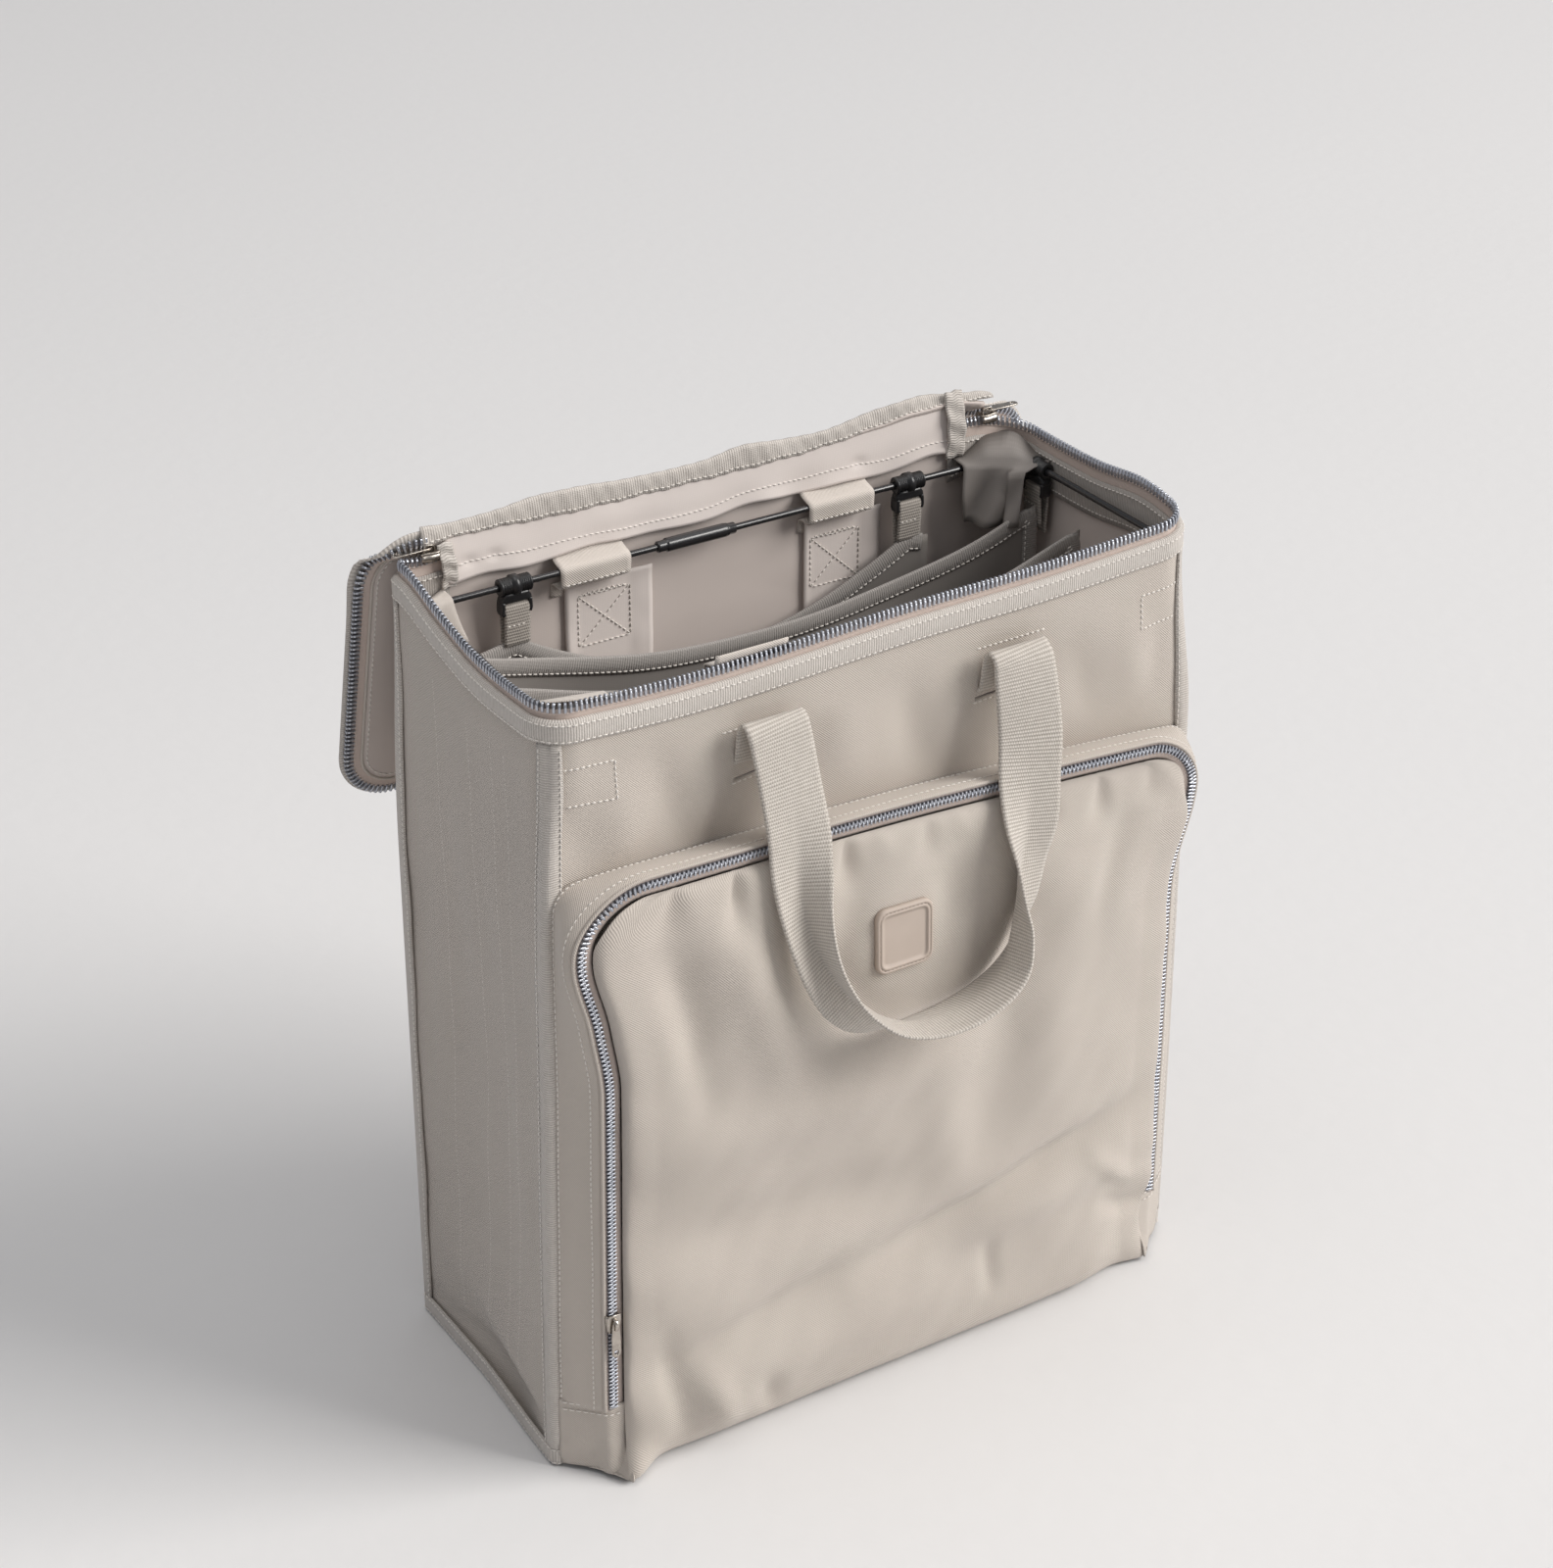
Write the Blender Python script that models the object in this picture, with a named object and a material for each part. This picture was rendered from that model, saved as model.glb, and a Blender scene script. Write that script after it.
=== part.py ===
"""A zipped gift bag storage organizer, standing open. X runs along its front, Y to its back and Z up."""

import math

import bmesh
import bpy
from mathutils import Matrix, Vector

# The sewn box, measured over its panels, up to the top of the rim binding
WIDTH = 0.430
DEPTH = 0.172
HEIGHT = 0.489
WALL = 0.0024
CLEAR = 0.0003
BASE_CLOTH = 0.0016
SIDE_BOW = 0.005

# Cloth, tape and webbing
TAPE = 0.0008
GROSGRAIN = 0.0012
GROSGRAIN_WIDTH = 0.012
CLOTH = 0.0010
WEBBING = 0.0016
WEBBING_WIDTH = 0.038

# The base board
BOARD = 0.0030
BOARD_INSET = 0.004

# The corner bindings
CORNER_LEG = 0.009
BINDING_LIFT = 0.0006

# The zipped rim round the mouth
RIM_RADIUS = 0.020
TAPE_DROP = 0.012
TAPE_RISE = 0.0065
TEETH_TALL = 0.0032
TEETH_DEEP = 0.0044
FACING_TOP_DROP = 0.0015
FACING_TALL = 0.0245

# The hinge strip between bag and lid, and the bound seam on its top
STRIP_LEFT = -0.180
STRIP_RIGHT = 0.158
STRIP_BOTTOM_DROP = 0.015
STRIP_RISE = 0.0195
RIDGE_TALL = 0.0085
TAB_SPANS = {"left": (-0.0030, 0.0050), "right": (-0.0040, 0.0080)}
TAB_BOTTOM_DROP = 0.003
TAB_RISE = 0.0195

# The lid, drawn as it lies when closed
LID_REACH = 0.182
LID_HALF = 0.2165
LID_CLOTH = 0.0020
LID_NECK = 0.0075
LID_RAMP = 0.0050
LID_DIP = 0.008
LID_RADIUS = 0.022
LID_TAPE = 0.0062
LID_TEETH_WIDE = 0.0040
LID_BINDING_LAP = 0.0010
LID_BINDING_SHOW = 0.0017
LID_OPEN_DEGREES = 257.0

# The wire that holds the mouth open
WIRE_RADIUS = 0.0020
WIRE_INSET = 0.0111
WIRE_DROP = 0.009
WIRE_GAP = 0.004
SLEEVE_LEFT = -0.051
SLEEVE_RIGHT = 0.001
SLEEVE_WALL = 0.0013
SLEEVE_STEP = 0.0006
SLEEVE_END = 0.006

# Loops and corner pockets that carry the wire
LOOP_WIDE = 0.045
LOOP_PLACES = {"front": (-0.084, 0.084), "back": (-0.088, 0.078)}
LOOP_TAILS = {"front": 0.0045, "back": 0.058}
LOOP_FALL = 0.022
LOOP_BACK_RISE = 0.003
POCKET_TALL = 0.030
POCKET_RUN_BACK = 0.0245
POCKET_RUN_SIDE = 0.0005

# The clips on the wire and the straps on them
CLIP_LENGTH = 0.020
CLIP_WALL = 0.0032
CLIP_LEG = 0.0028
CLIP_LEG_DEEP = 0.0080
CLIP_DROP = 0.0165
CLIP_BAR = 0.0018
CLIP_BAR_DROP = 0.0125
CLIP_LEFT_X = -0.143
CLIP_RIGHT_X = 0.122
CLIP_SIDE_Y = 0.051
STRAP_WIDE = 0.013
STRAP_FALL = 0.041
STRAP_SHORT_FALL = 0.036

# The hanging insert: three sheets rising from one floor
INSERT_FLOOR = 0.130
SHEET_REAR_Y = 0.0727
SHEET_MIDDLE_Y = 0.046
SHEET_FRONT_Y = 0.003
SHEET_REAR_SPAN = (-0.172, 0.136)
INSERT_SPAN = (-0.190, 0.1979)
SHEET_REAR_DROP = 0.034
SHEET_DROP = 0.022
SHEET_REAR_SAG = 0.040
SHEET_REAR_FALL = 0.16
SHEET_SAG = 0.034
INSERT_BINDING = 0.0008
INSERT_BINDING_TALL = 0.010

# The front pocket
POCKET_HALF = 0.2055
POCKET_TOP_DROP = 0.111
POCKET_CORNER = 0.014
FACE_HALF = 0.199
FACE_LIFT = 0.005
FACE_CORNER = 0.036
POCKET_DEEP = 0.022
POCKET_FOOT = 0.0035
POCKET_TAPE = 0.0112
POCKET_TEETH_IN = 0.0018
POCKET_TEETH_WIDE = 0.0050
POCKET_TEETH_TALL = 0.0018
POCKET_ZIP_FOOT = 0.047
POCKET_BULGE = 0.014
BULGE_LOW_SHARE = 0.6
PANEL_CLOTH = 0.0012
BADGE = 0.038
BADGE_RADIUS = 0.006
BADGE_THICK = 0.0022
BADGE_BORDER = 0.0028
BADGE_RECESS = 0.0008
BADGE_DROP = 0.070
BADGE_X = -0.004

# The sliders and their pulls
SLIDER_LENGTH = 0.011
SLIDER_PLATE = 0.0014
SLIDER_ROOM = 0.0005
SLIDER_SKIRT = 0.0035
LID_SLIDERS = {"left": -0.1895, "right": 0.186}
POCKET_SLIDER_Z = 0.110
PULL_LENGTH = 0.022
PULL_WIDE = 0.0056
PULL_THICK = 0.0014
PULL_LIFT = 0.0016
LUG = 0.0010
LUG_LONG = 0.0024

# The carrying handles
HANDLE_X = 0.0795
HANDLE_DROP = 0.039
SLIT_TALL = 0.0026
SLIT_SPARE = 0.0012
HANDLE_OUT = 0.014
HANDLE_UP = 0.006
HANDLE_HANG = 0.206
HANDLE_DROOP = 0.024
HANDLE_CHEEK = 0.010
HANDLE_BOW = 0.045
HANDLE_TAIL = 0.003
BACK_HANDLE_OUT = 0.0013
BACK_HANDLE_BOW = 0.026

OVERRUN = 0.002
ARC_STEPS = 6
ROUND_SIDES = 12
TUBE_SIDES = 10

HALF_W = WIDTH / 2
HALF_D = DEPTH / 2
WALL_FOOT = BASE_CLOTH + CLEAR
INNER_W = HALF_W - WALL
INNER_D = HALF_D - WALL
WIRE_Z = HEIGHT - WIRE_DROP
SHEET_REAR_TOP = WIRE_Z - SHEET_REAR_DROP
SHEET_TOP = WIRE_Z - SHEET_DROP
HANDLE_Z = HEIGHT - HANDLE_DROP
POCKET_TOP = HEIGHT - POCKET_TOP_DROP
FACE_TOP = POCKET_TOP + FACE_LIFT
BADGE_Z = FACE_TOP - BADGE_DROP
WIRE_RUN_D = INNER_D - WIRE_INSET
WIRE_RUN_W = INNER_W - WIRE_INSET
STRIP_NEAR = INNER_D - CLEAR - TAPE - GROSGRAIN / 2
STRIP_FAR = INNER_D - CLEAR
RIDGE_NEAR = STRIP_NEAR - CLEAR - GROSGRAIN
RIDGE_FAR = STRIP_FAR + CLEAR + GROSGRAIN
RIDGE_TOP = HEIGHT + STRIP_RISE + CLEAR + GROSGRAIN
HINGE_Y = RIDGE_FAR + LID_CLOTH / 2 + CLEAR
HINGE_Z = RIDGE_TOP + LID_CLOTH / 2 + CLEAR
RIM_TEETH_Z = HEIGHT + TAPE_RISE + CLEAR


def clear_scene():
    for item in list(bpy.data.objects):
        bpy.data.objects.remove(item, do_unlink=True)


def material(name, colour, roughness, metallic=0.0):
    made = bpy.data.materials.new(name)
    made.use_nodes = True
    shader = made.node_tree.nodes["Principled BSDF"]
    shader.inputs["Base Color"].default_value = (*colour, 1.0)
    shader.inputs["Roughness"].default_value = roughness
    shader.inputs["Metallic"].default_value = metallic
    return made


def place(name, mesh, finish, origin=(0, 0, 0)):
    """Puts a bmesh drawn in world places into the scene, its object's origin where a joint needs it."""
    bmesh.ops.recalc_face_normals(mesh, faces=mesh.faces)
    bmesh.ops.translate(mesh, verts=mesh.verts, vec=-Vector(origin))
    data = bpy.data.meshes.new(name)
    mesh.to_mesh(data)
    mesh.free()
    data.materials.append(finish)
    item = bpy.data.objects.new(name, data)
    item.location = origin
    bpy.context.scene.collection.objects.link(item)
    return item


def skin(sections, closed=False):
    """A solid through loops of equal counts, capped at both ends unless it closes on itself."""
    mesh = bmesh.new()
    rings = [[mesh.verts.new(point) for point in section] for section in sections]
    pairs = list(zip(rings, rings[1:]))
    if closed:
        pairs.append((rings[-1], rings[0]))
    else:
        mesh.faces.new(rings[0])
        mesh.faces.new(rings[-1])
    for first, second in pairs:
        for i in range(len(first)):
            j = (i + 1) % len(first)
            mesh.faces.new((first[i], first[j], second[j], second[i]))
    return mesh


def prism(outline, axis, start, end):
    """An outline of pairs pushed along an axis. The pairs are the other two axes in the order X, Y, Z."""

    def at(pair, along):
        values = list(pair)
        values.insert("xyz".index(axis), along)
        return values

    return skin([[at(pair, along) for pair in outline] for along in (start, end)])


def rectangle(x0, x1, y0, y1):
    return [(x0, y0), (x1, y0), (x1, y1), (x0, y1)]


def box(x_range, y_range, z_range):
    return prism(rectangle(*x_range, *y_range), "z", *z_range)


def rounded(points, radius, steps=ARC_STEPS):
    """An open run of straight stretches, with an arc of this radius at each corner between them."""
    run = [Vector(points[0])]
    for before, corner, after in zip(points, points[1:], points[2:]):
        here = Vector(corner)
        back = (Vector(before) - here).normalized()
        on = (Vector(after) - here).normalized()
        half = back.angle(on) / 2
        reach = radius / math.tan(half)
        centre = here + (back + on).normalized() * (radius / math.sin(half))
        first = here + back * reach - centre
        last = here + on * reach - centre
        turn = first.angle(last)
        for step in range(steps + 1):
            share = step / steps
            blend = first * math.sin((1 - share) * turn) + last * math.sin(share * turn)
            run.append(centre + blend / math.sin(turn))
    run.append(Vector(points[-1]))
    return run


def ribbon(run, thickness):
    """The outline of a flat strip of even thickness whose middle follows a run of pairs."""
    left, right = [], []
    for i, here in enumerate(run):
        before = (here - run[i - 1]).normalized() if i else (run[1] - here).normalized()
        after = (run[i + 1] - here).normalized() if i + 1 < len(run) else before
        along = (before + after).normalized()
        square = Vector((-along.y, along.x))
        reach = thickness / 2 / max(along.dot(before), 0.5)
        left.append(here + square * reach)
        right.append(here - square * reach)
    return left + right[::-1]


def mouth(offset, radius=RIM_RADIUS):
    """The zipped rim seen from above, its distance from the panels' inner faces counted outwards."""
    x = INNER_W + offset
    y = INNER_D + offset
    left_end = STRIP_LEFT - CLEAR
    right_end = STRIP_RIGHT + CLEAR
    corners = [(left_end, y), (-x, y), (-x, -y), (x, -y), (x, y), (right_end, y)]
    return rounded(corners, radius + offset)


def band(inner, outer, axis, start, end):
    """A strip between two runs with as many points, pushed along an axis."""
    return prism(list(inner) + list(outer)[::-1], axis, start, end)


def arch(half, foot, top, radius):
    """An upside-down U: up the left side, across the top and down the right."""
    return rounded([(-half, foot), (-half, top), (half, top), (half, foot)], radius)


def around(run, radius, sides=TUBE_SIDES):
    """Round sections of one radius along a run of points in space."""
    sections = []
    normal = Vector((0, 0, 1))
    for i, here in enumerate(run):
        before = run[max(i - 1, 0)]
        after = run[min(i + 1, len(run) - 1)]
        along = (after - before).normalized()
        square = along.cross(normal).normalized()
        other = square.cross(along)
        ring = []
        for side in range(sides):
            turn = math.tau * side / sides
            ring.append(here + (square * math.cos(turn) + other * math.sin(turn)) * radius)
        sections.append(ring)
    return sections


def bored(profile, bore, sides=ROUND_SIDES):
    """A turned sleeve along X: pairs of place and outer radius, with a straight bore through it."""
    ends = [profile[0][0], profile[-1][0]]
    full = profile + [(ends[1], bore), (ends[0], bore)]
    sections = []
    for side in range(sides):
        turn = math.tau * side / sides
        sections.append([(x, radius * math.cos(turn), radius * math.sin(turn)) for x, radius in full])
    return skin(sections, closed=True)


def merge(target, other, how):
    """Joins or cuts one object with another by an exact Boolean, and removes the other."""
    change = target.modifiers.new(how, "BOOLEAN")
    change.object = other
    change.operation = how
    graph = bpy.context.evaluated_depsgraph_get()
    result = bpy.data.meshes.new_from_object(target.evaluated_get(graph))
    target.modifiers.clear()
    target.data = result
    bpy.data.objects.remove(other, do_unlink=True)


def side_of(sign):
    return "left" if sign < 0 else "right"


def make_shell():
    """The five sewn panels and the loose board on the floor."""
    slits = []
    for sign in (-1, 1):
        half = WEBBING_WIDTH / 2 + SLIT_SPARE
        span = (sign * HANDLE_X - half, sign * HANDLE_X + half)
        high = (HANDLE_Z - SLIT_TALL / 2, HANDLE_Z + SLIT_TALL / 2)
        through = (-HALF_D - OVERRUN, -INNER_D + OVERRUN)
        slits.append(place("slit", box(span, through, high), TWILL))
    tall = (WALL_FOOT, HEIGHT)
    front = place("front_panel", box((-HALF_W, HALF_W), (-HALF_D, -INNER_D), tall), TWILL)
    for slit in slits:
        merge(front, slit, "DIFFERENCE")
    place("back_panel", box((-HALF_W, HALF_W), (INNER_D, HALF_D), tall), TWILL)
    for sign in (-1, 1):
        place(f"{side_of(sign)}_side_panel", side_panel(sign), TWILL)
    base = box((-HALF_W, HALF_W), (-HALF_D, HALF_D), (0, BASE_CLOTH))
    place("bottom_panel", base, TWILL)
    x = INNER_W - SIDE_BOW - BOARD_INSET
    y = INNER_D - BOARD_INSET
    place("base_board", box((-x, x), (-y, y), (WALL_FOOT, WALL_FOOT + BOARD)), BOARD_GREY)


def side_panel(sign):
    """A side panel, drawn in a little at mid height where the cloth folds when the bag is pressed flat."""
    rows, columns = 8, 6
    y_end = INNER_D - CLEAR
    straight = HEIGHT - FACING_TALL - 2 * FACING_TOP_DROP
    levels = [WALL_FOOT + (straight - WALL_FOOT) * row / rows for row in range(rows + 1)] + [HEIGHT]
    outer, inner = [], []
    for z in levels:
        high = min((z - WALL_FOOT) / (straight - WALL_FOOT), 1)
        for column in range(columns + 1):
            across = column / columns * 2 - 1
            bow = SIDE_BOW * math.sin(math.pi * high) * (1 - across**2)
            y = y_end * across
            outer.append((sign * (HALF_W - bow), y, z))
            inner.append((sign * (INNER_W - bow), y, z))
    return slab(outer, inner, rows + 1, columns)


def slab(outer, inner, rows, columns):
    """A closed sheet between two grids of points, row by row."""
    mesh = bmesh.new()
    grids = [[mesh.verts.new(point) for point in grid] for grid in (outer, inner)]
    wide = columns + 1
    for grid in grids:
        for row in range(rows):
            for column in range(columns):
                i = row * wide + column
                mesh.faces.new((grid[i], grid[i + 1], grid[i + wide + 1], grid[i + wide]))
    border = [i for i in range(wide)]
    border += [row * wide + columns for row in range(1, rows + 1)]
    border += [rows * wide + i for i in range(columns - 1, -1, -1)]
    border += [row * wide for row in range(rows - 1, 0, -1)]
    for i, here in enumerate(border):
        on = border[(i + 1) % len(border)]
        mesh.faces.new((grids[0][here], grids[0][on], grids[1][on], grids[1][here]))
    return mesh


def make_bindings():
    """Grosgrain folded over the seams at the four corners and round the foot."""
    out = CLEAR + GROSGRAIN
    foot = BINDING_LIFT + GROSGRAIN_WIDTH + CLEAR
    under_rim = HEIGHT - GROSGRAIN_WIDTH - CLEAR
    for sign in (-1, 1):
        for across, end in ((-1, "front"), (1, "back")):
            outline = [
                (HALF_W + CLEAR, HALF_D - CORNER_LEG),
                (HALF_W + out, HALF_D - CORNER_LEG),
                (HALF_W + out, HALF_D + out / 2),
                (HALF_W + out / 2, HALF_D + out),
                (HALF_W - CORNER_LEG, HALF_D + out),
                (HALF_W - CORNER_LEG, HALF_D + CLEAR),
                (HALF_W + CLEAR, HALF_D + CLEAR),
            ]
            outline = [(x * sign, y * across) for x, y in outline]
            name = f"corner_binding_{end}_{side_of(sign)}"
            place(name, prism(outline, "z", foot, under_rim), RIB)
    sections = []
    for x, y in ((-1, -1), (1, -1), (1, 1), (-1, 1)):
        ring = []
        head = foot - CLEAR
        for offset, z in ((CLEAR, BINDING_LIFT), (out, BINDING_LIFT), (out, head), (CLEAR, head)):
            ring.append((x * (HALF_W + offset), y * (HALF_D + offset), z))
        sections.append(ring)
    place("bottom_binding", skin(sections, closed=True), RIB)


def make_rim():
    """Binding, facing, tape and metal teeth sewn round the mouth."""
    inner = WALL + CLEAR
    outer = inner + GROSGRAIN
    square = CLEAR - inner
    strip = band(mouth(inner, square), mouth(outer, square), "z", HEIGHT - GROSGRAIN_WIDTH, HEIGHT)
    place("rim_binding", strip, RIB)
    tape = band(mouth(-CLEAR - TAPE), mouth(-CLEAR), "z", HEIGHT - TAPE_DROP, HEIGHT + TAPE_RISE)
    place("rim_zipper_tape", tape, TAPE_PINK)
    middle = -CLEAR - TAPE / 2
    low, high = mouth(middle - TEETH_DEEP / 2), mouth(middle + TEETH_DEEP / 2)
    place("rim_zipper_teeth", band(low, high, "z", RIM_TEETH_Z, RIM_TEETH_Z + TEETH_TALL), GUNMETAL)
    near = -2 * CLEAR - TAPE
    head = HEIGHT - FACING_TOP_DROP
    facing = band(mouth(near - TAPE), mouth(near), "z", head - FACING_TALL, head)
    place("rim_facing", facing, LINING)


def make_hinge():
    """The cloth strip that carries the lid, its bound top seam and the tabs over the zipper's ends."""
    span = (STRIP_LEFT, STRIP_RIGHT)
    top = HEIGHT + STRIP_RISE
    place("hinge_strip", box(span, (STRIP_NEAR, STRIP_FAR), (HEIGHT - STRIP_BOTTOM_DROP, top)), LINING)
    foot = top - RIDGE_TALL
    outline = [
        (RIDGE_NEAR, foot),
        (RIDGE_NEAR, RIDGE_TOP),
        (RIDGE_FAR, RIDGE_TOP),
        (RIDGE_FAR, foot),
        (STRIP_FAR + CLEAR, foot),
        (STRIP_FAR + CLEAR, top + CLEAR),
        (STRIP_NEAR - CLEAR, top + CLEAR),
        (STRIP_NEAR - CLEAR, foot),
    ]
    place("hinge_binding", prism(outline, "x", *span), RIB)
    behind = RIDGE_NEAR - CLEAR
    for side, end in (("left", STRIP_LEFT), ("right", STRIP_RIGHT)):
        wide = [end + reach for reach in TAB_SPANS[side]]
        tall = (HEIGHT - TAB_BOTTOM_DROP, HEIGHT + TAB_RISE)
        place(f"zipper_end_tab_{side}", box(wide, (behind - GROSGRAIN, behind), tall), RIB)


def lid_edge(offset):
    """The lid's open edge in its own plane: X, and the distance from the hinge line."""
    half = LID_HALF + offset
    near = LID_NECK + LID_RAMP + LID_RADIUS
    far = LID_REACH - LID_TAPE - LID_TEETH_WIDE - 2 * CLEAR + offset
    return rounded([(-half, near), (-half, far), (half, far), (half, near)], LID_RADIUS + offset)


def turned_open(mesh):
    """Turns a lid piece from closed, where it is drawn, to open behind the bag."""
    turn = Matrix.Rotation(-math.radians(LID_OPEN_DEGREES), 4, "X")
    for vert in mesh.verts:
        vert.co = Vector((0, HINGE_Y, HINGE_Z)) + turn @ Vector((vert.co.x, -vert.co.y, vert.co.z))
    return mesh


def make_lid():
    """The lid: a stiff cloth panel with the other half of the zipper round three sides."""
    origin = (0, HINGE_Y, HINGE_Z)
    flat = LID_NECK + LID_RAMP
    far = LID_REACH - LID_TAPE - LID_TEETH_WIDE - 2 * CLEAR
    stations = [(0, STRIP_LEFT, STRIP_RIGHT, 0), (LID_NECK, STRIP_LEFT, STRIP_RIGHT, 0)]
    stations.append((flat, STRIP_LEFT, STRIP_RIGHT, -LID_DIP))
    for step in range(ARC_STEPS + 1):
        turn = math.pi / 2 * step / ARC_STEPS
        half = LID_HALF - LID_RADIUS * (1 - math.sin(turn))
        out = flat + LID_RADIUS * (1 - math.cos(turn))
        if step:
            stations.append((out, -half, half, -LID_DIP))
    for step in range(ARC_STEPS + 1):
        turn = math.pi / 2 * step / ARC_STEPS
        half = LID_HALF - LID_RADIUS * (1 - math.cos(turn))
        stations.append((far - LID_RADIUS * (1 - math.sin(turn)), -half, half, -LID_DIP))
    sections = []
    for out, left, right, level in stations:
        low, high = level - LID_CLOTH / 2, level + LID_CLOTH / 2
        sections.append([(left, out, low), (right, out, low), (right, out, high), (left, out, high)])
    place("lid_panel", turned_open(skin(sections)), TWILL, origin)
    middle = -LID_DIP
    tape = band(lid_edge(CLEAR), lid_edge(CLEAR + LID_TAPE), "z", middle - TAPE / 2, middle + TAPE / 2)
    place("lid_zipper_tape", turned_open(tape), TAPE_PINK, origin)
    edge = 2 * CLEAR + LID_TAPE
    low, high = middle - TEETH_TALL / 2, middle + TEETH_TALL / 2
    teeth = band(lid_edge(edge), lid_edge(edge + LID_TEETH_WIDE), "z", low, high)
    place("lid_zipper_teeth", turned_open(teeth), GUNMETAL, origin)
    under = low - CLEAR
    outer = edge + LID_TEETH_WIDE + LID_BINDING_SHOW
    strip = band(lid_edge(-LID_BINDING_LAP), lid_edge(outer), "z", under - GROSGRAIN, under)
    place("lid_binding", turned_open(strip), RIB, origin)


def make_frame():
    """One bent steel wire round the mouth, closed by a crimped sleeve at the back."""
    x, y = WIRE_RUN_W, WIRE_RUN_D
    gap = (SLEEVE_LEFT + SLEEVE_RIGHT) / 2
    ends = (gap - WIRE_GAP / 2, gap + WIRE_GAP / 2)
    corners = [(ends[0], y), (-x, y), (-x, -y), (x, -y), (x, y), (ends[1], y)]
    run = rounded(corners, RIM_RADIUS - WIRE_INSET)
    points = [Vector((place_x, place_y, WIRE_Z)) for place_x, place_y in run]
    place("frame_wire", skin(around(points, WIRE_RADIUS)), BLACK_STEEL)
    thin = WIRE_RADIUS + CLEAR + SLEEVE_WALL
    thick = thin + SLEEVE_STEP
    profile = [
        (SLEEVE_LEFT, thin),
        (SLEEVE_LEFT + SLEEVE_END, thin),
        (SLEEVE_LEFT + SLEEVE_END + SLEEVE_STEP, thick),
        (SLEEVE_RIGHT - SLEEVE_END - SLEEVE_STEP, thick),
        (SLEEVE_RIGHT - SLEEVE_END, thin),
        (SLEEVE_RIGHT, thin),
    ]
    sleeve = bored(profile, WIRE_RADIUS + CLEAR)
    bmesh.ops.translate(sleeve, verts=sleeve.verts, vec=(0, WIRE_RUN_D, WIRE_Z))
    place("frame_sleeve", sleeve, BLACK_STEEL)


def make_loops():
    """Cloth loops sewn to the back and front panels, which hang down over the wire."""
    reach = WIRE_RADIUS + CLEAR + CLOTH / 2
    wall = INNER_D - CLEAR - CLOTH / 2
    foot = WIRE_Z - LOOP_FALL
    over = []
    for step in range(ARC_STEPS + 1):
        turn = math.pi - math.pi * 2 / 3 * step / ARC_STEPS
        over.append(Vector((WIRE_RUN_D + reach * math.cos(turn), WIRE_Z + reach * math.sin(turn))))
    over.append(Vector((WIRE_RUN_D + LOOP_BACK_RISE + reach, WIRE_Z)))
    for across, end in ((-1, "front"), (1, "back")):
        tail = [Vector((wall, foot - LOOP_TAILS[end])), Vector((wall, foot))]
        tail.append(Vector((WIRE_RUN_D - reach, foot)))
        outline = [(y * across, z) for y, z in ribbon(tail + over, CLOTH)]
        for middle in LOOP_PLACES[end]:
            span = (middle - LOOP_WIDE / 2, middle + LOOP_WIDE / 2)
            place(f"wire_loop_{end}_{side_of(middle)}", prism(outline, "x", *span), TWILL)


def make_corner_pockets():
    """Cloth flaps that hang from the rim over the wire's four corners."""
    top = WIRE_Z + WIRE_RADIUS + CLEAR + CLOTH
    near = -3 * CLEAR - 2 * TAPE
    deep = -WIRE_INSET - WIRE_RADIUS - CLEAR - CLOTH
    profile = [
        (near, top),
        (deep, top),
        (deep, top - POCKET_TALL),
        (deep + CLOTH, top - POCKET_TALL),
        (deep + CLOTH, top - CLOTH),
        (near, top - CLOTH),
    ]
    side_end = INNER_D - RIM_RADIUS - POCKET_RUN_SIDE
    back_end = INNER_W - RIM_RADIUS - POCKET_RUN_BACK
    for across, end in ((-1, "front"), (1, "back")):
        for sign in (-1, 1):
            runs = []
            for offset, _ in profile:
                x, y = INNER_W + offset, INNER_D + offset
                runs.append(rounded([(back_end, y), (x, y), (x, side_end)], RIM_RADIUS + offset))
            sections = []
            for step in range(len(runs[0])):
                ring = []
                for run, (_, z) in zip(runs, profile):
                    ring.append((sign * run[step].x, across * run[step].y, z))
                sections.append(ring)
            place(f"corner_pocket_{end}_{side_of(sign)}", skin(sections), LINING)


def clip_mesh_parts():
    """A clip at the origin, the wire along X: a bored sleeve, two legs and the bar for the strap."""
    outer = WIRE_RADIUS + CLEAR + CLIP_WALL
    half = CLIP_LENGTH / 2
    waist = CLIP_WALL / 4
    profile = [
        (-half, outer),
        (-waist, outer),
        (-waist / 2, outer - waist),
        (waist / 2, outer - waist),
        (waist, outer),
        (half, outer),
    ]
    sleeve = bored(profile, WIRE_RADIUS + CLEAR)
    legs = []
    for sign in (-1, 1):
        span = sorted((sign * half, sign * (half - CLIP_LEG)))
        deep = CLIP_LEG_DEEP / 2
        legs.append(box(span, (-deep, deep), (-CLIP_DROP, -(WIRE_RADIUS + CLEAR + CLIP_WALL / 2))))
    inside = half - CLIP_LEG / 2
    bar_run = [Vector((-inside, 0, -CLIP_BAR_DROP)), Vector((inside, 0, -CLIP_BAR_DROP))]
    bar = skin(around(bar_run, CLIP_BAR))
    return sleeve, legs, bar


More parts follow.
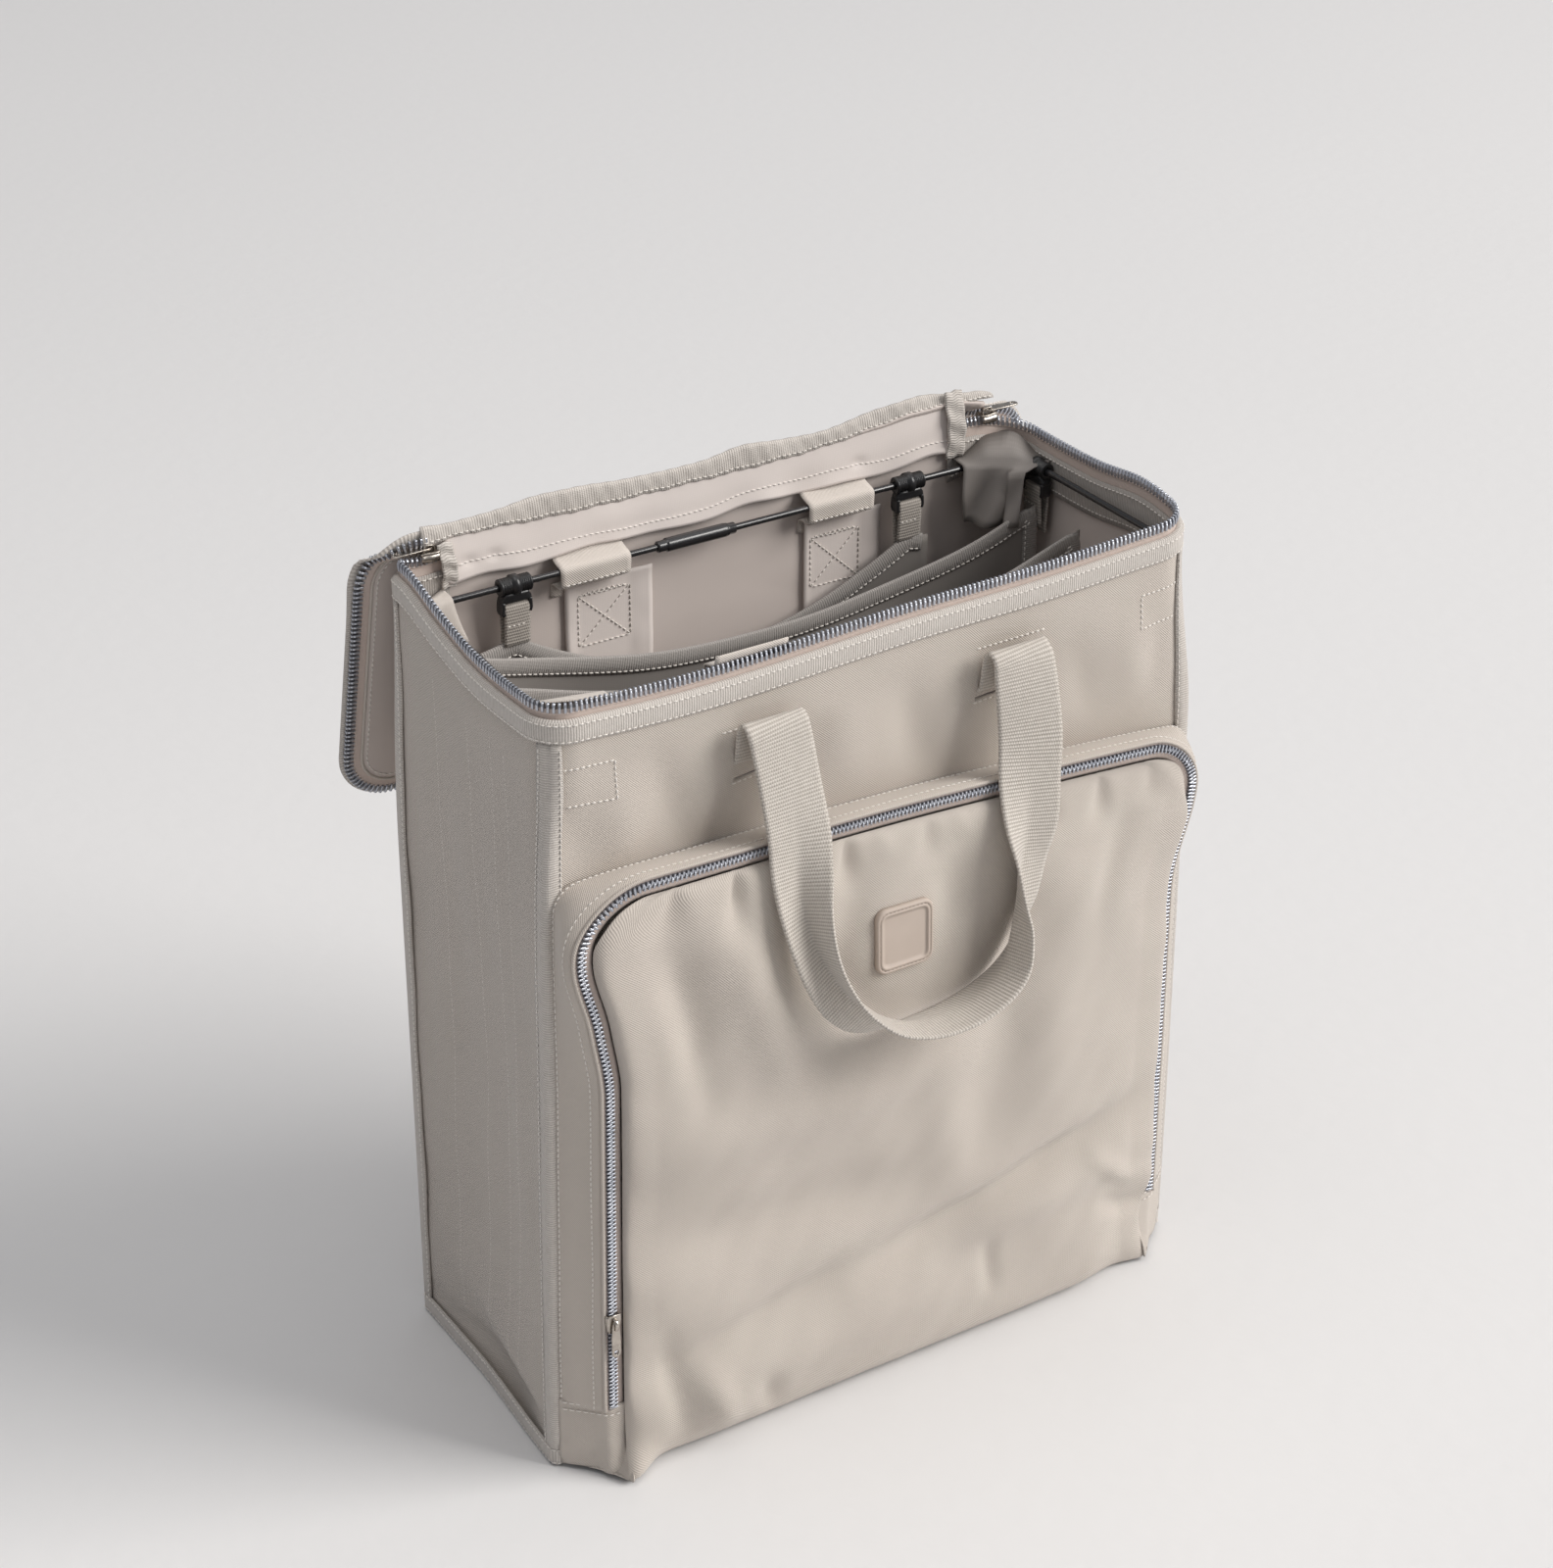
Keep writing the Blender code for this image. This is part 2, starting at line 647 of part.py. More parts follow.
def strap_outline():
    """A strap folded over the clip's bar: the short leg behind, the long one in front."""
    reach = CLIP_BAR + CLEAR + GROSGRAIN / 2
    run = [Vector((-reach, -STRAP_FALL))]
    for step in range(ARC_STEPS + 1):
        turn = math.pi - math.pi * step / ARC_STEPS
        run.append(Vector((reach * math.cos(turn), -CLIP_BAR_DROP + reach * math.sin(turn))))
    run.append(Vector((reach, -STRAP_SHORT_FALL)))
    return ribbon(run, GROSGRAIN)


def make_hangers():
    """Three snap-on clips on the wire, each with a webbing strap sewn to the insert."""
    spots = {
        "back_left": ((CLIP_LEFT_X, WIRE_RUN_D, WIRE_Z), 0),
        "back_right": ((CLIP_RIGHT_X, WIRE_RUN_D, WIRE_Z), 0),
        "side_right": ((WIRE_RUN_W, CLIP_SIDE_Y, WIRE_Z), -math.pi / 2),
    }
    for name, (spot, turn) in spots.items():
        move = Matrix.Translation(spot) @ Matrix.Rotation(turn, 4, "Z")
        sleeve, legs, bar = clip_mesh_parts()
        for mesh in (sleeve, *legs, bar):
            bmesh.ops.transform(mesh, matrix=move, verts=mesh.verts)
        clip = place(f"hanger_clip_{name}", sleeve, BLACK_PLASTIC)
        for leg in legs:
            merge(clip, place("leg", leg, BLACK_PLASTIC), "UNION")
        merge(clip, place("bar", bar, BLACK_PLASTIC), "UNION")
        strap = prism(strap_outline(), "x", -STRAP_WIDE / 2, STRAP_WIDE / 2)
        bmesh.ops.transform(strap, matrix=move, verts=strap.verts)
        place(f"hanger_strap_{name}", strap, RIB)


def droop(x, span, top, sag, fall=0.0):
    """The height of a sheet's top edge, lower between two held places and falling away past them."""
    middle = (span[0] + span[1]) / 2
    half = (span[1] - span[0]) / 2
    beyond = abs(x - middle) - half
    if beyond > 0:
        return top - fall * beyond
    return top - sag * (1 - ((x - middle) / half) ** 2)


def make_insert():
    """The hanging insert: three cloth sheets rising from one floor, each with a bound top edge."""
    half = CLOTH / 2
    floor = INSERT_FLOOR + CLOTH
    left, right = INSERT_SPAN
    rear_left, rear_right = SHEET_REAR_SPAN
    held = (CLIP_LEFT_X, CLIP_RIGHT_X)
    steps = 2 * ARC_STEPS
    step = (rear_right - rear_left) / steps
    stations = [rear_left + step * i for i in range(steps + 1)]
    cut = CLOTH / 4
    places = [left, rear_left - cut] + stations + [rear_right + cut, right]
    sections = []
    for x in places:
        low = x < rear_left or x > rear_right
        rear = floor + CLOTH if low else droop(x, held, SHEET_REAR_TOP, SHEET_REAR_SAG, SHEET_REAR_FALL)
        top = droop(x, INSERT_SPAN, SHEET_TOP, SHEET_SAG)
        outline = [
            (SHEET_REAR_Y + half, INSERT_FLOOR),
            (SHEET_REAR_Y + half, rear),
            (SHEET_REAR_Y - half, rear),
            (SHEET_REAR_Y - half, floor),
            (SHEET_MIDDLE_Y + half, floor),
            (SHEET_MIDDLE_Y + half, top),
            (SHEET_MIDDLE_Y - half, top),
            (SHEET_MIDDLE_Y - half, floor),
            (SHEET_FRONT_Y + half, floor),
            (SHEET_FRONT_Y + half, top),
            (SHEET_FRONT_Y - half, top),
            (SHEET_FRONT_Y - half, INSERT_FLOOR),
        ]
        sections.append([(x, y, z) for y, z in outline])
    place("insert_pocket", skin(sections), LINING)
    sheets = (
        ("rear", SHEET_REAR_Y, held, SHEET_REAR_TOP, SHEET_REAR_SAG, stations),
        ("middle", SHEET_MIDDLE_Y, INSERT_SPAN, SHEET_TOP, SHEET_SAG, places),
        ("front", SHEET_FRONT_Y, INSERT_SPAN, SHEET_TOP, SHEET_SAG, places),
    )
    for name, y, span, top, sag, xs in sheets:
        sections = []
        inner = half + CLEAR
        outer = inner + INSERT_BINDING
        for x in xs:
            edge = droop(x, span, top, sag, SHEET_REAR_FALL) + CLEAR
            foot = edge - INSERT_BINDING_TALL
            head = edge + INSERT_BINDING
            outline = [
                (-outer, foot),
                (-outer, head),
                (outer, head),
                (outer, foot),
                (inner, foot),
                (inner, edge),
                (-inner, edge),
                (-inner, foot),
            ]
            sections.append([(x, y + across, z) for across, z in outline])
        place(f"insert_binding_{name}", skin(sections), RIB)


def panel_bulge(x, z):
    """How far the pocket's face stands out in front of its zipper."""
    half = FACE_HALF - POCKET_TAPE
    top = FACE_TOP - POCKET_TAPE
    across = max(1 - (abs(x) / half) ** 4, 0)
    share = min(max((z - POCKET_FOOT) / (top - POCKET_FOOT), 0), 1)
    rise = 1 - abs(2 * share**BULGE_LOW_SHARE - 1) ** 4
    return POCKET_BULGE * across * rise


def make_pocket():
    """The zipped front pocket: a gusset, the zipper round three sides and a full face."""
    rear_y = -HALF_D - CLEAR
    front_y = rear_y - POCKET_DEEP
    gusset = gusset_sections(rear_y, front_y)
    place("pocket_gusset", skin(gusset, closed=True), TWILL)
    tape_y = front_y - CLEAR
    outer = arch(FACE_HALF, POCKET_ZIP_FOOT, FACE_TOP, FACE_CORNER)
    inset = POCKET_TAPE
    inner = arch(FACE_HALF - inset, POCKET_ZIP_FOOT, FACE_TOP - inset, FACE_CORNER - inset)
    place("pocket_zipper_tape", band(inner, outer, "y", tape_y - TAPE, tape_y), TAPE_PINK)
    teeth_y = tape_y - TAPE - CLEAR
    teeth = []
    for inset in (POCKET_TEETH_IN, POCKET_TEETH_IN + POCKET_TEETH_WIDE):
        teeth.append(arch(FACE_HALF - inset, POCKET_ZIP_FOOT, FACE_TOP - inset, FACE_CORNER - inset))
    strip = band(teeth[1], teeth[0], "y", teeth_y - POCKET_TEETH_TALL, teeth_y)
    place("pocket_zipper_teeth", strip, GUNMETAL)
    place("pocket_panel", pocket_face(tape_y), TWILL)
    make_badge(tape_y)
    make_pocket_slider(teeth_y)


def gusset_sections(rear_y, front_y):
    """The gusset's sections: up the left side, over the top, down the right, back along the foot."""
    loops = []
    for half, top, radius in ((POCKET_HALF, POCKET_TOP, POCKET_CORNER), (FACE_HALF, FACE_TOP, FACE_CORNER)):
        for inset in (0, PANEL_CLOTH):
            loops.append(arch(half - inset, POCKET_FOOT + inset, top - inset, radius - inset))
    rear_out, rear_in, front_out, front_in = loops
    sections = []
    for a, b, c, d in zip(rear_out, front_out, front_in, rear_in):
        rear = rear_y - GROSGRAIN - 2 * CLEAR if a.y < POCKET_FOOT + PANEL_CLOTH else rear_y
        sections.append([(a.x, rear, a.y), (b.x, front_y, b.y), (c.x, front_y, c.y), (d.x, rear, d.y)])
    return sections


def pocket_face(tape_y):
    """The pocket's full front: narrow beside the zipper, as wide as the gusset below the zipper's end."""
    half = FACE_HALF - POCKET_TAPE - CLEAR
    wide = FACE_HALF
    top = FACE_TOP - POCKET_TAPE - CLEAR
    radius = FACE_CORNER - POCKET_TAPE
    foot = POCKET_FOOT
    step = POCKET_ZIP_FOOT - CLEAR
    rows = [(foot, wide), (foot + (step - foot) / 2, wide), (step - CLEAR, wide)]
    straight_top = top - radius
    for i in range(ARC_STEPS + 1):
        rows.append((POCKET_ZIP_FOOT + (straight_top - POCKET_ZIP_FOOT) * i / ARC_STEPS, half))
    for i in range(1, ARC_STEPS + 1):
        turn = math.pi / 2 * i / ARC_STEPS
        rows.append((straight_top + radius * math.sin(turn), half - radius * (1 - math.cos(turn))))
    columns = 12
    outer, inner = [], []
    for z, side in rows:
        for column in range(columns + 1):
            share = math.sin((column / columns - 1 / 2) * math.pi)
            x = side * share
            y = tape_y - panel_bulge(x, z)
            outer.append((x, y - PANEL_CLOTH, z))
            inner.append((x, y, z))
    return slab(outer, inner, len(rows) - 1, columns)


def make_badge(tape_y):
    """The moulded badge: a rounded square with a raised border round a bare field."""
    behind = tape_y - panel_bulge(BADGE_X, BADGE_Z) - PANEL_CLOTH
    rise = BADGE / 2
    slope = (panel_bulge(BADGE_X, BADGE_Z + rise) - panel_bulge(BADGE_X, BADGE_Z - rise)) / BADGE
    seat = behind - CLEAR
    levels = (
        (0, 0),
        (BADGE_THICK, 0),
        (BADGE_THICK, BADGE_BORDER),
        (BADGE_THICK - BADGE_RECESS, BADGE_BORDER),
    )
    sections = []
    for thick, inset in levels:
        half = BADGE / 2 - inset
        corners = [(0, -half), (half, -half), (half, half), (-half, half), (-half, -half), (0, -half)]
        run = rounded(corners, BADGE_RADIUS - inset, ARC_STEPS // 2)[:-1]
        ring = []
        for x, z in run:
            ring.append((BADGE_X + x, seat - thick - slope * z, BADGE_Z + z))
        sections.append(ring)
    place("pocket_badge", skin(sections), RUBBER)


def make_pull(name, pin, along, across, outward):
    """A zip pull on its hinge line: a flat bar with a round end, drawn with three directions."""
    half = PULL_WIDE / 2
    thick = PULL_THICK / 2
    outline = [(-thick, -half), (PULL_LENGTH - half, -half)]
    for step in range(1, ARC_STEPS):
        turn = math.pi * step / ARC_STEPS
        outline.append((PULL_LENGTH - half + half * math.sin(turn), -half * math.cos(turn)))
    outline += [(PULL_LENGTH - half, half), (-thick, half)]
    sections = []
    for level in (-thick, thick):
        sections.append([pin + along * down + across * side + outward * level for down, side in outline])
    place(name, skin(sections), NICKEL, pin)


def make_slider(name, pin, along, across, outward, teeth_half, skirt_deep):
    """A slider: a channel over the teeth, with a lug on each side of the pull's head."""
    gap = teeth_half + SLIDER_ROOM
    half = gap + SLIDER_PLATE
    top = -PULL_LIFT
    roof = top - SLIDER_PLATE
    skirt = roof - skirt_deep
    outline = [(-half, skirt), (-half, top), (half, top), (half, skirt)]
    outline += [(gap, skirt), (gap, roof), (-gap, roof), (-gap, skirt)]
    sections = []
    for run in (-SLIDER_LENGTH / 2, SLIDER_LENGTH / 2):
        at = pin + along * run
        sections.append([at + across * side + outward * level for side, level in outline])
    body = place(name, skin(sections), NICKEL, pin)
    for sign in (-1, 1):
        near = PULL_WIDE / 2 + CLEAR
        far = near + LUG
        seat = (roof + top) / 2
        outline = [(sign * near, seat), (sign * far, seat), (sign * far, LUG), (sign * near, LUG)]
        sections = []
        for run in (-LUG_LONG / 2, LUG_LONG / 2):
            at = pin + along * run
            sections.append([at + across * side + outward * level for side, level in outline])
        merge(body, place("lug", skin(sections), NICKEL, pin), "UNION")


def make_pocket_slider(teeth_y):
    """The pocket's slider on the closed teeth, and its pull hanging down."""
    middle = -(FACE_HALF - POCKET_TEETH_IN - POCKET_TEETH_WIDE / 2)
    face = teeth_y - POCKET_TEETH_TALL - SLIDER_ROOM - SLIDER_PLATE
    pin = Vector((middle, face - PULL_LIFT, POCKET_SLIDER_Z))
    down, right, out = Vector((0, 0, -1)), Vector((1, 0, 0)), Vector((0, -1, 0))
    deep = POCKET_TEETH_TALL + SLIDER_ROOM
    make_slider("pocket_slider", pin, down, right, out, POCKET_TEETH_WIDE / 2, deep)
    make_pull("pocket_pull", pin, down, right, out)


def make_lid_sliders():
    """The two lid sliders parked at the ends of the rim's teeth, each with its pull lying outward."""
    middle = INNER_D - CLEAR - TAPE / 2
    top = RIM_TEETH_Z + TEETH_TALL + SLIDER_ROOM + SLIDER_PLATE
    deep = TEETH_TALL + SLIDER_ROOM + SLIDER_SKIRT
    for side, x in LID_SLIDERS.items():
        pin = Vector((x, middle, top + PULL_LIFT))
        along, across, out = Vector((math.copysign(1, x), 0, 0)), Vector((0, 1, 0)), Vector((0, 0, 1))
        make_slider(f"lid_slider_{side}", pin, along, across, out, TEETH_DEEP / 2, deep)
        make_pull(f"lid_pull_{side}", pin, along, across, out)


def handle_run(hinge, bow, droop_out, steps):
    """The middle line and width direction of a hanging handle, from its left hinge to its right one."""
    x0, y0, z0 = hinge
    cheek = HANDLE_X - HANDLE_CHEEK
    stations = []
    for i in range(steps + 1):
        share = i / steps
        if share <= 1 / 2:
            side = -1
            part = share * 2
        else:
            side = 1
            part = 2 - share * 2
        turn = math.pi / 2 * max(part * 2 - 1, 0)
        if part <= 1 / 2:
            down = (HANDLE_HANG - cheek) * part * 2
            x = HANDLE_X - HANDLE_CHEEK * math.sin(math.pi / 2 * part * 2)
            z = z0 - down
        else:
            x = cheek * math.cos(turn)
            z = z0 - (HANDLE_HANG - cheek) - cheek * math.sin(turn)
        out = droop_out * math.sin(math.pi / 2 * min(part * 2, 1)) + (bow - droop_out) * math.sin(turn)
        wide = Vector((math.cos(turn) * -side, math.copysign(math.sin(turn), y0), 0))
        stations.append((Vector((side * x, y0 + math.copysign(out, y0), z)), wide))
    return stations


def make_handle(name, hinge, bow, droop_out, origin):
    """A webbing handle as one ribbon, flat at its ends and turned on edge round the bottom of its loop."""
    stations = handle_run(hinge, bow, droop_out, 4 * ARC_STEPS)
    sections = []
    for i, (here, wide) in enumerate(stations):
        if 0 < i < len(stations) - 1:
            along = (stations[i + 1][0] - stations[i - 1][0]).normalized()
        else:
            along = Vector((0, 0, 1 if i else -1))
        across = (wide - along * wide.dot(along)).normalized() * (WEBBING_WIDTH / 2)
        face = along.cross(across).normalized() * (WEBBING / 2)
        near, far = here - across, here + across
        sections.append([near - face, far - face, far + face, near + face])
    place(name, skin(sections), WEB, origin)


def make_handles():
    """The two handles: the front one on short ends sewn through the panel, the back one lying flat."""
    front_y = -HALF_D - HANDLE_OUT
    hinge = (0, front_y, HANDLE_Z + HANDLE_UP)
    start = (0, front_y, hinge[2] - CLEAR - WEBBING)
    make_handle("front_handle", start, HANDLE_BOW, HANDLE_DROOP, hinge)
    for sign in (-1, 1):
        run = [
            Vector((-INNER_D + HANDLE_TAIL, HANDLE_Z)),
            Vector((-HALF_D, HANDLE_Z)),
            Vector((-HALF_D - HANDLE_OUT / 2, HANDLE_Z + HANDLE_UP / 2)),
            Vector((front_y, HANDLE_Z + HANDLE_UP)),
        ]
        span = (sign * HANDLE_X - WEBBING_WIDTH / 2, sign * HANDLE_X + WEBBING_WIDTH / 2)
        place(f"front_handle_end_{side_of(sign)}", prism(ribbon(run, WEBBING), "x", *span), WEB)
    back_y = HALF_D + BACK_HANDLE_OUT
    hinge = (0, back_y, HANDLE_Z)
    make_handle("back_handle", hinge, BACK_HANDLE_BOW, 0, hinge)


clear_scene()
TWILL = material("twill", (0.57, 0.51, 0.46), 0.85)
LINING = material("coated_lining", (0.47, 0.40, 0.36), 0.75)
RIB = material("grosgrain", (0.60, 0.55, 0.50), 0.80)
WEB = material("webbing", (0.56, 0.50, 0.45), 0.80)
TAPE_PINK = material("zipper_tape", (0.60, 0.48, 0.42), 0.85)
GUNMETAL = material("zipper_teeth", (0.36, 0.39, 0.44), 0.30, 1.0)
NICKEL = material("nickel", (0.45, 0.40, 0.36), 0.30, 1.0)
BLACK_STEEL = material("black_steel", (0.015, 0.015, 0.016), 0.30)
BLACK_PLASTIC = material("black_plastic", (0.018, 0.018, 0.020), 0.45)
RUBBER = material("moulded_rubber", (0.53, 0.46, 0.40), 0.60)
BOARD_GREY = material("board", (0.30, 0.28, 0.26), 0.80)
make_shell()
make_bindings()
make_rim()
make_hinge()
make_lid()
make_frame()
make_loops()
make_corner_pockets()
make_hangers()
make_insert()
make_pocket()
make_lid_sliders()
make_handles()
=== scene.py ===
"""A zipped gift bag storage organizer, standing open on a pale floor. Every size is in metres."""

import math

import bmesh
import bpy
import numpy as np
from mathutils import Matrix, Vector


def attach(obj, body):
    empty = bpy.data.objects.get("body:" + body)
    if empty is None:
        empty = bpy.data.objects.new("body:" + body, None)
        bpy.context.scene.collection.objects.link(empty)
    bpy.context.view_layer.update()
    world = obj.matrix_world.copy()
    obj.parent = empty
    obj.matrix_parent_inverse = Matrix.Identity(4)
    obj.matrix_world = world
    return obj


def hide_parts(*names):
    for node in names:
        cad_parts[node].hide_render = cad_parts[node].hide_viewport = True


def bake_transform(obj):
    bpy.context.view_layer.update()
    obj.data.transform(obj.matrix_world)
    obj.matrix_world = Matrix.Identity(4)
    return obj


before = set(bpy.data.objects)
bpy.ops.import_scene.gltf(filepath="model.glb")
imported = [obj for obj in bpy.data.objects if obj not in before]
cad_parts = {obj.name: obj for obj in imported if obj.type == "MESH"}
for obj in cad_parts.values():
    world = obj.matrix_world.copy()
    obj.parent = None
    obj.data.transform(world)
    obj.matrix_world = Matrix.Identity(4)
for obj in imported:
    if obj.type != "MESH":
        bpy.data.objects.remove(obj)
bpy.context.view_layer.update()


# The view. The camera stands in front of the bag and to its left, and looks down into its mouth.
# Its turn is given by where it stands round the bag, how high it looks from, and a slight tilt.
CAMERA_PLACE = (-0.92087, -1.41204, 1.27803)
CAMERA_AZIMUTH = -32.66
CAMERA_ELEVATION = 28.95
CAMERA_ROLL = 0.31
LENS = 76.47
SENSOR = 36.0


def stand_camera():
    azimuth = math.radians(CAMERA_AZIMUTH)
    elevation = math.radians(CAMERA_ELEVATION)
    roll = math.radians(CAMERA_ROLL)
    flat = math.cos(elevation)
    back = Vector((math.sin(azimuth) * flat, -math.cos(azimuth) * flat, math.sin(elevation)))
    level = Vector((0, 0, 1)).cross(back).normalized()
    right = level * math.cos(roll) + back.cross(level) * math.sin(roll)
    turned = Matrix((right, back.cross(right), back)).transposed().to_4x4()
    data = bpy.data.cameras.new("view")
    data.lens = LENS
    data.sensor_width = SENSOR
    camera = bpy.data.objects.new("view", data)
    camera.matrix_world = Matrix.Translation(CAMERA_PLACE) @ turned
    bpy.context.scene.collection.objects.link(camera)
    bpy.context.scene.camera = camera


stand_camera()


# The floor and the light. A matt white floor runs on past the edge of the picture. One large soft
# lamp stands far off in front and to the right, one hangs above, and a small one lights the left.
FLOOR_REACH = 9.0
FLOOR_DROP = 0.0004
FLOOR_WHITE = (0.805, 0.797, 0.795)
FLOOR_SHADE = (0.770, 0.763, 0.761)
ROOM_COLOUR = (0.93, 0.95, 1.0)
ROOM_STRENGTH = 0.30
LAMP_COLOUR = (1.0, 0.975, 0.945)
LAMPS = {
    "window_lamp": ((8.70, -6.80, 7.45), (0.05, 0.0, 0.22), 7.6, 1720.0),
    "ceiling_lamp": ((0.3, 0.6, 7.0), (0.3, 0.6, 0.0), 7.0, 110.0),
    "side_lamp": ((-0.38, 0.0, 1.40), (-0.38, 0.0, 0.0), 0.7, 1.8),
}


class Value:
    """A number that changes over a surface: a shader socket that Python's own signs work on."""

    def __init__(self, finish, socket):
        self.finish = finish
        self.socket = socket

    def maths(self, operation, *terms):
        return self.finish.node("ShaderNodeMath", {"operation": operation}, *terms)

    def __add__(self, other):
        return self.maths("ADD", self, other)

    def __radd__(self, other):
        return self.maths("ADD", other, self)

    def __sub__(self, other):
        return self.maths("SUBTRACT", self, other)

    def __mul__(self, other):
        return self.maths("MULTIPLY", self, other)

    def __rmul__(self, other):
        return self.maths("MULTIPLY", other, self)

    def __truediv__(self, other):
        return self.maths("DIVIDE", self, other)

    def wave(self, pitch):
        """Runs smoothly from 0 to 1 and back once in each pitch."""
        return 0.5 + 0.5 * self.maths("SINE", self * (math.tau / pitch))

    def part(self):
        """What is left over past the last whole number."""
        return self.maths("FRACT", self)

    def floor(self):
        return self.maths("FLOOR", self)

    def size(self):
        return self.maths("ABSOLUTE", self)


class Finish:
    """A material being mixed: a Principled shader, and the nodes that feed it."""

    def __init__(self, name, **constants):
        self.material = bpy.data.materials.new(name)
        self.material.use_nodes = True
        self.tree = self.material.node_tree
        self.shader = self.tree.nodes["Principled BSDF"]
        for socket, value in constants.items():
            self.shader.inputs[socket.replace("_", " ")].default_value = value

    def node(self, kind, settings, *terms, result=0, **named):
        """Adds any node: its settings first, then its sockets' values or links. Gives one result."""
        made = self.tree.nodes.new(kind)
        for key, value in settings.items():
            setattr(made, key, value)
        for key, value in (*enumerate(terms), *named.items()):
            socket = made.inputs[key if isinstance(key, int) else key.replace("_", " ")]
            if isinstance(value, Value):
                self.tree.links.new(value.socket, socket)
            else:
                socket.default_value = value
        return Value(self, made.outputs[result])

    def along_cloth(self):
        """The two distances over the cloth, in metres, that each mesh carries as its UV map."""
        place = self.node("ShaderNodeUVMap", {"uv_map": "cloth"})
        split = self.node("ShaderNodeSeparateXYZ", {}, place)
        return split, Value(self, split.socket.node.outputs[1])

    def in_space(self):
        return self.node("ShaderNodeTexCoord", {}, result="Object")

    def noise(self, place, scale, detail=2.0):
        return self.node("ShaderNodeTexNoise", {}, place, Scale=scale, Detail=detail)

    def between(self, mask, first, second):
        """A colour between two colours, by a mask from 0 to 1."""
        full = [(*colour, 1.0) if isinstance(colour, tuple) else colour for colour in (first, second)]
        settings = {"data_type": "RGBA"}
        made = self.node("ShaderNodeMix", settings, mask, result="Result")
        colours = [socket for socket in made.socket.node.inputs if socket.type == "RGBA"]
        for socket, value in zip(colours, full):
            if isinstance(value, Value):
                self.tree.links.new(value.socket, socket)
            else:
                socket.default_value = value
        results = [socket for socket in made.socket.node.outputs if socket.type == "RGBA"]
        return Value(self, results[0])

    def colour(self, value):
        self.tree.links.new(value.socket, self.shader.inputs["Base Color"])

    def roughness(self, value):
        self.tree.links.new(value.socket, self.shader.inputs["Roughness"])

    def relief(self, height, depth, strength=1.0):
        """Raises the surface by a height from 0 to 1, at most this deep."""
        bump = self.node("ShaderNodeBump", {}, Height=height, Distance=depth, Strength=strength)
        self.tree.links.new(bump.socket, self.shader.inputs["Normal"])


def matt_white():
    white = Finish("matt_white_floor", Roughness=0.85)
    place = white.in_space()
    cloudy = white.noise(place, 1.1, 3.0)
    specks = white.noise(place, 60.0, 2.0)
    white.colour(white.between(cloudy * 0.7 + specks * 0.3, FLOOR_SHADE, FLOOR_WHITE))
    white.relief(specks, 0.0006, 0.5)
    return white.material


def lay_floor():
    around = ((-1, -1), (1, -1), (1, 1), (-1, 1))
    corners = [(x * FLOOR_REACH, y * FLOOR_REACH, -FLOOR_DROP) for x, y in around]
    data = bpy.data.meshes.new("floor")
    data.from_pydata(corners, [], [(0, 1, 2, 3)])
    data.materials.append(matt_white())
    floor = bpy.data.objects.new("floor", data)
    bpy.context.scene.collection.objects.link(floor)


def hang_lamp(name, place, aim, size, power):
    data = bpy.data.lights.new(name, "AREA")
    data.shape = "SQUARE"
    data.size = size
    data.energy = power
    data.color = LAMP_COLOUR
    lamp = bpy.data.objects.new(name, data)
    lamp.location = place
    lamp.rotation_euler = (Vector(aim) - Vector(place)).to_track_quat("-Z", "Y").to_euler()
    lamp.visible_camera = False
    bpy.context.scene.collection.objects.link(lamp)


def fill_room():
    room = bpy.data.worlds.new("pale_room")
    room.use_nodes = True
    back = room.node_tree.nodes["Background"]
    back.inputs["Color"].default_value = (*ROOM_COLOUR, 1.0)
    back.inputs["Strength"].default_value = ROOM_STRENGTH
    bpy.context.scene.world = room


lay_floor()
for lamp_name, lamp_sizes in LAMPS.items():
    hang_lamp(lamp_name, *lamp_sizes)
fill_room()
bpy.context.scene.view_settings.view_transform = "Standard"


# The panels. The body is sewn from five pieces of twill woven polyester, coated smooth inside, with
# a stiff board laid loose on the bottom. The cloth has settled: the rim sags and the sides cave in.
HALF_WIDE = 0.215
HALF_DEEP = 0.086
RIM_Z = 0.489
PANEL_THICK = 0.0024
PANEL_FOOT = 0.0019
WEAVE_STEP = 0.0042
RIM_STIFF_LOW = 0.33
RIM_STIFF_HIGH = 0.478
FRONT_SAGS = ((-0.12, 0.150, -0.0125), (0.10, 0.085, -0.0045))
LEFT_SAGS = ((-0.018, 0.045, -0.0105),)
LEFT_REAR_RISE = (0.075, 0.030, 0.009)
RIGHT_RISE = (-0.042, 0.032, 0.0055)
BACK_RISES = ((0.174, 0.028, 0.0072), (-0.186, 0.020, 0.0072))
FOOT_SPREAD = 0.0052
TOP_DRAW = 0.0030
SIDE_CAVE = 0.0065
RIM_RADIUS = 0.0224
TIGHT_RADIUS = 0.0080
ROUND_FROM = 0.375
ROUND_FULL = 0.477
SLIT_HALF = 0.0202
SLIT_TALL = 0.0026
SLIT_X = 0.0795
SLIT_Z = 0.4275
TWILL_PITCH = 0.0015
# The side panels are the same twill as the front and back, coloured darker here as painted shade.
SIDE_SHADED_LIGHT = (0.586, 0.530, 0.480)
SIDE_SHADED_DARK = (0.405, 0.360, 0.318)
TWILL_LIGHT = (0.640, 0.580, 0.520)
TWILL_DARK = (0.445, 0.393, 0.345)
LINING_LIGHT = (0.680, 0.607, 0.567)
LINING_DARK = (0.600, 0.530, 0.490)
THREAD = 0.00042
THREAD_LIGHT = (0.860, 0.820, 0.770)
THREAD_DARK = (0.660, 0.610, 0.560)
STITCH_PITCH = 0.0036
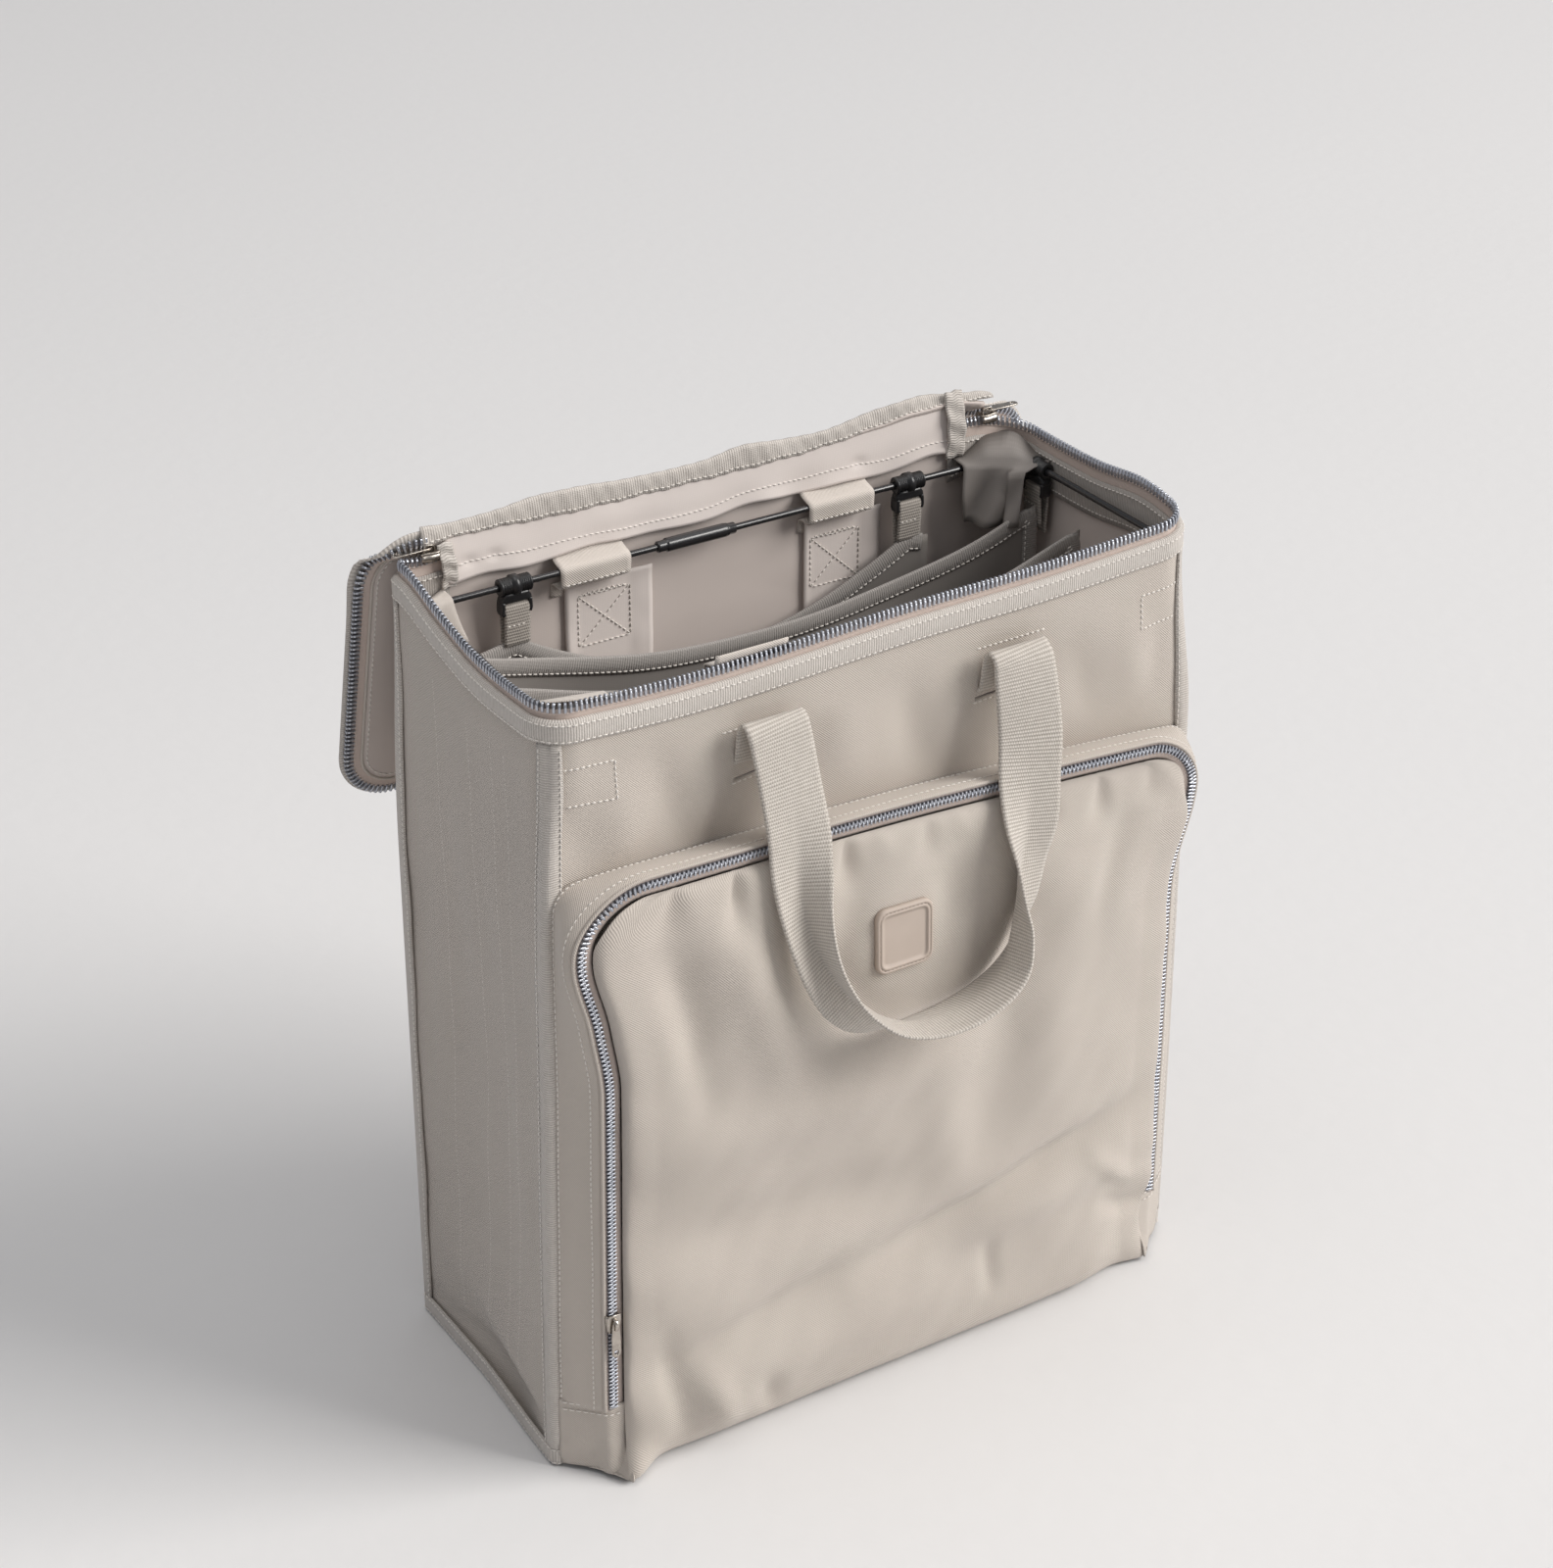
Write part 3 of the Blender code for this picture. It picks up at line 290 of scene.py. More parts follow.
STITCH_LONG = 0.0029
STITCH_RINGS = ((-0.5, 0.0, -0.6), (-0.33, 0.9, 0.25), (0.0, 1.0, 0.55), (0.33, 0.9, 0.25), (0.5, 0.0, -0.6))
STITCH_SIDES = 6
ROW_STEP = 0.0005
ROW_THREAD = 0.00055
SIDE_THREAD = 0.00018
BASE_THICK = 0.0016
RUMPLE_WAVES = 7
FRONT_CREASES = (
    ((-0.150, 0.470), (-0.128, 0.390), 0.012, -0.0028),
    ((-0.172, 0.455), (-0.165, 0.385), 0.012, 0.0022),
    ((-0.205, 0.450), (-0.190, 0.385), 0.012, -0.0020),
    ((0.010, 0.462), (0.028, 0.385), 0.013, -0.0030),
    ((-0.030, 0.460), (-0.020, 0.385), 0.016, 0.0018),
    ((0.125, 0.460), (0.142, 0.385), 0.012, -0.0022),
    ((0.165, 0.455), (0.175, 0.390), 0.014, 0.0022),
    ((0.195, 0.450), (0.185, 0.390), 0.009, -0.0015),
)
SIDE_ROWS = (-0.039, -0.024, 0.003, 0.040)
FRONT_ROWS = (
    ((-0.1065, 0.4595), (-0.0600, 0.4595)),
    ((0.0600, 0.4595), (0.1090, 0.4595)),
    ((-0.1010, 0.4250), (-0.0580, 0.4250)),
    ((0.0580, 0.4250), (0.1010, 0.4250)),
    ((-0.2045, 0.4610), (-0.1720, 0.4610), (-0.1720, 0.4375), (-0.2045, 0.4375)),
    ((0.2045, 0.4590), (0.1765, 0.4590), (0.1765, 0.4380), (0.2045, 0.4380)),
)


def smooth(value, low, high):
    """Runs from 0 to 1 between two levels, level at both ends."""
    share = np.clip((value - low) / (high - low), 0, 1)
    return share * share * (3 - 2 * share)


def hump(value, middle, spread, height):
    return height * np.exp(-(((value - middle) / spread) ** 2))


def crease(u, v, start, end, spread, height):
    """A soft fold along a line between two places on the cloth, fading out at its ends."""
    run_u, run_v = end[0] - start[0], end[1] - start[1]
    long = math.hypot(run_u, run_v)
    along = ((u - start[0]) * run_u + (v - start[1]) * run_v) / long**2
    off = ((u - start[0]) * run_v - (v - start[1]) * run_u) / long
    fade = np.sin(math.pi * np.clip(along, 0, 1))
    return height * fade * np.exp(-((off / spread) ** 2))


def rumple(u, v, size, seed):
    """Slow irregular waves between -1 and 1, about this size from crest to crest."""
    draw = np.random.default_rng(seed)
    total = np.zeros(np.broadcast(u, v).shape)
    for _ in range(RUMPLE_WAVES):
        turn = draw.uniform(0, math.pi)
        pitch = size * draw.uniform(0.7, 1.5)
        run = u * math.cos(turn) + v * math.sin(turn)
        total += np.sin(run * math.tau / pitch + draw.uniform(0, math.tau))
    return total / RUMPLE_WAVES * 1.6


def settled(points):
    """Moves places on the sewn box to where its cloth has settled."""
    x, y, z = points[..., 0], points[..., 1], points[..., 2]
    high = smooth(z, RIM_STIFF_LOW, RIM_STIFF_HIGH)
    front = smooth(-y, 0.010, HALF_DEEP)
    left = smooth(-x, HALF_WIDE - 0.030, HALF_WIDE - 0.004)
    right = smooth(x, HALF_WIDE - 0.030, HALF_WIDE - 0.004)
    drop = sum(hump(x, *sag) for sag in FRONT_SAGS) * front
    drop = drop + (sum(hump(y, *sag) for sag in LEFT_SAGS) + hump(y, *LEFT_REAR_RISE)) * left
    drop = drop + hump(y, *RIGHT_RISE) * right
    back = smooth(y, 0.055, HALF_DEEP - 0.006) * (1 - left)
    drop = drop + sum(hump(x, *rise) for rise in BACK_RISES) * back
    side = np.clip(x / HALF_WIDE, -1, 1)
    foot = 1 - smooth(z, 0, 0.40)
    spread = FOOT_SPREAD * foot * smooth(-y, -0.02, HALF_DEEP) - TOP_DRAW * high
    moved = points.copy()
    moved[..., 0] = x + side**3 * spread
    moved[..., 2] = z + drop * high
    return moved


def with_round_corners(points):
    """The box's four corners, square at the foot, turn round towards the rim, and then all settles."""
    x, y, z = points[..., 0], points[..., 1], points[..., 2]
    radius = np.where((x < 0) & (y > 0), TIGHT_RADIUS, RIM_RADIUS)
    over_x = abs(x) - (HALF_WIDE - radius)
    over_y = abs(y) - (HALF_DEEP - radius)
    share = smooth(z, ROUND_FROM, ROUND_FULL)
    corner = (over_x > 0) & (over_y > 0)
    far = np.hypot(over_x, over_y)
    pull = np.where(corner, np.maximum(over_x, over_y) / np.maximum(far, 1e-9), 1)
    pull = 1 - (1 - pull) * share
    moved = points.copy()
    moved[..., 0] = np.where(corner, np.sign(x) * (HALF_WIDE - radius + over_x * pull), x)
    moved[..., 1] = np.where(corner, np.sign(y) * (HALF_DEEP - radius + over_y * pull), y)
    return settled(moved)


def grid_faces(rows, columns, marks_u, marks_v, wrap=False):
    """Faces over a grid of points, row by row, with their places on the cloth."""
    last = columns if wrap else columns - 1
    i, j = (a.ravel() for a in np.meshgrid(np.arange(rows - 1), np.arange(last), indexing="ij"))
    faces, marks = [], []
    for down, across in ((0, 0), (0, 1), (1, 1), (1, 0)):
        faces.append((i + down) * columns + (j + across) % columns)
        marks.append(np.stack([marks_u[i + down], marks_v[j + across]], 1))
    return np.stack(faces, 1), np.stack(marks, 1)


class Cloth:
    """Gathers points and faces, with their places on the cloth, and makes one object of them."""

    def __init__(self):
        self.points, self.faces, self.marks, self.finishes = [], [], [], []
        self.count = 0

    def add(self, points, faces, marks, finish=0):
        """Adds points with faces between them, and gives the first point's number."""
        start = self.count
        self.points.append(np.asarray(points, float).reshape(-1, 3))
        self.count += len(self.points[-1])
        self.join(start, faces, marks, finish)
        return start

    def join(self, start, faces, marks, finish=0):
        """Adds faces between points that are there already, counted from the start's."""
        for face, mark in zip(faces, marks):
            self.faces.append([int(i) + start for i in face])
            self.marks.extend(mark)
            self.finishes.append(finish)

    def make(self, name, body, *finishes, slot=None, stands_for=(), shape=None, smoothed=True):
        """Makes the piece, which rides on a body. A shape moves its points to where they belong."""
        points = np.concatenate(self.points)
        if shape:
            points = shape(points)
        data = bpy.data.meshes.new(name)
        data.from_pydata(points.tolist(), [], self.faces)
        chart = data.uv_layers.new(name="cloth")
        chart.data.foreach_set("uv", np.asarray(self.marks, float).ravel())
        data.polygons.foreach_set("material_index", self.finishes)
        data.polygons.foreach_set("use_smooth", [smoothed] * len(self.faces))
        for finish in finishes:
            data.materials.append(finish)
        mesh = bmesh.new()
        mesh.from_mesh(data)
        bmesh.ops.recalc_face_normals(mesh, faces=mesh.faces)
        mesh.to_mesh(data)
        mesh.free()
        piece = bpy.data.objects.new(name, data)
        bpy.context.scene.collection.objects.link(piece)
        if stands_for:
            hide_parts(*stands_for)
        if body:
            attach(piece, body)
        return piece


def normals_of(grid):
    across = np.gradient(grid, axis=1)
    down = np.gradient(grid, axis=0)
    square = np.cross(across, down)
    return square / np.linalg.norm(square, axis=-1, keepdims=True)


def lay_sheet(cloth, grid, thick, lengths, kept=None, sides=(0, 0), lift=0.0):
    """Adds a sheet of even thickness round a grid of points. kept marks the cells that stay."""
    rows, columns = grid.shape[:2]
    square = normals_of(grid)
    faces, marks = grid_faces(rows, columns, *lengths)
    if kept is not None:
        faces, marks = faces[kept.ravel()], marks[kept.ravel()]
    both = np.concatenate([grid + square * (lift + half) for half in (thick / 2, -thick / 2)])
    count = rows * columns
    start = cloth.add(both, faces[:, ::-1], marks[:, ::-1], sides[0])
    cloth.join(start, faces + count, marks, sides[1])
    edges = {}
    for face, mark in zip(faces.tolist(), marks.tolist()):
        for k in range(4):
            a, b = face[k], face[(k + 1) % 4]
            if edges.pop((b, a), None) is None:
                edges[(a, b)] = (mark[k], mark[(k + 1) % 4])
    walls = [(a, b, b + count, a + count) for a, b in edges]
    cloth.join(start, walls, [(a, b, b, a) for a, b in edges.values()], sides[0])


def true_lengths(grid):
    """How far each row and each column of a grid lies along the cloth, on average."""
    lengths = []
    for axis in (0, 1):
        steps = np.linalg.norm(np.diff(grid, axis=axis), axis=-1).mean(axis=1 - axis)
        lengths.append(np.concatenate([[0], np.cumsum(steps)]))
    return lengths


def spaced(start, end, step):
    return np.linspace(start, end, max(int(round(abs(end - start) / step)), 1) + 1)


def twill_finish(name, light, dark):
    """Twill woven polyester: fine slanting ribs, a little sheen, and slow changes of shade."""
    twill = Finish(name, Roughness=0.78, Sheen_Weight=0.25, Sheen_Roughness=0.5, Specular_IOR_Level=0.3)
    u, v = twill.along_cloth()
    ribs = (u + v).wave(TWILL_PITCH)
    yarns = (u - v * 0.35).wave(TWILL_PITCH * 0.62)
    cloudy = twill.noise(twill.in_space(), 14.0, 3.0)
    grain = twill.noise(twill.in_space(), 900.0, 2.0)
    mask = ribs * 0.50 + yarns * 0.08 + grain * 0.20 + cloudy * 0.35 + 0.035
    twill.colour(twill.between(mask, dark, light))
    twill.relief(ribs * 0.8 + yarns * 0.2 + grain * 0.3, 0.00030, 0.75)
    return twill.material


def lining_finish(name, light, dark):
    """The coated inner face: nearly smooth, with the weave just showing through."""
    lining = Finish(name, Roughness=0.58, Specular_IOR_Level=0.35)
    u, v = lining.along_cloth()
    weave = u.wave(0.0011) * v.wave(0.0011)
    cloudy = lining.noise(lining.in_space(), 18.0, 3.0)
    lining.colour(lining.between(cloudy * 0.7 + weave * 0.3, dark, light))
    lining.relief(weave * 0.5 + lining.noise(lining.in_space(), 700.0) * 0.5, 0.00010, 0.35)
    return lining.material


def thread_finish():
    thread = Finish("twisted_thread", Roughness=0.5, Sheen_Weight=0.2)
    u, v = thread.along_cloth()
    ply = (u + v * 0.7).wave(0.0008)
    thread.colour(thread.between(ply * 0.5 + 0.4, THREAD_DARK, THREAD_LIGHT))
    thread.relief(ply, 0.0001, 0.5)
    return thread.material


TWILL = twill_finish("twill_cloth", TWILL_LIGHT, TWILL_DARK)
# A darker copy of the twill for the side panels: painted shade.
SHADED_SIDE_TWILL = twill_finish("side_twill_painted_shade", SIDE_SHADED_LIGHT, SIDE_SHADED_DARK)
LINING = lining_finish("coated_lining_cloth", LINING_LIGHT, LINING_DARK)
STITCHES = thread_finish()


def far_along(run):
    """How far along a path each of its points lies."""
    return np.concatenate([[0], np.cumsum(np.linalg.norm(np.diff(run, axis=0), axis=1))])


def resampled(run, wanted, known=None):
    """A path's rows at other places, which are counted in rows, or in what is known of each row."""
    known = np.arange(len(run)) if known is None else known
    return np.stack([np.interp(wanted, known, column) for column in run.T], 1)


def evenly(run, step):
    """The same path with points a step apart, or as near as divides its length evenly."""
    far = far_along(run)
    return resampled(run, spaced(0, far[-1], step), far)


def unit(vectors):
    return vectors / np.maximum(np.linalg.norm(vectors, axis=-1, keepdims=True), 1e-12)


def square_to(ways, along):
    """Directions turned until they are square to a path, one for each of its points."""
    return unit(ways - along * np.sum(ways * along, axis=1, keepdims=True))


def ways_along(ways, run):
    """A direction for each point of a path, from one direction or from others spread along it."""
    ways = np.asarray(ways, float)
    if ways.ndim == 1:
        return np.broadcast_to(ways, run.shape)
    return resampled(ways, np.linspace(0, len(ways) - 1, len(run)))


def directions(run, closed=False):
    """The way a path runs at each of its points."""
    if closed:
        inner = run[:-1]
        ahead = np.roll(inner, -1, axis=0) - np.roll(inner, 1, axis=0)
        return unit(np.concatenate([ahead, ahead[:1]]))
    return unit(np.gradient(run, axis=0))


def set_copies(cloth, places, ways, shape, faces, marks, finish=0):
    """Adds copies of one small form, each at its own place and along its own three directions."""
    points = places[:, None] + sum(way[:, None] * shape[None, :, k : k + 1] for k, way in enumerate(ways))
    many = [[i + n * len(shape) for i in face] for n in range(len(places)) for face in faces]
    cloth.add(points, many, list(marks) * len(places), finish)


def sew(cloth, run, outward, finish=0, pitch=STITCH_PITCH, long=STITCH_LONG, thread=THREAD):
    """Adds a row of stitches: short threads that rise out of the cloth and dive back in."""
    run = evenly(np.asarray(run, float), pitch / 4)
    middles = np.arange(2, len(run) - 2, 4)
    along = directions(run)[middles]
    lift = square_to(ways_along(outward, run)[middles], along)
    shape = []
    for far, wide, high in STITCH_RINGS:
        for turn in np.arange(STITCH_SIDES) * math.tau / STITCH_SIDES:
            across, up = wide * thread * math.cos(turn), thread * (high + wide * math.sin(turn))
            shape.append((far * long, across, up))
    rings = len(STITCH_RINGS)
    girth = np.linspace(0, math.tau * thread, STITCH_SIDES + 1)
    faces, marks = grid_faces(rings, STITCH_SIDES, np.linspace(0, long, rings), girth, wrap=True)
    ways = (along, np.cross(lift, along), lift)
    set_copies(cloth, run[middles], ways, np.array(shape), faces[:, ::-1].tolist(), marks[:, ::-1], finish)


def front_waves(x, z):
    """How far the front panel stands out: soft waves under the rim and dents round the handles."""
    free = smooth(z, 0.36, 0.41) * (1 - smooth(z, 0.45, 0.478))
    waves = 0.0016 * rumple(x, z, 0.16, 11)
    for middle in (-SLIT_X, SLIT_X):
        waves = waves + crease(x, z, (middle - 0.045, 0.395), (middle - 0.012, 0.455), 0.012, 0.0022)
        waves = waves - crease(x, z, (middle + 0.016, 0.400), (middle + 0.040, 0.452), 0.014, 0.0026)
    return waves * free + sum(crease(x, z, *fold) for fold in FRONT_CREASES)


def flat_grid(across, tall):
    """The two distances over a panel, row by row from its foot, and its lengths of cloth."""
    u, v = np.meshgrid(across, tall)
    return u, v, (tall - tall[0], across - across[0])


def cave_in(y, z):
    """How far a side panel is pressed in between its corners."""
    high = np.clip((z - PANEL_FOOT) / (0.46 - PANEL_FOOT), 0, 1)
    between = np.clip(1 - (y / HALF_DEEP) ** 2, 0, 1)
    bowed = SIDE_CAVE * np.sin(math.pi * high) ** 0.8 * between
    pinched = crease(y, z, (-0.070, 0.0), (0.075, 0.055), 0.016, 0.0045)
    tucked = (hump(z, 0.020, 0.008, 0.0050) - hump(z, 0.048, 0.020, 0.0020)) * between
    upright = 0.0013 * rumple(y, z * 0.12, 0.04, 6) * (0.4 + 0.6 * smooth(z, 0.10, 0.25))
    folds = 0.0010 * rumple(y, z, 0.13, 5) + upright
    return bowed + pinched + tucked + folds * np.sin(math.pi * high)


def sew_front_and_back(across, tall):
    """The two wide panels. The front one has a slit for each end of its handle."""
    middle = PANEL_THICK / 2
    x, z, lengths = flat_grid(across, tall)
    centre_x, centre_z = (across[1:] + across[:-1]) / 2, (tall[1:] + tall[:-1]) / 2
    slit_x, slit_z = abs(abs(centre_x) - SLIT_X) < SLIT_HALF, abs(centre_z - SLIT_Z) < SLIT_TALL / 2
    kept = ~(slit_x[None, :] & slit_z[:, None])
    front = Cloth()
    grid = np.stack([x, -HALF_DEEP + middle - front_waves(x, z), z], -1)
    lay_sheet(front, grid, PANEL_THICK, lengths, kept=kept, sides=(0, 1))
    for row in FRONT_ROWS:
        row_x, row_z = evenly(np.array(row, float), ROW_STEP).T
        line = np.stack([row_x, -HALF_DEEP - front_waves(row_x, row_z), row_z], -1)
        sew(front, line, (0, -1, 0), finish=2, thread=ROW_THREAD)
    finishes = (TWILL, LINING, STITCHES)
    hides = ["front_panel"]
    front.make("front_cloth", "bag", *finishes, slot="twill", stands_for=hides, shape=with_round_corners)
    back = Cloth()
    loose = 0.0012 * rumple(x, z, 0.15, 23) * smooth(z, 0.02, 0.10) * (1 - smooth(z, 0.40, 0.47))
    grid = np.stack([x, HALF_DEEP - middle - abs(loose), z], -1)
    lay_sheet(back, grid, PANEL_THICK, lengths, sides=(1, 0))
    hides = ["back_panel"]
    back.make("back_cloth", "bag", TWILL, LINING, slot="twill", stands_for=hides, shape=with_round_corners)


def sew_sides(tall):
    """The two narrow panels, each with its rows of quilting stitches."""
    deep = HALF_DEEP - PANEL_THICK - 0.0003
    y, z, lengths = flat_grid(spaced(-deep, deep, WEAVE_STEP), tall)
    level = spaced(0.016, 0.455, ROW_STEP)
    finishes = (SHADED_SIDE_TWILL, LINING, STITCHES)
    for side, sign in (("left", -1), ("right", 1)):
        panel = Cloth()
        grid = np.stack([sign * (HALF_WIDE - PANEL_THICK / 2 - cave_in(y, z)), y, z], -1)
        lay_sheet(panel, grid, PANEL_THICK, lengths, sides=(1, 0) if sign < 0 else (0, 1))
        for row in SIDE_ROWS:
            row_y = level * 0 + row
            line = np.stack([sign * (HALF_WIDE - 0.0001 - cave_in(row_y, level)), row_y, level], -1)
            sew(panel, line, (sign, 0, 0), finish=2, thread=SIDE_THREAD)
        name, hides = f"{side}_side_cloth", [f"{side}_side_panel"]
        panel.make(name, "bag", *finishes, slot="twill", stands_for=hides, shape=with_round_corners)


def sew_panels():
    wide = HALF_WIDE - 0.0002
    slit_edges = [sign * SLIT_X + half for sign in (-1, 1) for half in (-SLIT_HALF, SLIT_HALF)]
    slit_levels = (SLIT_Z - SLIT_TALL / 2, SLIT_Z + SLIT_TALL / 2)
    across = np.unique(np.concatenate([spaced(-wide, wide, WEAVE_STEP), slit_edges]))
    tall = np.unique(np.concatenate([spaced(PANEL_FOOT, RIM_Z, WEAVE_STEP), slit_levels]))
    sew_front_and_back(across, tall)
    sew_sides(tall)
    base = Cloth()
    x, y, lengths = flat_grid(across, spaced(-HALF_DEEP, HALF_DEEP, WEAVE_STEP))
    lay_sheet(base, np.stack([x, y, x * 0 + BASE_THICK / 2], -1), BASE_THICK, lengths, sides=(0, 1))
    base.make("bottom_cloth", "bag", LINING, TWILL, slot="twill", stands_for=["bottom_panel"])


sew_panels()


# The base board. A stiff grey sheet of fibre board, cut a little smaller than the bottom, lies
# loose inside it and keeps the foot flat.
BOARD_LIGHT = (0.360, 0.340, 0.315)
BOARD_DARK = (0.240, 0.225, 0.210)


def board_finish():
    board = Finish("grey_fibre_board", Roughness=0.8)
    grain = board.noise(board.in_space(), 260.0, 4.0)
    board.colour(board.between(grain, BOARD_DARK, BOARD_LIGHT))
    board.relief(grain, 0.0002, 0.5)
    return board.material


def give_finish(node, finish):
    """Gives a piece of the frame its finish."""
    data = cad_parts[node].data
    data.materials.clear()
    data.materials.append(finish)


give_finish("base_board", board_finish())


# The seam bindings. Ribbed grosgrain tape is folded over the seam at each corner and round the
# foot, and held by one row of stitching near each edge.
TAPE_THICK = 0.0012
CORNER_LEG = 0.0095
BINDING_FOOT = 0.0009
BINDING_WIDE = 0.012
EDGE_STITCH = 0.0013
CORNERS = {"front_left": (-1, -1), "front_right": (1, -1), "back_left": (-1, 1), "back_right": (1, 1)}
STRIP_STEPS = 6
RIB_PITCH = 0.0015
RIB_LIGHT = (0.775, 0.730, 0.680)
RIB_DARK = (0.360, 0.320, 0.285)
UP = np.array((0.0, 0.0, 1.0))


def rounded_run(corners, radius, step=0.003, closed=False):
    """Even points along straight stretches with an arc at each corner between them."""
    count = len(corners)
    radii = np.broadcast_to(radius, count)
    corners = [np.asarray(corner, float) for corner in corners]
    ends = range(count) if closed else range(1, count - 1)
    run = [] if closed else [corners[0]]
    for i in ends:
        before, here, after = corners[i - 1], corners[i], corners[(i + 1) % count]
        back = (before - here) / np.linalg.norm(before - here)
        on = (after - here) / np.linalg.norm(after - here)
        half = math.acos(np.clip(back @ on, -1, 1)) / 2
        reach = radii[i] / math.tan(half)
        centre = here + (back + on) / np.linalg.norm(back + on) * radii[i] / math.sin(half)
        first, last = here + back * reach - centre, here + on * reach - centre
        turn = math.pi - 2 * half
        for share in np.linspace(0, 1, 13):
            arm = first * math.sin((1 - share) * turn) + last * math.sin(share * turn)
            run.append(centre + arm / math.sin(turn))
    run.append(run[0] if closed else corners[-1])
    return evenly(np.array(run), step)


def add_skin(cloth, grid, length, finish=0, closed=False):
    """Adds a skin through a row of rings of points: capped, or closed where its last ring is its first."""
    rows, columns = grid.shape[:2]
    girth = far_along(np.concatenate([grid[0], grid[0][:1]]))
    faces, marks = grid_faces(rows, columns, length, girth, wrap=True)
    if closed:
        cloth.add(grid[:-1], faces % ((rows - 1) * columns), marks, finish)
        return
    start = cloth.add(grid, faces, marks, finish)
    caps = [list(range(columns))[::-1], [(rows - 1) * columns + k for k in range(columns)]]
    cloth.join(start, caps, [[(0, 0)] * columns] * 2, finish)


def sweep(cloth, run, outward, profile, finish=0, closed=False):
    """Adds one section along a path. The profile's pairs are across the path and outwards from it."""
    along = directions(run, closed)
    outward = square_to(ways_along(outward, run), along)
    across = np.cross(outward, along)
    profile = np.asarray(profile, float)
    grid = run[:, None] + across[:, None] * profile[None, :, :1] + outward[:, None] * profile[None, :, 1:]
    add_skin(cloth, grid, far_along(run), finish, closed)


def strip_profile(wide, thick, crown=0.0):
    """A flat tape's section: a little crowned, with rounded edges."""
    shares = np.linspace(-1, 1, STRIP_STEPS + 1)
    top = [(s * wide / 2, thick / 2 + crown * (1 - s * s)) for s in shares]
    top[0] = (top[0][0], top[0][1] - thick * 0.3)
    top[-1] = (top[-1][0], top[-1][1] - thick * 0.3)
    return top + [(s * wide / 2, -thick / 2 + crown * (1 - s * s)) for s in shares[::-1]]


def ribbed_finish(name, light, dark):
    """Grosgrain: plump ribs across the tape, with fine yarns along it."""
    tape = Finish(name, Roughness=0.62, Sheen_Weight=0.2, Specular_IOR_Level=0.4)
    u, v = tape.along_cloth()
    wander = tape.noise(tape.in_space(), 320.0, 2.0)
    ribs = (u + wander * 0.0004).wave(RIB_PITCH)
    yarns = (v + ribs * 0.0002).wave(RIB_PITCH * 0.55)
    mask = ribs * 0.5 + yarns * 0.2 + wander * 0.3
    tape.colour(tape.between(mask, dark, light))
    tape.relief(ribs * 0.7 + yarns * 0.3, 0.00034, 0.9)
    return tape.material


RIBBED = ribbed_finish("grosgrain_ribbon", RIB_LIGHT, RIB_DARK)


def fold_profile(leg, thick):
    """Tape folded round a corner: two legs and a round nose. Pairs run along the corner's two faces."""
    nose, gap = 0.0016, 0.0003
    outer = [(-leg, 0.0002 + thick), (-leg * 0.5, gap + thick * 1.1), (-nose, gap + thick * 1.2)]
    for turn in (30, 60):
        angle = math.radians(turn)
        over = -nose + (nose + thick * 1.2) * math.cos(angle) + gap
        outer.append((-nose + (nose + thick) * math.sin(angle), over))
    outer += [(gap + thick * 1.2, -nose), (gap + thick * 1.1, -leg * 0.5), (0.0002 + thick, -leg)]
    return outer + [(0.0002, -leg), (0.0002, 0.0002), (-leg, 0.0002)]


def bind_corners():
    levels = spaced(BINDING_FOOT + BINDING_WIDE, RIM_Z - BINDING_WIDE - 0.0002, 0.006)
    profile = fold_profile(CORNER_LEG, TAPE_THICK)
    inset, face = CORNER_LEG - EDGE_STITCH, TAPE_THICK + 0.0004
    for spot, (sign, across) in CORNERS.items():
        cloth = Cloth()
        wobble = 0.0007 * np.sin(levels * 41 + sign + across) + 0.0004 * np.sin(levels * 97 + across)
        grid = np.zeros((len(levels), len(profile), 3))
        for k, (a, b) in enumerate(profile):
            grid[:, k, 0] = sign * (HALF_WIDE + a + wobble * (a < -0.004))
            grid[:, k, 1] = across * (HALF_DEEP + b + wobble * (b < -0.004))
            grid[:, k, 2] = levels
        add_skin(cloth, grid[:, ::-1] if sign * across < 0 else grid, levels)
        on_front = [(sign * (HALF_WIDE - inset), across * (HALF_DEEP + face), z) for z in levels]
        on_side = [(sign * (HALF_WIDE + face), across * (HALF_DEEP - inset), z) for z in levels]
        sew(cloth, on_front, (0, across, 0), finish=1)
        sew(cloth, on_side, (sign, 0, 0), finish=1)
        name = f"corner_binding_{spot}"
        looks = {"slot": "grosgrain", "stands_for": [name], "shape": with_round_corners}
        cloth.make(f"{name}_tape", "bag", RIBBED, STITCHES, **looks)


def sew_edges(cloth, run, outward, off):
    """Adds a row of stitches near each edge of a binding that lies on edge along a path."""
    for level in (-1, 1):
        line = run + outward * (TAPE_THICK / 2 + off) + UP * level * (BINDING_WIDE / 2 - EDGE_STITCH)
        sew(cloth, line, outward, finish=1)


def bind_foot():
    cloth = Cloth()
    middle = BINDING_FOOT + BINDING_WIDE / 2
    wide, deep = HALF_WIDE + 0.0010, HALF_DEEP + 0.0010
    corners = [(-wide, -deep, middle), (wide, -deep, middle), (wide, deep, middle), (-wide, deep, middle)]
    run = rounded_run(corners, 0.003, 0.004, closed=True)
    outward = np.cross(directions(run, closed=True), UP)
    sweep(cloth, run, outward, strip_profile(BINDING_WIDE, TAPE_THICK, 0.0004), closed=True)
    sew_edges(cloth, run, outward, 0.0002)
    name, hides = "bottom_binding_tape", ["bottom_binding"]
    cloth.make(name, "bag", RIBBED, STITCHES, slot="grosgrain", stands_for=hides, shape=settled)


bind_corners()
bind_foot()


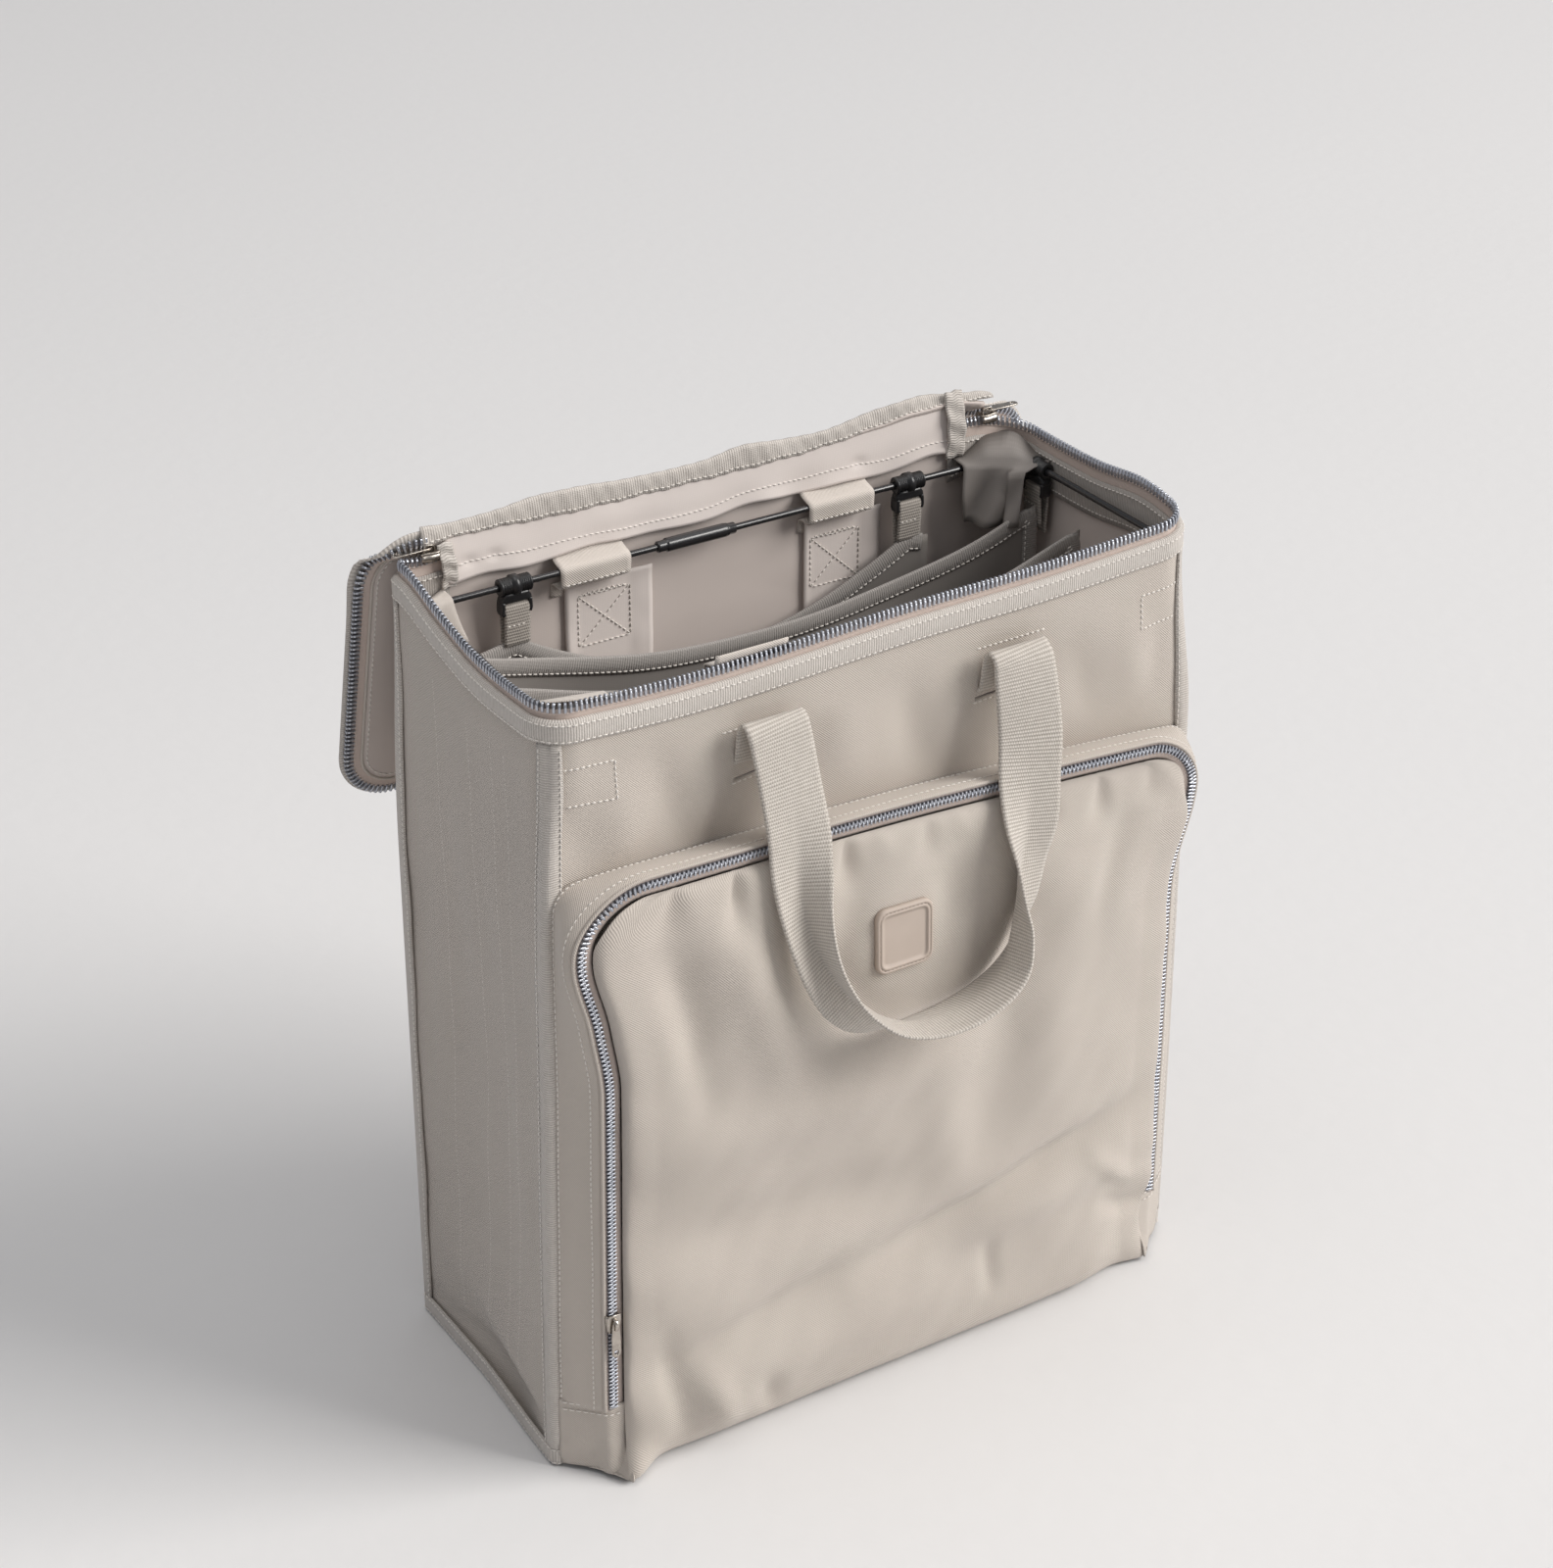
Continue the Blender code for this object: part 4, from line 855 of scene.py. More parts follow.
# The zipped rim. The mouth's edge is bound in grosgrain, and behind that a pinkish zipper tape stands
# up with metal teeth clamped on its edge, each tooth a separate nickel-plated piece.
STRIP_LEFT = -0.180
STRIP_RIGHT = 0.158
INNER_WIDE = HALF_WIDE - PANEL_THICK
INNER_DEEP = HALF_DEEP - PANEL_THICK
INNER_RADIUS = 0.020
TAPE_CLOTH = 0.0008
TAPE_TOP = 0.4955
TAPE_LOW = 0.477
TEETH_FOOT = 0.4937
TEETH_HEAD = 0.4993
TOOTH_PITCH = 0.0030
RIM_TOOTH = (0.00145, 0.0034, TEETH_HEAD - TEETH_FOOT)
FACING_LOW = 0.463
FACING_TOP = 0.4875
FACING_ROWS = (0.4665, 0.4850)
PINK_LIGHT = (0.700, 0.590, 0.530)
PINK_DARK = (0.560, 0.455, 0.400)
# The band under the pocket's teeth stands for the tape's edge cords, coloured near black as painted shade in
# the gaps between the teeth.
TEETH_SHADE_LIGHT = (0.200, 0.185, 0.190)
TEETH_SHADE_DARK = (0.120, 0.110, 0.115)
# The teeth's dark blue-grey is painted reflection of a dark room, mixed into the bright plate.
METAL_LIGHT = (0.740, 0.750, 0.790)
METAL_REFLECTED_DARK = (0.240, 0.270, 0.330)
FACING_LIGHT = (0.540, 0.500, 0.460)
FACING_DARK = (0.330, 0.300, 0.275)


def tape_finish(name, light, dark):
    """Zipper tape: a fine herringbone weave, with a thick cord along the edge that holds the teeth."""
    tape = Finish(name, Roughness=0.8, Sheen_Weight=0.2)
    u, v = tape.along_cloth()
    zigzag = ((v / 0.0016).part() - 0.5).size() * 0.0016
    bones = (u + zigzag).wave(0.0008)
    grain = tape.noise(tape.in_space(), 500.0)
    tape.colour(tape.between(bones * 0.5 + grain * 0.5, dark, light))
    tape.relief(bones, 0.00018, 0.6)
    return tape.material


def metal_teeth_finish():
    """Plated zipper teeth: bright plate, mottled along the chain with dark blue-grey that is a painted
    reflection of dark surroundings.
    """
    metal = Finish("plated_zipper_teeth", Metallic=1.0)
    cloudy = metal.noise(metal.in_space(), 90.0, 3.0)
    fine = metal.noise(metal.in_space(), 1400.0, 2.0)
    metal.colour(metal.between(cloudy * 0.6 + fine * 0.4, METAL_REFLECTED_DARK, METAL_LIGHT))
    metal.roughness(0.26 + fine * 0.2)
    metal.relief(fine, 0.00008, 0.4)
    return metal.material


PINK_TAPE = tape_finish("herringbone_zipper_tape", PINK_LIGHT, PINK_DARK)
CORDS_AND_TEETH_SHADE = tape_finish("tape_cords_painted_shade", TEETH_SHADE_LIGHT, TEETH_SHADE_DARK)
PLATED = metal_teeth_finish()
FACING = ribbed_finish("inner_facing_grosgrain", FACING_LIGHT, FACING_DARK)


def mouth_run(offset):
    """The mouth's path from above: from the hinge strip's left end, round the front, to its right end."""
    x, y = INNER_WIDE + offset, INNER_DEEP + offset
    corners = [(STRIP_LEFT, y, 0), (-x, y, 0), (-x, -y, 0), (x, -y, 0), (x, y, 0), (STRIP_RIGHT, y, 0)]
    tight = TIGHT_RADIUS - RIM_RADIUS
    return rounded_run(corners, INNER_RADIUS + offset + np.array((0, tight, 0, 0, 0, 0)))


def tooth_shape(long, deep, tall):
    """A zipper tooth: two legs pinched on the tape, shoulders, and a narrower round head."""
    outline = [(-0.42, 0.0), (-0.50, 0.12), (-0.50, 0.62), (-0.36, 0.80), (-0.34, 0.93), (-0.20, 1.0)]
    outline = outline + [(-across, up) for across, up in outline[::-1]]
    points = []
    for far, scale in ((-0.5, 0.82), (-0.30, 1.0), (0.30, 1.0), (0.5, 0.82)):
        for across, up in outline:
            high = (0.5 + (up - 0.5) * (scale * 0.4 + 0.6)) * tall
            points.append((far * long, across * deep * scale, high))
    columns = len(outline)
    faces, _ = grid_faces(4, columns, np.zeros(4), np.zeros(columns + 1), wrap=True)
    faces = [list(face) for face in faces[:, ::-1]]
    faces += [list(range(columns)), [3 * columns + k for k in range(columns)][::-1]]
    return np.array(points), faces


def oval(wide, tall, count, wide_power=1.0, tall_power=1.0):
    """An oval's pairs. Powers under one draw it out towards the corners of its box."""
    pairs = []
    for turn in np.arange(count) * math.tau / count:
        c, s = math.cos(turn), math.sin(turn)
        across, up = abs(c) ** wide_power, abs(s) ** tall_power
        pairs.append((wide * math.copysign(across, c), tall * math.copysign(up, s)))
    return pairs


def set_teeth(cloth, run, outward, shape, pitch=TOOTH_PITCH, first=0.0):
    """Adds a row of teeth along a path, one each pitch. outward is the side that the tape faces."""
    run = evenly(run, pitch / 4)
    spots = np.arange(int(round(first * 4)) + 2, len(run) - 1, 4)
    along = directions(run)[spots]
    side = square_to(ways_along(outward, run)[spots], along)
    points, faces = shape
    marks = [[(0, 0)] * len(face) for face in faces]
    set_copies(cloth, run[spots], (along, side, np.cross(along, side)), points, faces, marks)


def upright_band(cloth, run, low, high, thick, crown=0.0):
    """Adds a band that stands on edge along a path seen from above."""
    lifted = run + UP * (low + high) / 2
    outward = np.cross(directions(lifted), UP)
    sweep(cloth, lifted, outward, strip_profile(high - low, thick, crown))
    return lifted, outward


def bind_rim():
    binding = Cloth()
    middle = PANEL_THICK + 0.0003 + TAPE_THICK / 2
    low, high = RIM_Z - BINDING_WIDE, RIM_Z + 0.0006
    lifted, outward = upright_band(binding, mouth_run(middle), low, high, TAPE_THICK, crown=0.0005)
    sew_edges(binding, lifted, outward, 0.0003)
    over = mouth_run(middle / 2 - 0.0004) + UP * (RIM_Z + 0.0004)
    sweep(binding, over, UP, strip_profile(middle + 0.0006, 0.0009, 0.0005))
    name, hides = "rim_binding_tape", ["rim_binding"]
    binding.make(name, "bag", RIBBED, STITCHES, slot="grosgrain", stands_for=hides, shape=settled)


def sew_rim_zip():
    tape = Cloth()
    run = mouth_run(-0.0003 - TAPE_CLOTH / 2)
    _, outward = upright_band(tape, run, TAPE_LOW, TAPE_TOP, TAPE_CLOTH)
    sweep(tape, run + UP * (TAPE_TOP - 0.0022), outward, oval(0.0008, 0.0011, 8)[::-1])
    hides = ["rim_zipper_tape"]
    tape.make("rim_tape_cloth", "bag", PINK_TAPE, slot="zipper_tape", stands_for=hides, shape=settled)
    teeth = Cloth()
    path = run + UP * TEETH_FOOT
    set_teeth(teeth, path, np.cross(UP, directions(path)), tooth_shape(*RIM_TOOTH))
    looks = {"slot": "zipper_teeth", "shape": settled, "smoothed": False}
    teeth.make("rim_teeth", "bag", PLATED, stands_for=["rim_zipper_teeth"], **looks)


def face_rim():
    facing = Cloth()
    run = mouth_run(-0.0006 - 1.5 * TAPE_CLOTH)
    _, outward = upright_band(facing, run, FACING_LOW, FACING_TOP, TAPE_CLOTH, crown=-0.0004)
    for level in FACING_ROWS:
        sew(facing, run + UP * level - outward * (TAPE_CLOTH / 2 + 0.0006), -outward, finish=1)
    name, hides = "rim_facing_cloth", ["rim_facing"]
    facing.make(name, "bag", FACING, STITCHES, slot="coated_lining", stands_for=hides, shape=settled)


bind_rim()
sew_rim_zip()
face_rim()


# The hinge. A strip of smooth coated cloth is sewn inside the back edge and stands up from it. The lid
# is sewn to its top, and the seam is bound in grosgrain that stands up as a soft ridge. Folded tabs
# cover the zipper's ends.
STRIP_FOOT = 0.4868
STRIP_STITCH = 0.29
STRIP_LEAN = ((0, 0.29, 1), (0.0795, 0.0815, 0.0838))
STRIP_THICK = 0.0008
STRIP_DIMPLES = (-0.166, -0.150, 0.092)
SEAM_Z = 0.5107
SEAM_RISES = ((0.150, 0.065, 0.0088), (-0.165, 0.045, 0.0030))
RIDGE_LEFT, RIDGE_RIGHT = -0.1926, 0.1900
RIDGE_TOP = 0.5197
RIDGE_RISES = (
    (-0.110, 0.038, 0.0040),
    (0.018, 0.020, 0.0040),
    (0.130, 0.040, 0.0072),
    (-0.200, 0.015, 0.0030),
    (0.196, 0.009, -0.0040),
)
RIDGE_SECTION = ((-0.80, 0.0), (-1.0, 0.06), (-1.08, 0.30), (-1.0, 0.60), (-0.85, 0.85), (-0.40, 1.0))
RIDGE_Y = 0.0838
RIDGE_THICK = 0.0034
HINGE_Y = 0.0861
HINGE_Z = 0.5113
TABS = {"left": (-0.184, -0.175, 0.4850, 0.5110), "right": (0.154, 0.1665, 0.4850, 0.5265)}
STRIP_LIGHT = (0.800, 0.730, 0.690)
STRIP_DARK = (0.740, 0.670, 0.630)
TAB_Y = 0.0795
TAB_THICK = 0.0014

PALE_LINING = lining_finish("pale_coated_cloth", STRIP_LIGHT, STRIP_DARK)


def seam_level(x):
    """The height of the seam that joins the lid to the strip. It climbs towards the right."""
    return SEAM_Z + sum(hump(x, *rise) for rise in SEAM_RISES) + 0.0004 * np.sin(x * 210)


def strip_place(x, share):
    """Places on the hinge strip, from its wavy hem (0) to the seam (1)."""
    hem = STRIP_FOOT + 0.0022 * rumple(x, x * 0, 0.075, 31)
    z = hem + share * (seam_level(x) + 0.0008 - hem)
    loose = 0.0012 * rumple(x, x * 0, 0.045, 37) * (1 - share) ** 2
    slack = 0.0006 * (1 + rumple(x, z, 0.06, 41)) * np.sin(math.pi * share)
    dimples = sum(np.exp(-(((x - at) / 0.004) ** 2) - ((z - 0.4965) / 0.003) ** 2) for at in STRIP_DIMPLES)
    return np.stack([x, np.interp(share, *STRIP_LEAN) - loose - slack + 0.0012 * dimples, z], -1)


def sew_strip():
    strip = Cloth()
    across, tall = spaced(STRIP_LEFT, STRIP_RIGHT, 0.003), spaced(0, 1, 1 / 16)
    x, share = np.meshgrid(across, tall)
    lay_sheet(strip, strip_place(x, share), STRIP_THICK, (tall * 0.025, across - STRIP_LEFT))
    row = strip_place(across, STRIP_STITCH + 0.05 * np.sin(across * 31)) - (0, STRIP_THICK / 2, 0)
    sew(strip, row, (0, -1, 0), finish=1)
    finishes = (PALE_LINING, STITCHES)
    strip.make("hinge_strip_cloth", "bag", *finishes, slot="coated_lining", stands_for=["hinge_strip"])


def sew_ridge():
    ridge = Cloth()
    along = spaced(RIDGE_LEFT, RIDGE_RIGHT, 0.0020)
    low = seam_level(along) - 0.0014
    top = RIDGE_TOP + sum(hump(along, *rise) for rise in RIDGE_RISES)
    sway = 0.0012 + 0.0010 * rumple(along, along * 0, 0.035, 43)
    rings = []
    for wide, high in (*RIDGE_SECTION, *((-wide, high) for wide, high in RIDGE_SECTION[::-1])):
        puckers = 0.0003 * np.sin(along * 620 + high * 4) * math.copysign(1, wide)
        y = RIDGE_Y + wide * RIDGE_THICK / 2 + sway * high + puckers
        rings.append(np.stack([along, y, low + high * (top - low)], -1))
    add_skin(ridge, np.stack(rings, 1), along - RIDGE_LEFT)
    sew(ridge, rings[1] + (0, -0.0001, EDGE_STITCH), (0, -1, 0), finish=1)
    finishes = (RIBBED, STITCHES)
    made = ridge.make("hinge_seam_binding", None, *finishes, slot="grosgrain", stands_for=["hinge_binding"])
    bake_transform(made)


def sew_tabs():
    for side, (low, high, foot, head) in TABS.items():
        tab = Cloth()
        across, share = spaced(low, high, 0.0012), spaced(0, 1, 1 / 18)
        x, s = np.meshgrid(across, share)
        folds = 0.0012 * np.sin(s * math.pi) + 0.0006 * np.sin(s * 19 + x * 300)
        y = TAB_Y - folds + 0.0022 * smooth(s, 0.55, 1)
        z = foot + s * (head - foot) + 0.0005 * np.sin(x * 900)
        lengths = (share * (head - foot), across - low)
        lay_sheet(tab, np.stack([x + 0.0008 * np.sin(s * 5), y, z], -1), TAB_THICK, lengths)
        name = f"zipper_end_tab_{side}"
        tab.make(f"{name}_tape", "bag", RIBBED, slot="grosgrain", stands_for=[name])


sew_strip()
sew_ridge()
sew_tabs()


# The wire. One glossy black steel wire is bent round inside the mouth and holds it open. Its two ends
# meet at the back in a stepped sleeve, crimped on.
WIRE = 0.0020
WIRE_Z = 0.480
WIRE_X = 0.2015
WIRE_Y = 0.0725
WIRE_BEND = 0.0089
WIRE_GIVE = 0.0045
SLEEVE_LEFT = -0.051
SLEEVE_RIGHT = 0.001
SLEEVE_STEPS = (
    *((0.0, 0.0029), (0.0006, 0.0034), (0.0010, 0.0034), (0.0055, 0.0034), (0.0058, 0.0034)),
    *((0.0062, 0.0041), (0.0068, 0.0041), (0.0446, 0.0041), (0.0452, 0.0041), (0.0456, 0.0034)),
    *((0.0462, 0.0038), (0.0470, 0.0038), (0.0475, 0.0034), (0.0514, 0.0034), (0.0520, 0.0029)),
)
TURNED_SIDES = 24
BLACK_LIGHT = (0.022, 0.022, 0.024)
BLACK_DARK = (0.010, 0.010, 0.011)


def black_finish(name, roughness, coat, grain):
    black = Finish(name, Coat_Weight=coat, Coat_Roughness=0.12)
    fine = black.noise(black.in_space(), 420.0, 3.0)
    black.colour(black.between(fine, BLACK_DARK, BLACK_LIGHT))
    black.roughness(roughness + fine * 0.08)
    black.relief(fine, grain, 0.4)
    return black.material


BLACK_PAINT = black_finish("gloss_black_wire_paint", 0.20, 0.6, 0.000004)
BLACK_PLASTIC = black_finish("moulded_black_plastic", 0.32, 0.15, 0.00006)


def turned(cloth, steps, centre, bore=WIRE * 0.98):
    """Adds a turned tube along X: pairs of place and radius, closed back along its bore."""
    profile = [*steps, (steps[-1][0], bore), (steps[0][0], bore)]
    turns = np.linspace(0, math.tau, TURNED_SIDES + 1)
    grid = [[(x, r * math.cos(t), r * math.sin(t)) for x, r in profile] for t in turns]
    add_skin(cloth, np.array(grid) + centre, turns * 0.004, closed=True)


def bend_wire():
    wire = Cloth()
    gap = (SLEEVE_LEFT + SLEEVE_RIGHT) / 2
    x, y = WIRE_X, WIRE_Y
    corners = [(gap - 0.002, y, 0), (-x, y, 0), (-x, -y, 0), (x, -y, 0), (x, y, 0), (gap + 0.002, y, 0)]
    run = rounded_run(corners, WIRE_BEND, 0.004) + UP * WIRE_Z
    run[:, 2] -= WIRE_GIVE * smooth(-run[:, 1], -0.02, 0.05) * smooth(-run[:, 0], -0.20, 0.16)
    sweep(wire, run, UP, oval(WIRE, WIRE, 16))
    wire.make("wire_hoop", "bag", BLACK_PAINT, slot="black_steel", stands_for=["frame_wire"])
    sleeve = Cloth()
    turned(sleeve, SLEEVE_STEPS, (SLEEVE_LEFT, WIRE_Y, WIRE_Z))
    sleeve.make("crimped_sleeve", "bag", BLACK_PAINT, slot="black_steel", stands_for=["frame_sleeve"])


bend_wire()


# The wire's carriers. Two cloth loops hold it at the back, each on a patch sewn to the back panel with
# a crossed box of stitching, two smaller ones at the front, and a flap of cloth over each corner.
LOOP_WIDE = 0.045
LOOP_THICK = 0.0010
LOOP_SPOTS = {"back_left": -0.092, "back_right": 0.0735, "front_left": -0.084, "front_right": 0.084}
LOOP_FOOT = 0.4695
LOOP_TAIL_FOOT = {"back": 0.4600, "front": 0.4540}
PATCHES = {"back_left": (-0.1065, -0.0495, -0.0810, 0.4415), "back_right": (0.0546, 0.1080, 0.0762, 0.4395)}
PATCH_FOOT = 0.402
PATCH_HEAD = 0.4665
PATCH_THICK = 0.0009
BOX_WIDE = 0.034
BOX_TALL = 0.032
BOX_TURNS = ((-1, 1), (1, 1), (1, -1), (-1, -1), (-1, 1), (1, -1), (1, 1), (-1, -1))
KNOTS = 19
LOOP_LIGHT = (0.730, 0.668, 0.610)
LOOP_DARK = (0.520, 0.465, 0.415)
# The back right flap is coloured much darker than the other flaps, as painted shade in that corner.
FLAP_SHADED_LIGHT = (0.285, 0.260, 0.242)
FLAP_SHADED_DARK = (0.205, 0.186, 0.172)
FLAP_RISE = 0.010
FLAP_THICK = 0.0009
FLAP_COLUMNS = 26
FLAPS = {
    "front_left": (0.028, 0.168, 0.0631),
    "front_right": (0.030, 0.168, 0.0631),
    "back_left": (0.025, 0.183, 0.0631),
    "back_right": (0.036, 0.160, 0.0460),
}
FLAP_NEAR = -0.0025
FLAP_DEEP = -0.0146

LOOP_TWILL = twill_finish("loop_twill_cloth", LOOP_LIGHT, LOOP_DARK)
SHADED_FLAP_CLOTH = lining_finish("corner_flap_painted_shade", FLAP_SHADED_LIGHT, FLAP_SHADED_DARK)


def loop_run(end):
    """The loop seen from the side: up the wall, forward, up round the wire and back to the wall."""
    wall = INNER_DEEP - 0.0009
    reach = WIRE + 0.0003 + LOOP_THICK / 2
    run = [(wall, LOOP_TAIL_FOOT[end]), (wall, LOOP_FOOT - 0.003), (wall - 0.0012, LOOP_FOOT - 0.0002)]
    run += [(wall - 0.004, LOOP_FOOT + 0.0005), (WIRE_Y - reach + 0.0022, LOOP_FOOT)]
    run += [(WIRE_Y - reach + 0.0004, LOOP_FOOT + 0.0016)]
    for angle in np.radians(np.linspace(180, 95, 8)):
        run.append((WIRE_Y + reach * math.cos(angle), WIRE_Z + reach * math.sin(angle)))
    run += [(WIRE_Y + 0.0045, WIRE_Z + 0.0040), (wall - 0.0021, WIRE_Z + 0.0056)]
    return evenly(np.array(run + [(wall - 0.0005, WIRE_Z + 0.0112)]), 0.0018)


def sew_loops():
    for spot, middle in LOOP_SPOTS.items():
        end = spot.split("_")[0]
        sign = 1 if end == "back" else -1
        profile = loop_run(end)
        across = spaced(middle - LOOP_WIDE / 2, middle + LOOP_WIDE / 2, 0.003)
        x, s = np.meshgrid(across, np.arange(len(profile)))
        y, z = profile[:, 0][s], profile[:, 1][s]
        front = (y < WIRE_Y) & (z < WIRE_Z)
        y = y - np.where(front, 0.0006 * np.sin((x - middle) * 170) * smooth(WIRE_Z - z, 0, 0.012), 0)
        loop = Cloth()
        lengths = (far_along(profile), across - across[0])
        lay_sheet(loop, np.stack([x, y * sign, z], -1), LOOP_THICK, lengths)
        front_y = sign * (WIRE_Y - WIRE - LOOP_THICK - 0.0005)
        edges = (middle - LOOP_WIDE / 2 + 0.002, middle + LOOP_WIDE / 2 - 0.002)
        sew(loop, [(x, front_y, LOOP_FOOT + 0.0028) for x in edges], (0, -sign, 0), finish=1)
        if spot in PATCHES:
            sew_patch(loop, *PATCHES[spot])
        name = f"wire_loop_{spot}"
        finishes = (LOOP_TWILL, STITCHES, PALE_LINING)
        loop.make(f"{name}_cloth", "bag", *finishes, slot="twill", stands_for=[name])


def sew_patch(loop, left, right, middle, level):
    """The patch under a loop, with its crossed box of stitching and a dense row along the top."""
    face = INNER_DEEP - 2 * PATCH_THICK
    across, tall = spaced(left, right, 0.003), spaced(PATCH_FOOT, PATCH_HEAD, 0.003)
    x, z, lengths = flat_grid(across, tall)
    loose = smooth(abs(x - middle), BOX_WIDE / 2, BOX_WIDE / 2 + 0.006)
    y = face - 0.0007 * (1 + rumple(x, z, 0.035, 61)) * loose
    lay_sheet(loop, np.stack([x, y, z], -1), PATCH_THICK, lengths, sides=(2, 2))
    half, rise, front = BOX_WIDE / 2, BOX_TALL / 2, face - 0.0006
    spots = [(middle + a * half, front, level + b * rise) for a, b in BOX_TURNS]
    for first, last in zip(spots, spots[1:]):
        sew(loop, [first, last], (0, -1, 0), finish=1)
    knots = []
    for k in range(KNOTS):
        z = level + rise + (0.0009 if k % 2 else -0.0007)
        knots.append((middle - half + 0.002 + k * 0.0016, front - 0.0001, z))
    sew(loop, knots, (0, -1, 0), finish=1, pitch=0.0024, long=0.0024)


def flap_grid(spot, sign, across):
    """A flap over a corner of the wire. The back right one is loose, and hangs over a clip."""
    tall, back_end, side_end = FLAPS[spot]
    loose = spot == "back_right"
    top = WIRE_Z + WIRE + 0.0012
    near, deep = FLAP_NEAR, FLAP_DEEP
    profile = [(near, top + 0.0004), (near - 0.004, top + 0.0003), (deep + 0.004, top)]
    profile += [(deep + 0.0015, top - 0.0003), (deep + 0.0004, top - 0.0013), (deep, top - 0.003)]
    profile += [(deep - 0.0003 * k, top - 0.003 - (tall - 0.003) * k / 7) for k in range(1, 8)]
    grid = np.zeros((FLAP_COLUMNS, len(profile), 3))
    share = np.linspace(0, 1, FLAP_COLUMNS)
    for j, (offset, z) in enumerate(profile):
        x, y = INNER_WIDE + offset, INNER_DEEP + offset
        corners = [(back_end, y), (x, y), (x, side_end)]
        run = rounded_run(corners, max(INNER_RADIUS + offset, 0.004), 0.05)
        far = far_along(run)
        run = resampled(run, share * far[-1], far)
        hang = max(0.0, (top - z) / tall)
        flutter = 0.0018 * hang * (1 + np.sin(share * 9 + sign + across + hang)) + 0.0016 * hang**2
        over_clip = 0.0100 * smooth(share, 0.60, 0.80) * smooth(hang, -0.01, 0.10) * loose
        flutter = flutter + 0.0030 * hang * np.sin(share * 11 + 4.5 * hang) * loose
        at_corner = smooth(share, 0.05, 0.35) * (1 - smooth(share, 0.60, 0.90)) * loose
        rise = FLAP_RISE * max(0, 1 - j / 3) * at_corner
        grid[:, j, 0] = sign * (run[:, 0] - flutter - over_clip)
        grid[:, j, 1] = across * (run[:, 1] - flutter)
        grid[:, j, 2] = z + rise + 0.0008 * hang * np.sin(share * 7 + across * 2)
    return grid, (share * 0.05, np.arange(len(profile)) * 0.0045)


def sew_flaps():
    for spot, (sign, across) in CORNERS.items():
        flap = Cloth()
        grid, lengths = flap_grid(spot, sign, across)
        lay_sheet(flap, grid, FLAP_THICK, lengths)
        # The back right flap gets the dark copy: painted shade.
        finish = SHADED_FLAP_CLOTH if spot == "back_right" else LOOP_TWILL
        name = f"corner_pocket_{spot}"
        flap.make(f"{name}_cloth", "bag", finish, slot="coated_lining", stands_for=[name])


sew_loops()
sew_flaps()


# The hangers. Three moulded clips snap on the wire, each a ribbed sleeve over a saddle with two
# prongs, and a webbing strap folds over the bar between the prongs and is sewn to the insert.
CLIP_LONG = 0.020
CLIP_OUT = 0.0055
CLIP_BAR_DROP = 0.0125
CLIP_BAR = 0.0018
CLIP_FOOT = 0.0165
STRAP_WIDE = 0.0160
STRAP_THICK = 0.0012
STRAP_FRONT = 0.041
STRAP_BACK = 0.036
CLIP_SPOTS = {
    "back_left": (-0.143, WIRE_Y, 0),
    "back_right": (0.122, WIRE_Y, 0),
    "side_right": (WIRE_X, 0.051, -90),
}
STRAP_LIGHT = (0.520, 0.480, 0.430)
STRAP_DARK = (0.240, 0.210, 0.185)
WEB_LIGHT = (0.740, 0.690, 0.630)
WEB_DARK = (0.330, 0.290, 0.250)
WEB_ROW = 0.0021
WEB_BRICK = 0.0015
SADDLE = (
    (-0.0035, 0.80, 0.0042),
    (-0.0052, 0.84, 0.0040),
    (-0.0066, 0.97, 0.0038),
    (-0.0082, 1.0, 0.0038),
    (-0.0090, 1.0, 0.0036),
)
PRONG = ((0.0016, -0.0086), (0.0013, -0.0115), (0.0012, -0.0145), (0.0018, -CLIP_FOOT))


def webbing_finish(name, row, brick, light, dark):
    """Webbing: plump rows across, each of small bricks of yarn that step over by half a brick."""
    web = Finish(name, Roughness=0.68, Sheen_Weight=0.25, Specular_IOR_Level=0.35)
    u, v = web.along_cloth()
    wander = web.noise(web.in_space(), 300.0, 2.0)
    level = (u + wander * 0.0003) / row
    step = (level.floor() * 0.5).part()
    bricks = (v / brick + step).wave(1.0)
    rows = level.wave(1.0)
    mask = rows * 0.50 + bricks * 0.20 + wander * 0.30
    web.colour(web.between(mask, dark, light))
    web.relief(rows * 0.65 + bricks * 0.35, 0.00045, 0.8)
    return web.material


NARROW_WEB = webbing_finish("narrow_webbing", 0.0019, 0.0014, STRAP_LIGHT, STRAP_DARK)


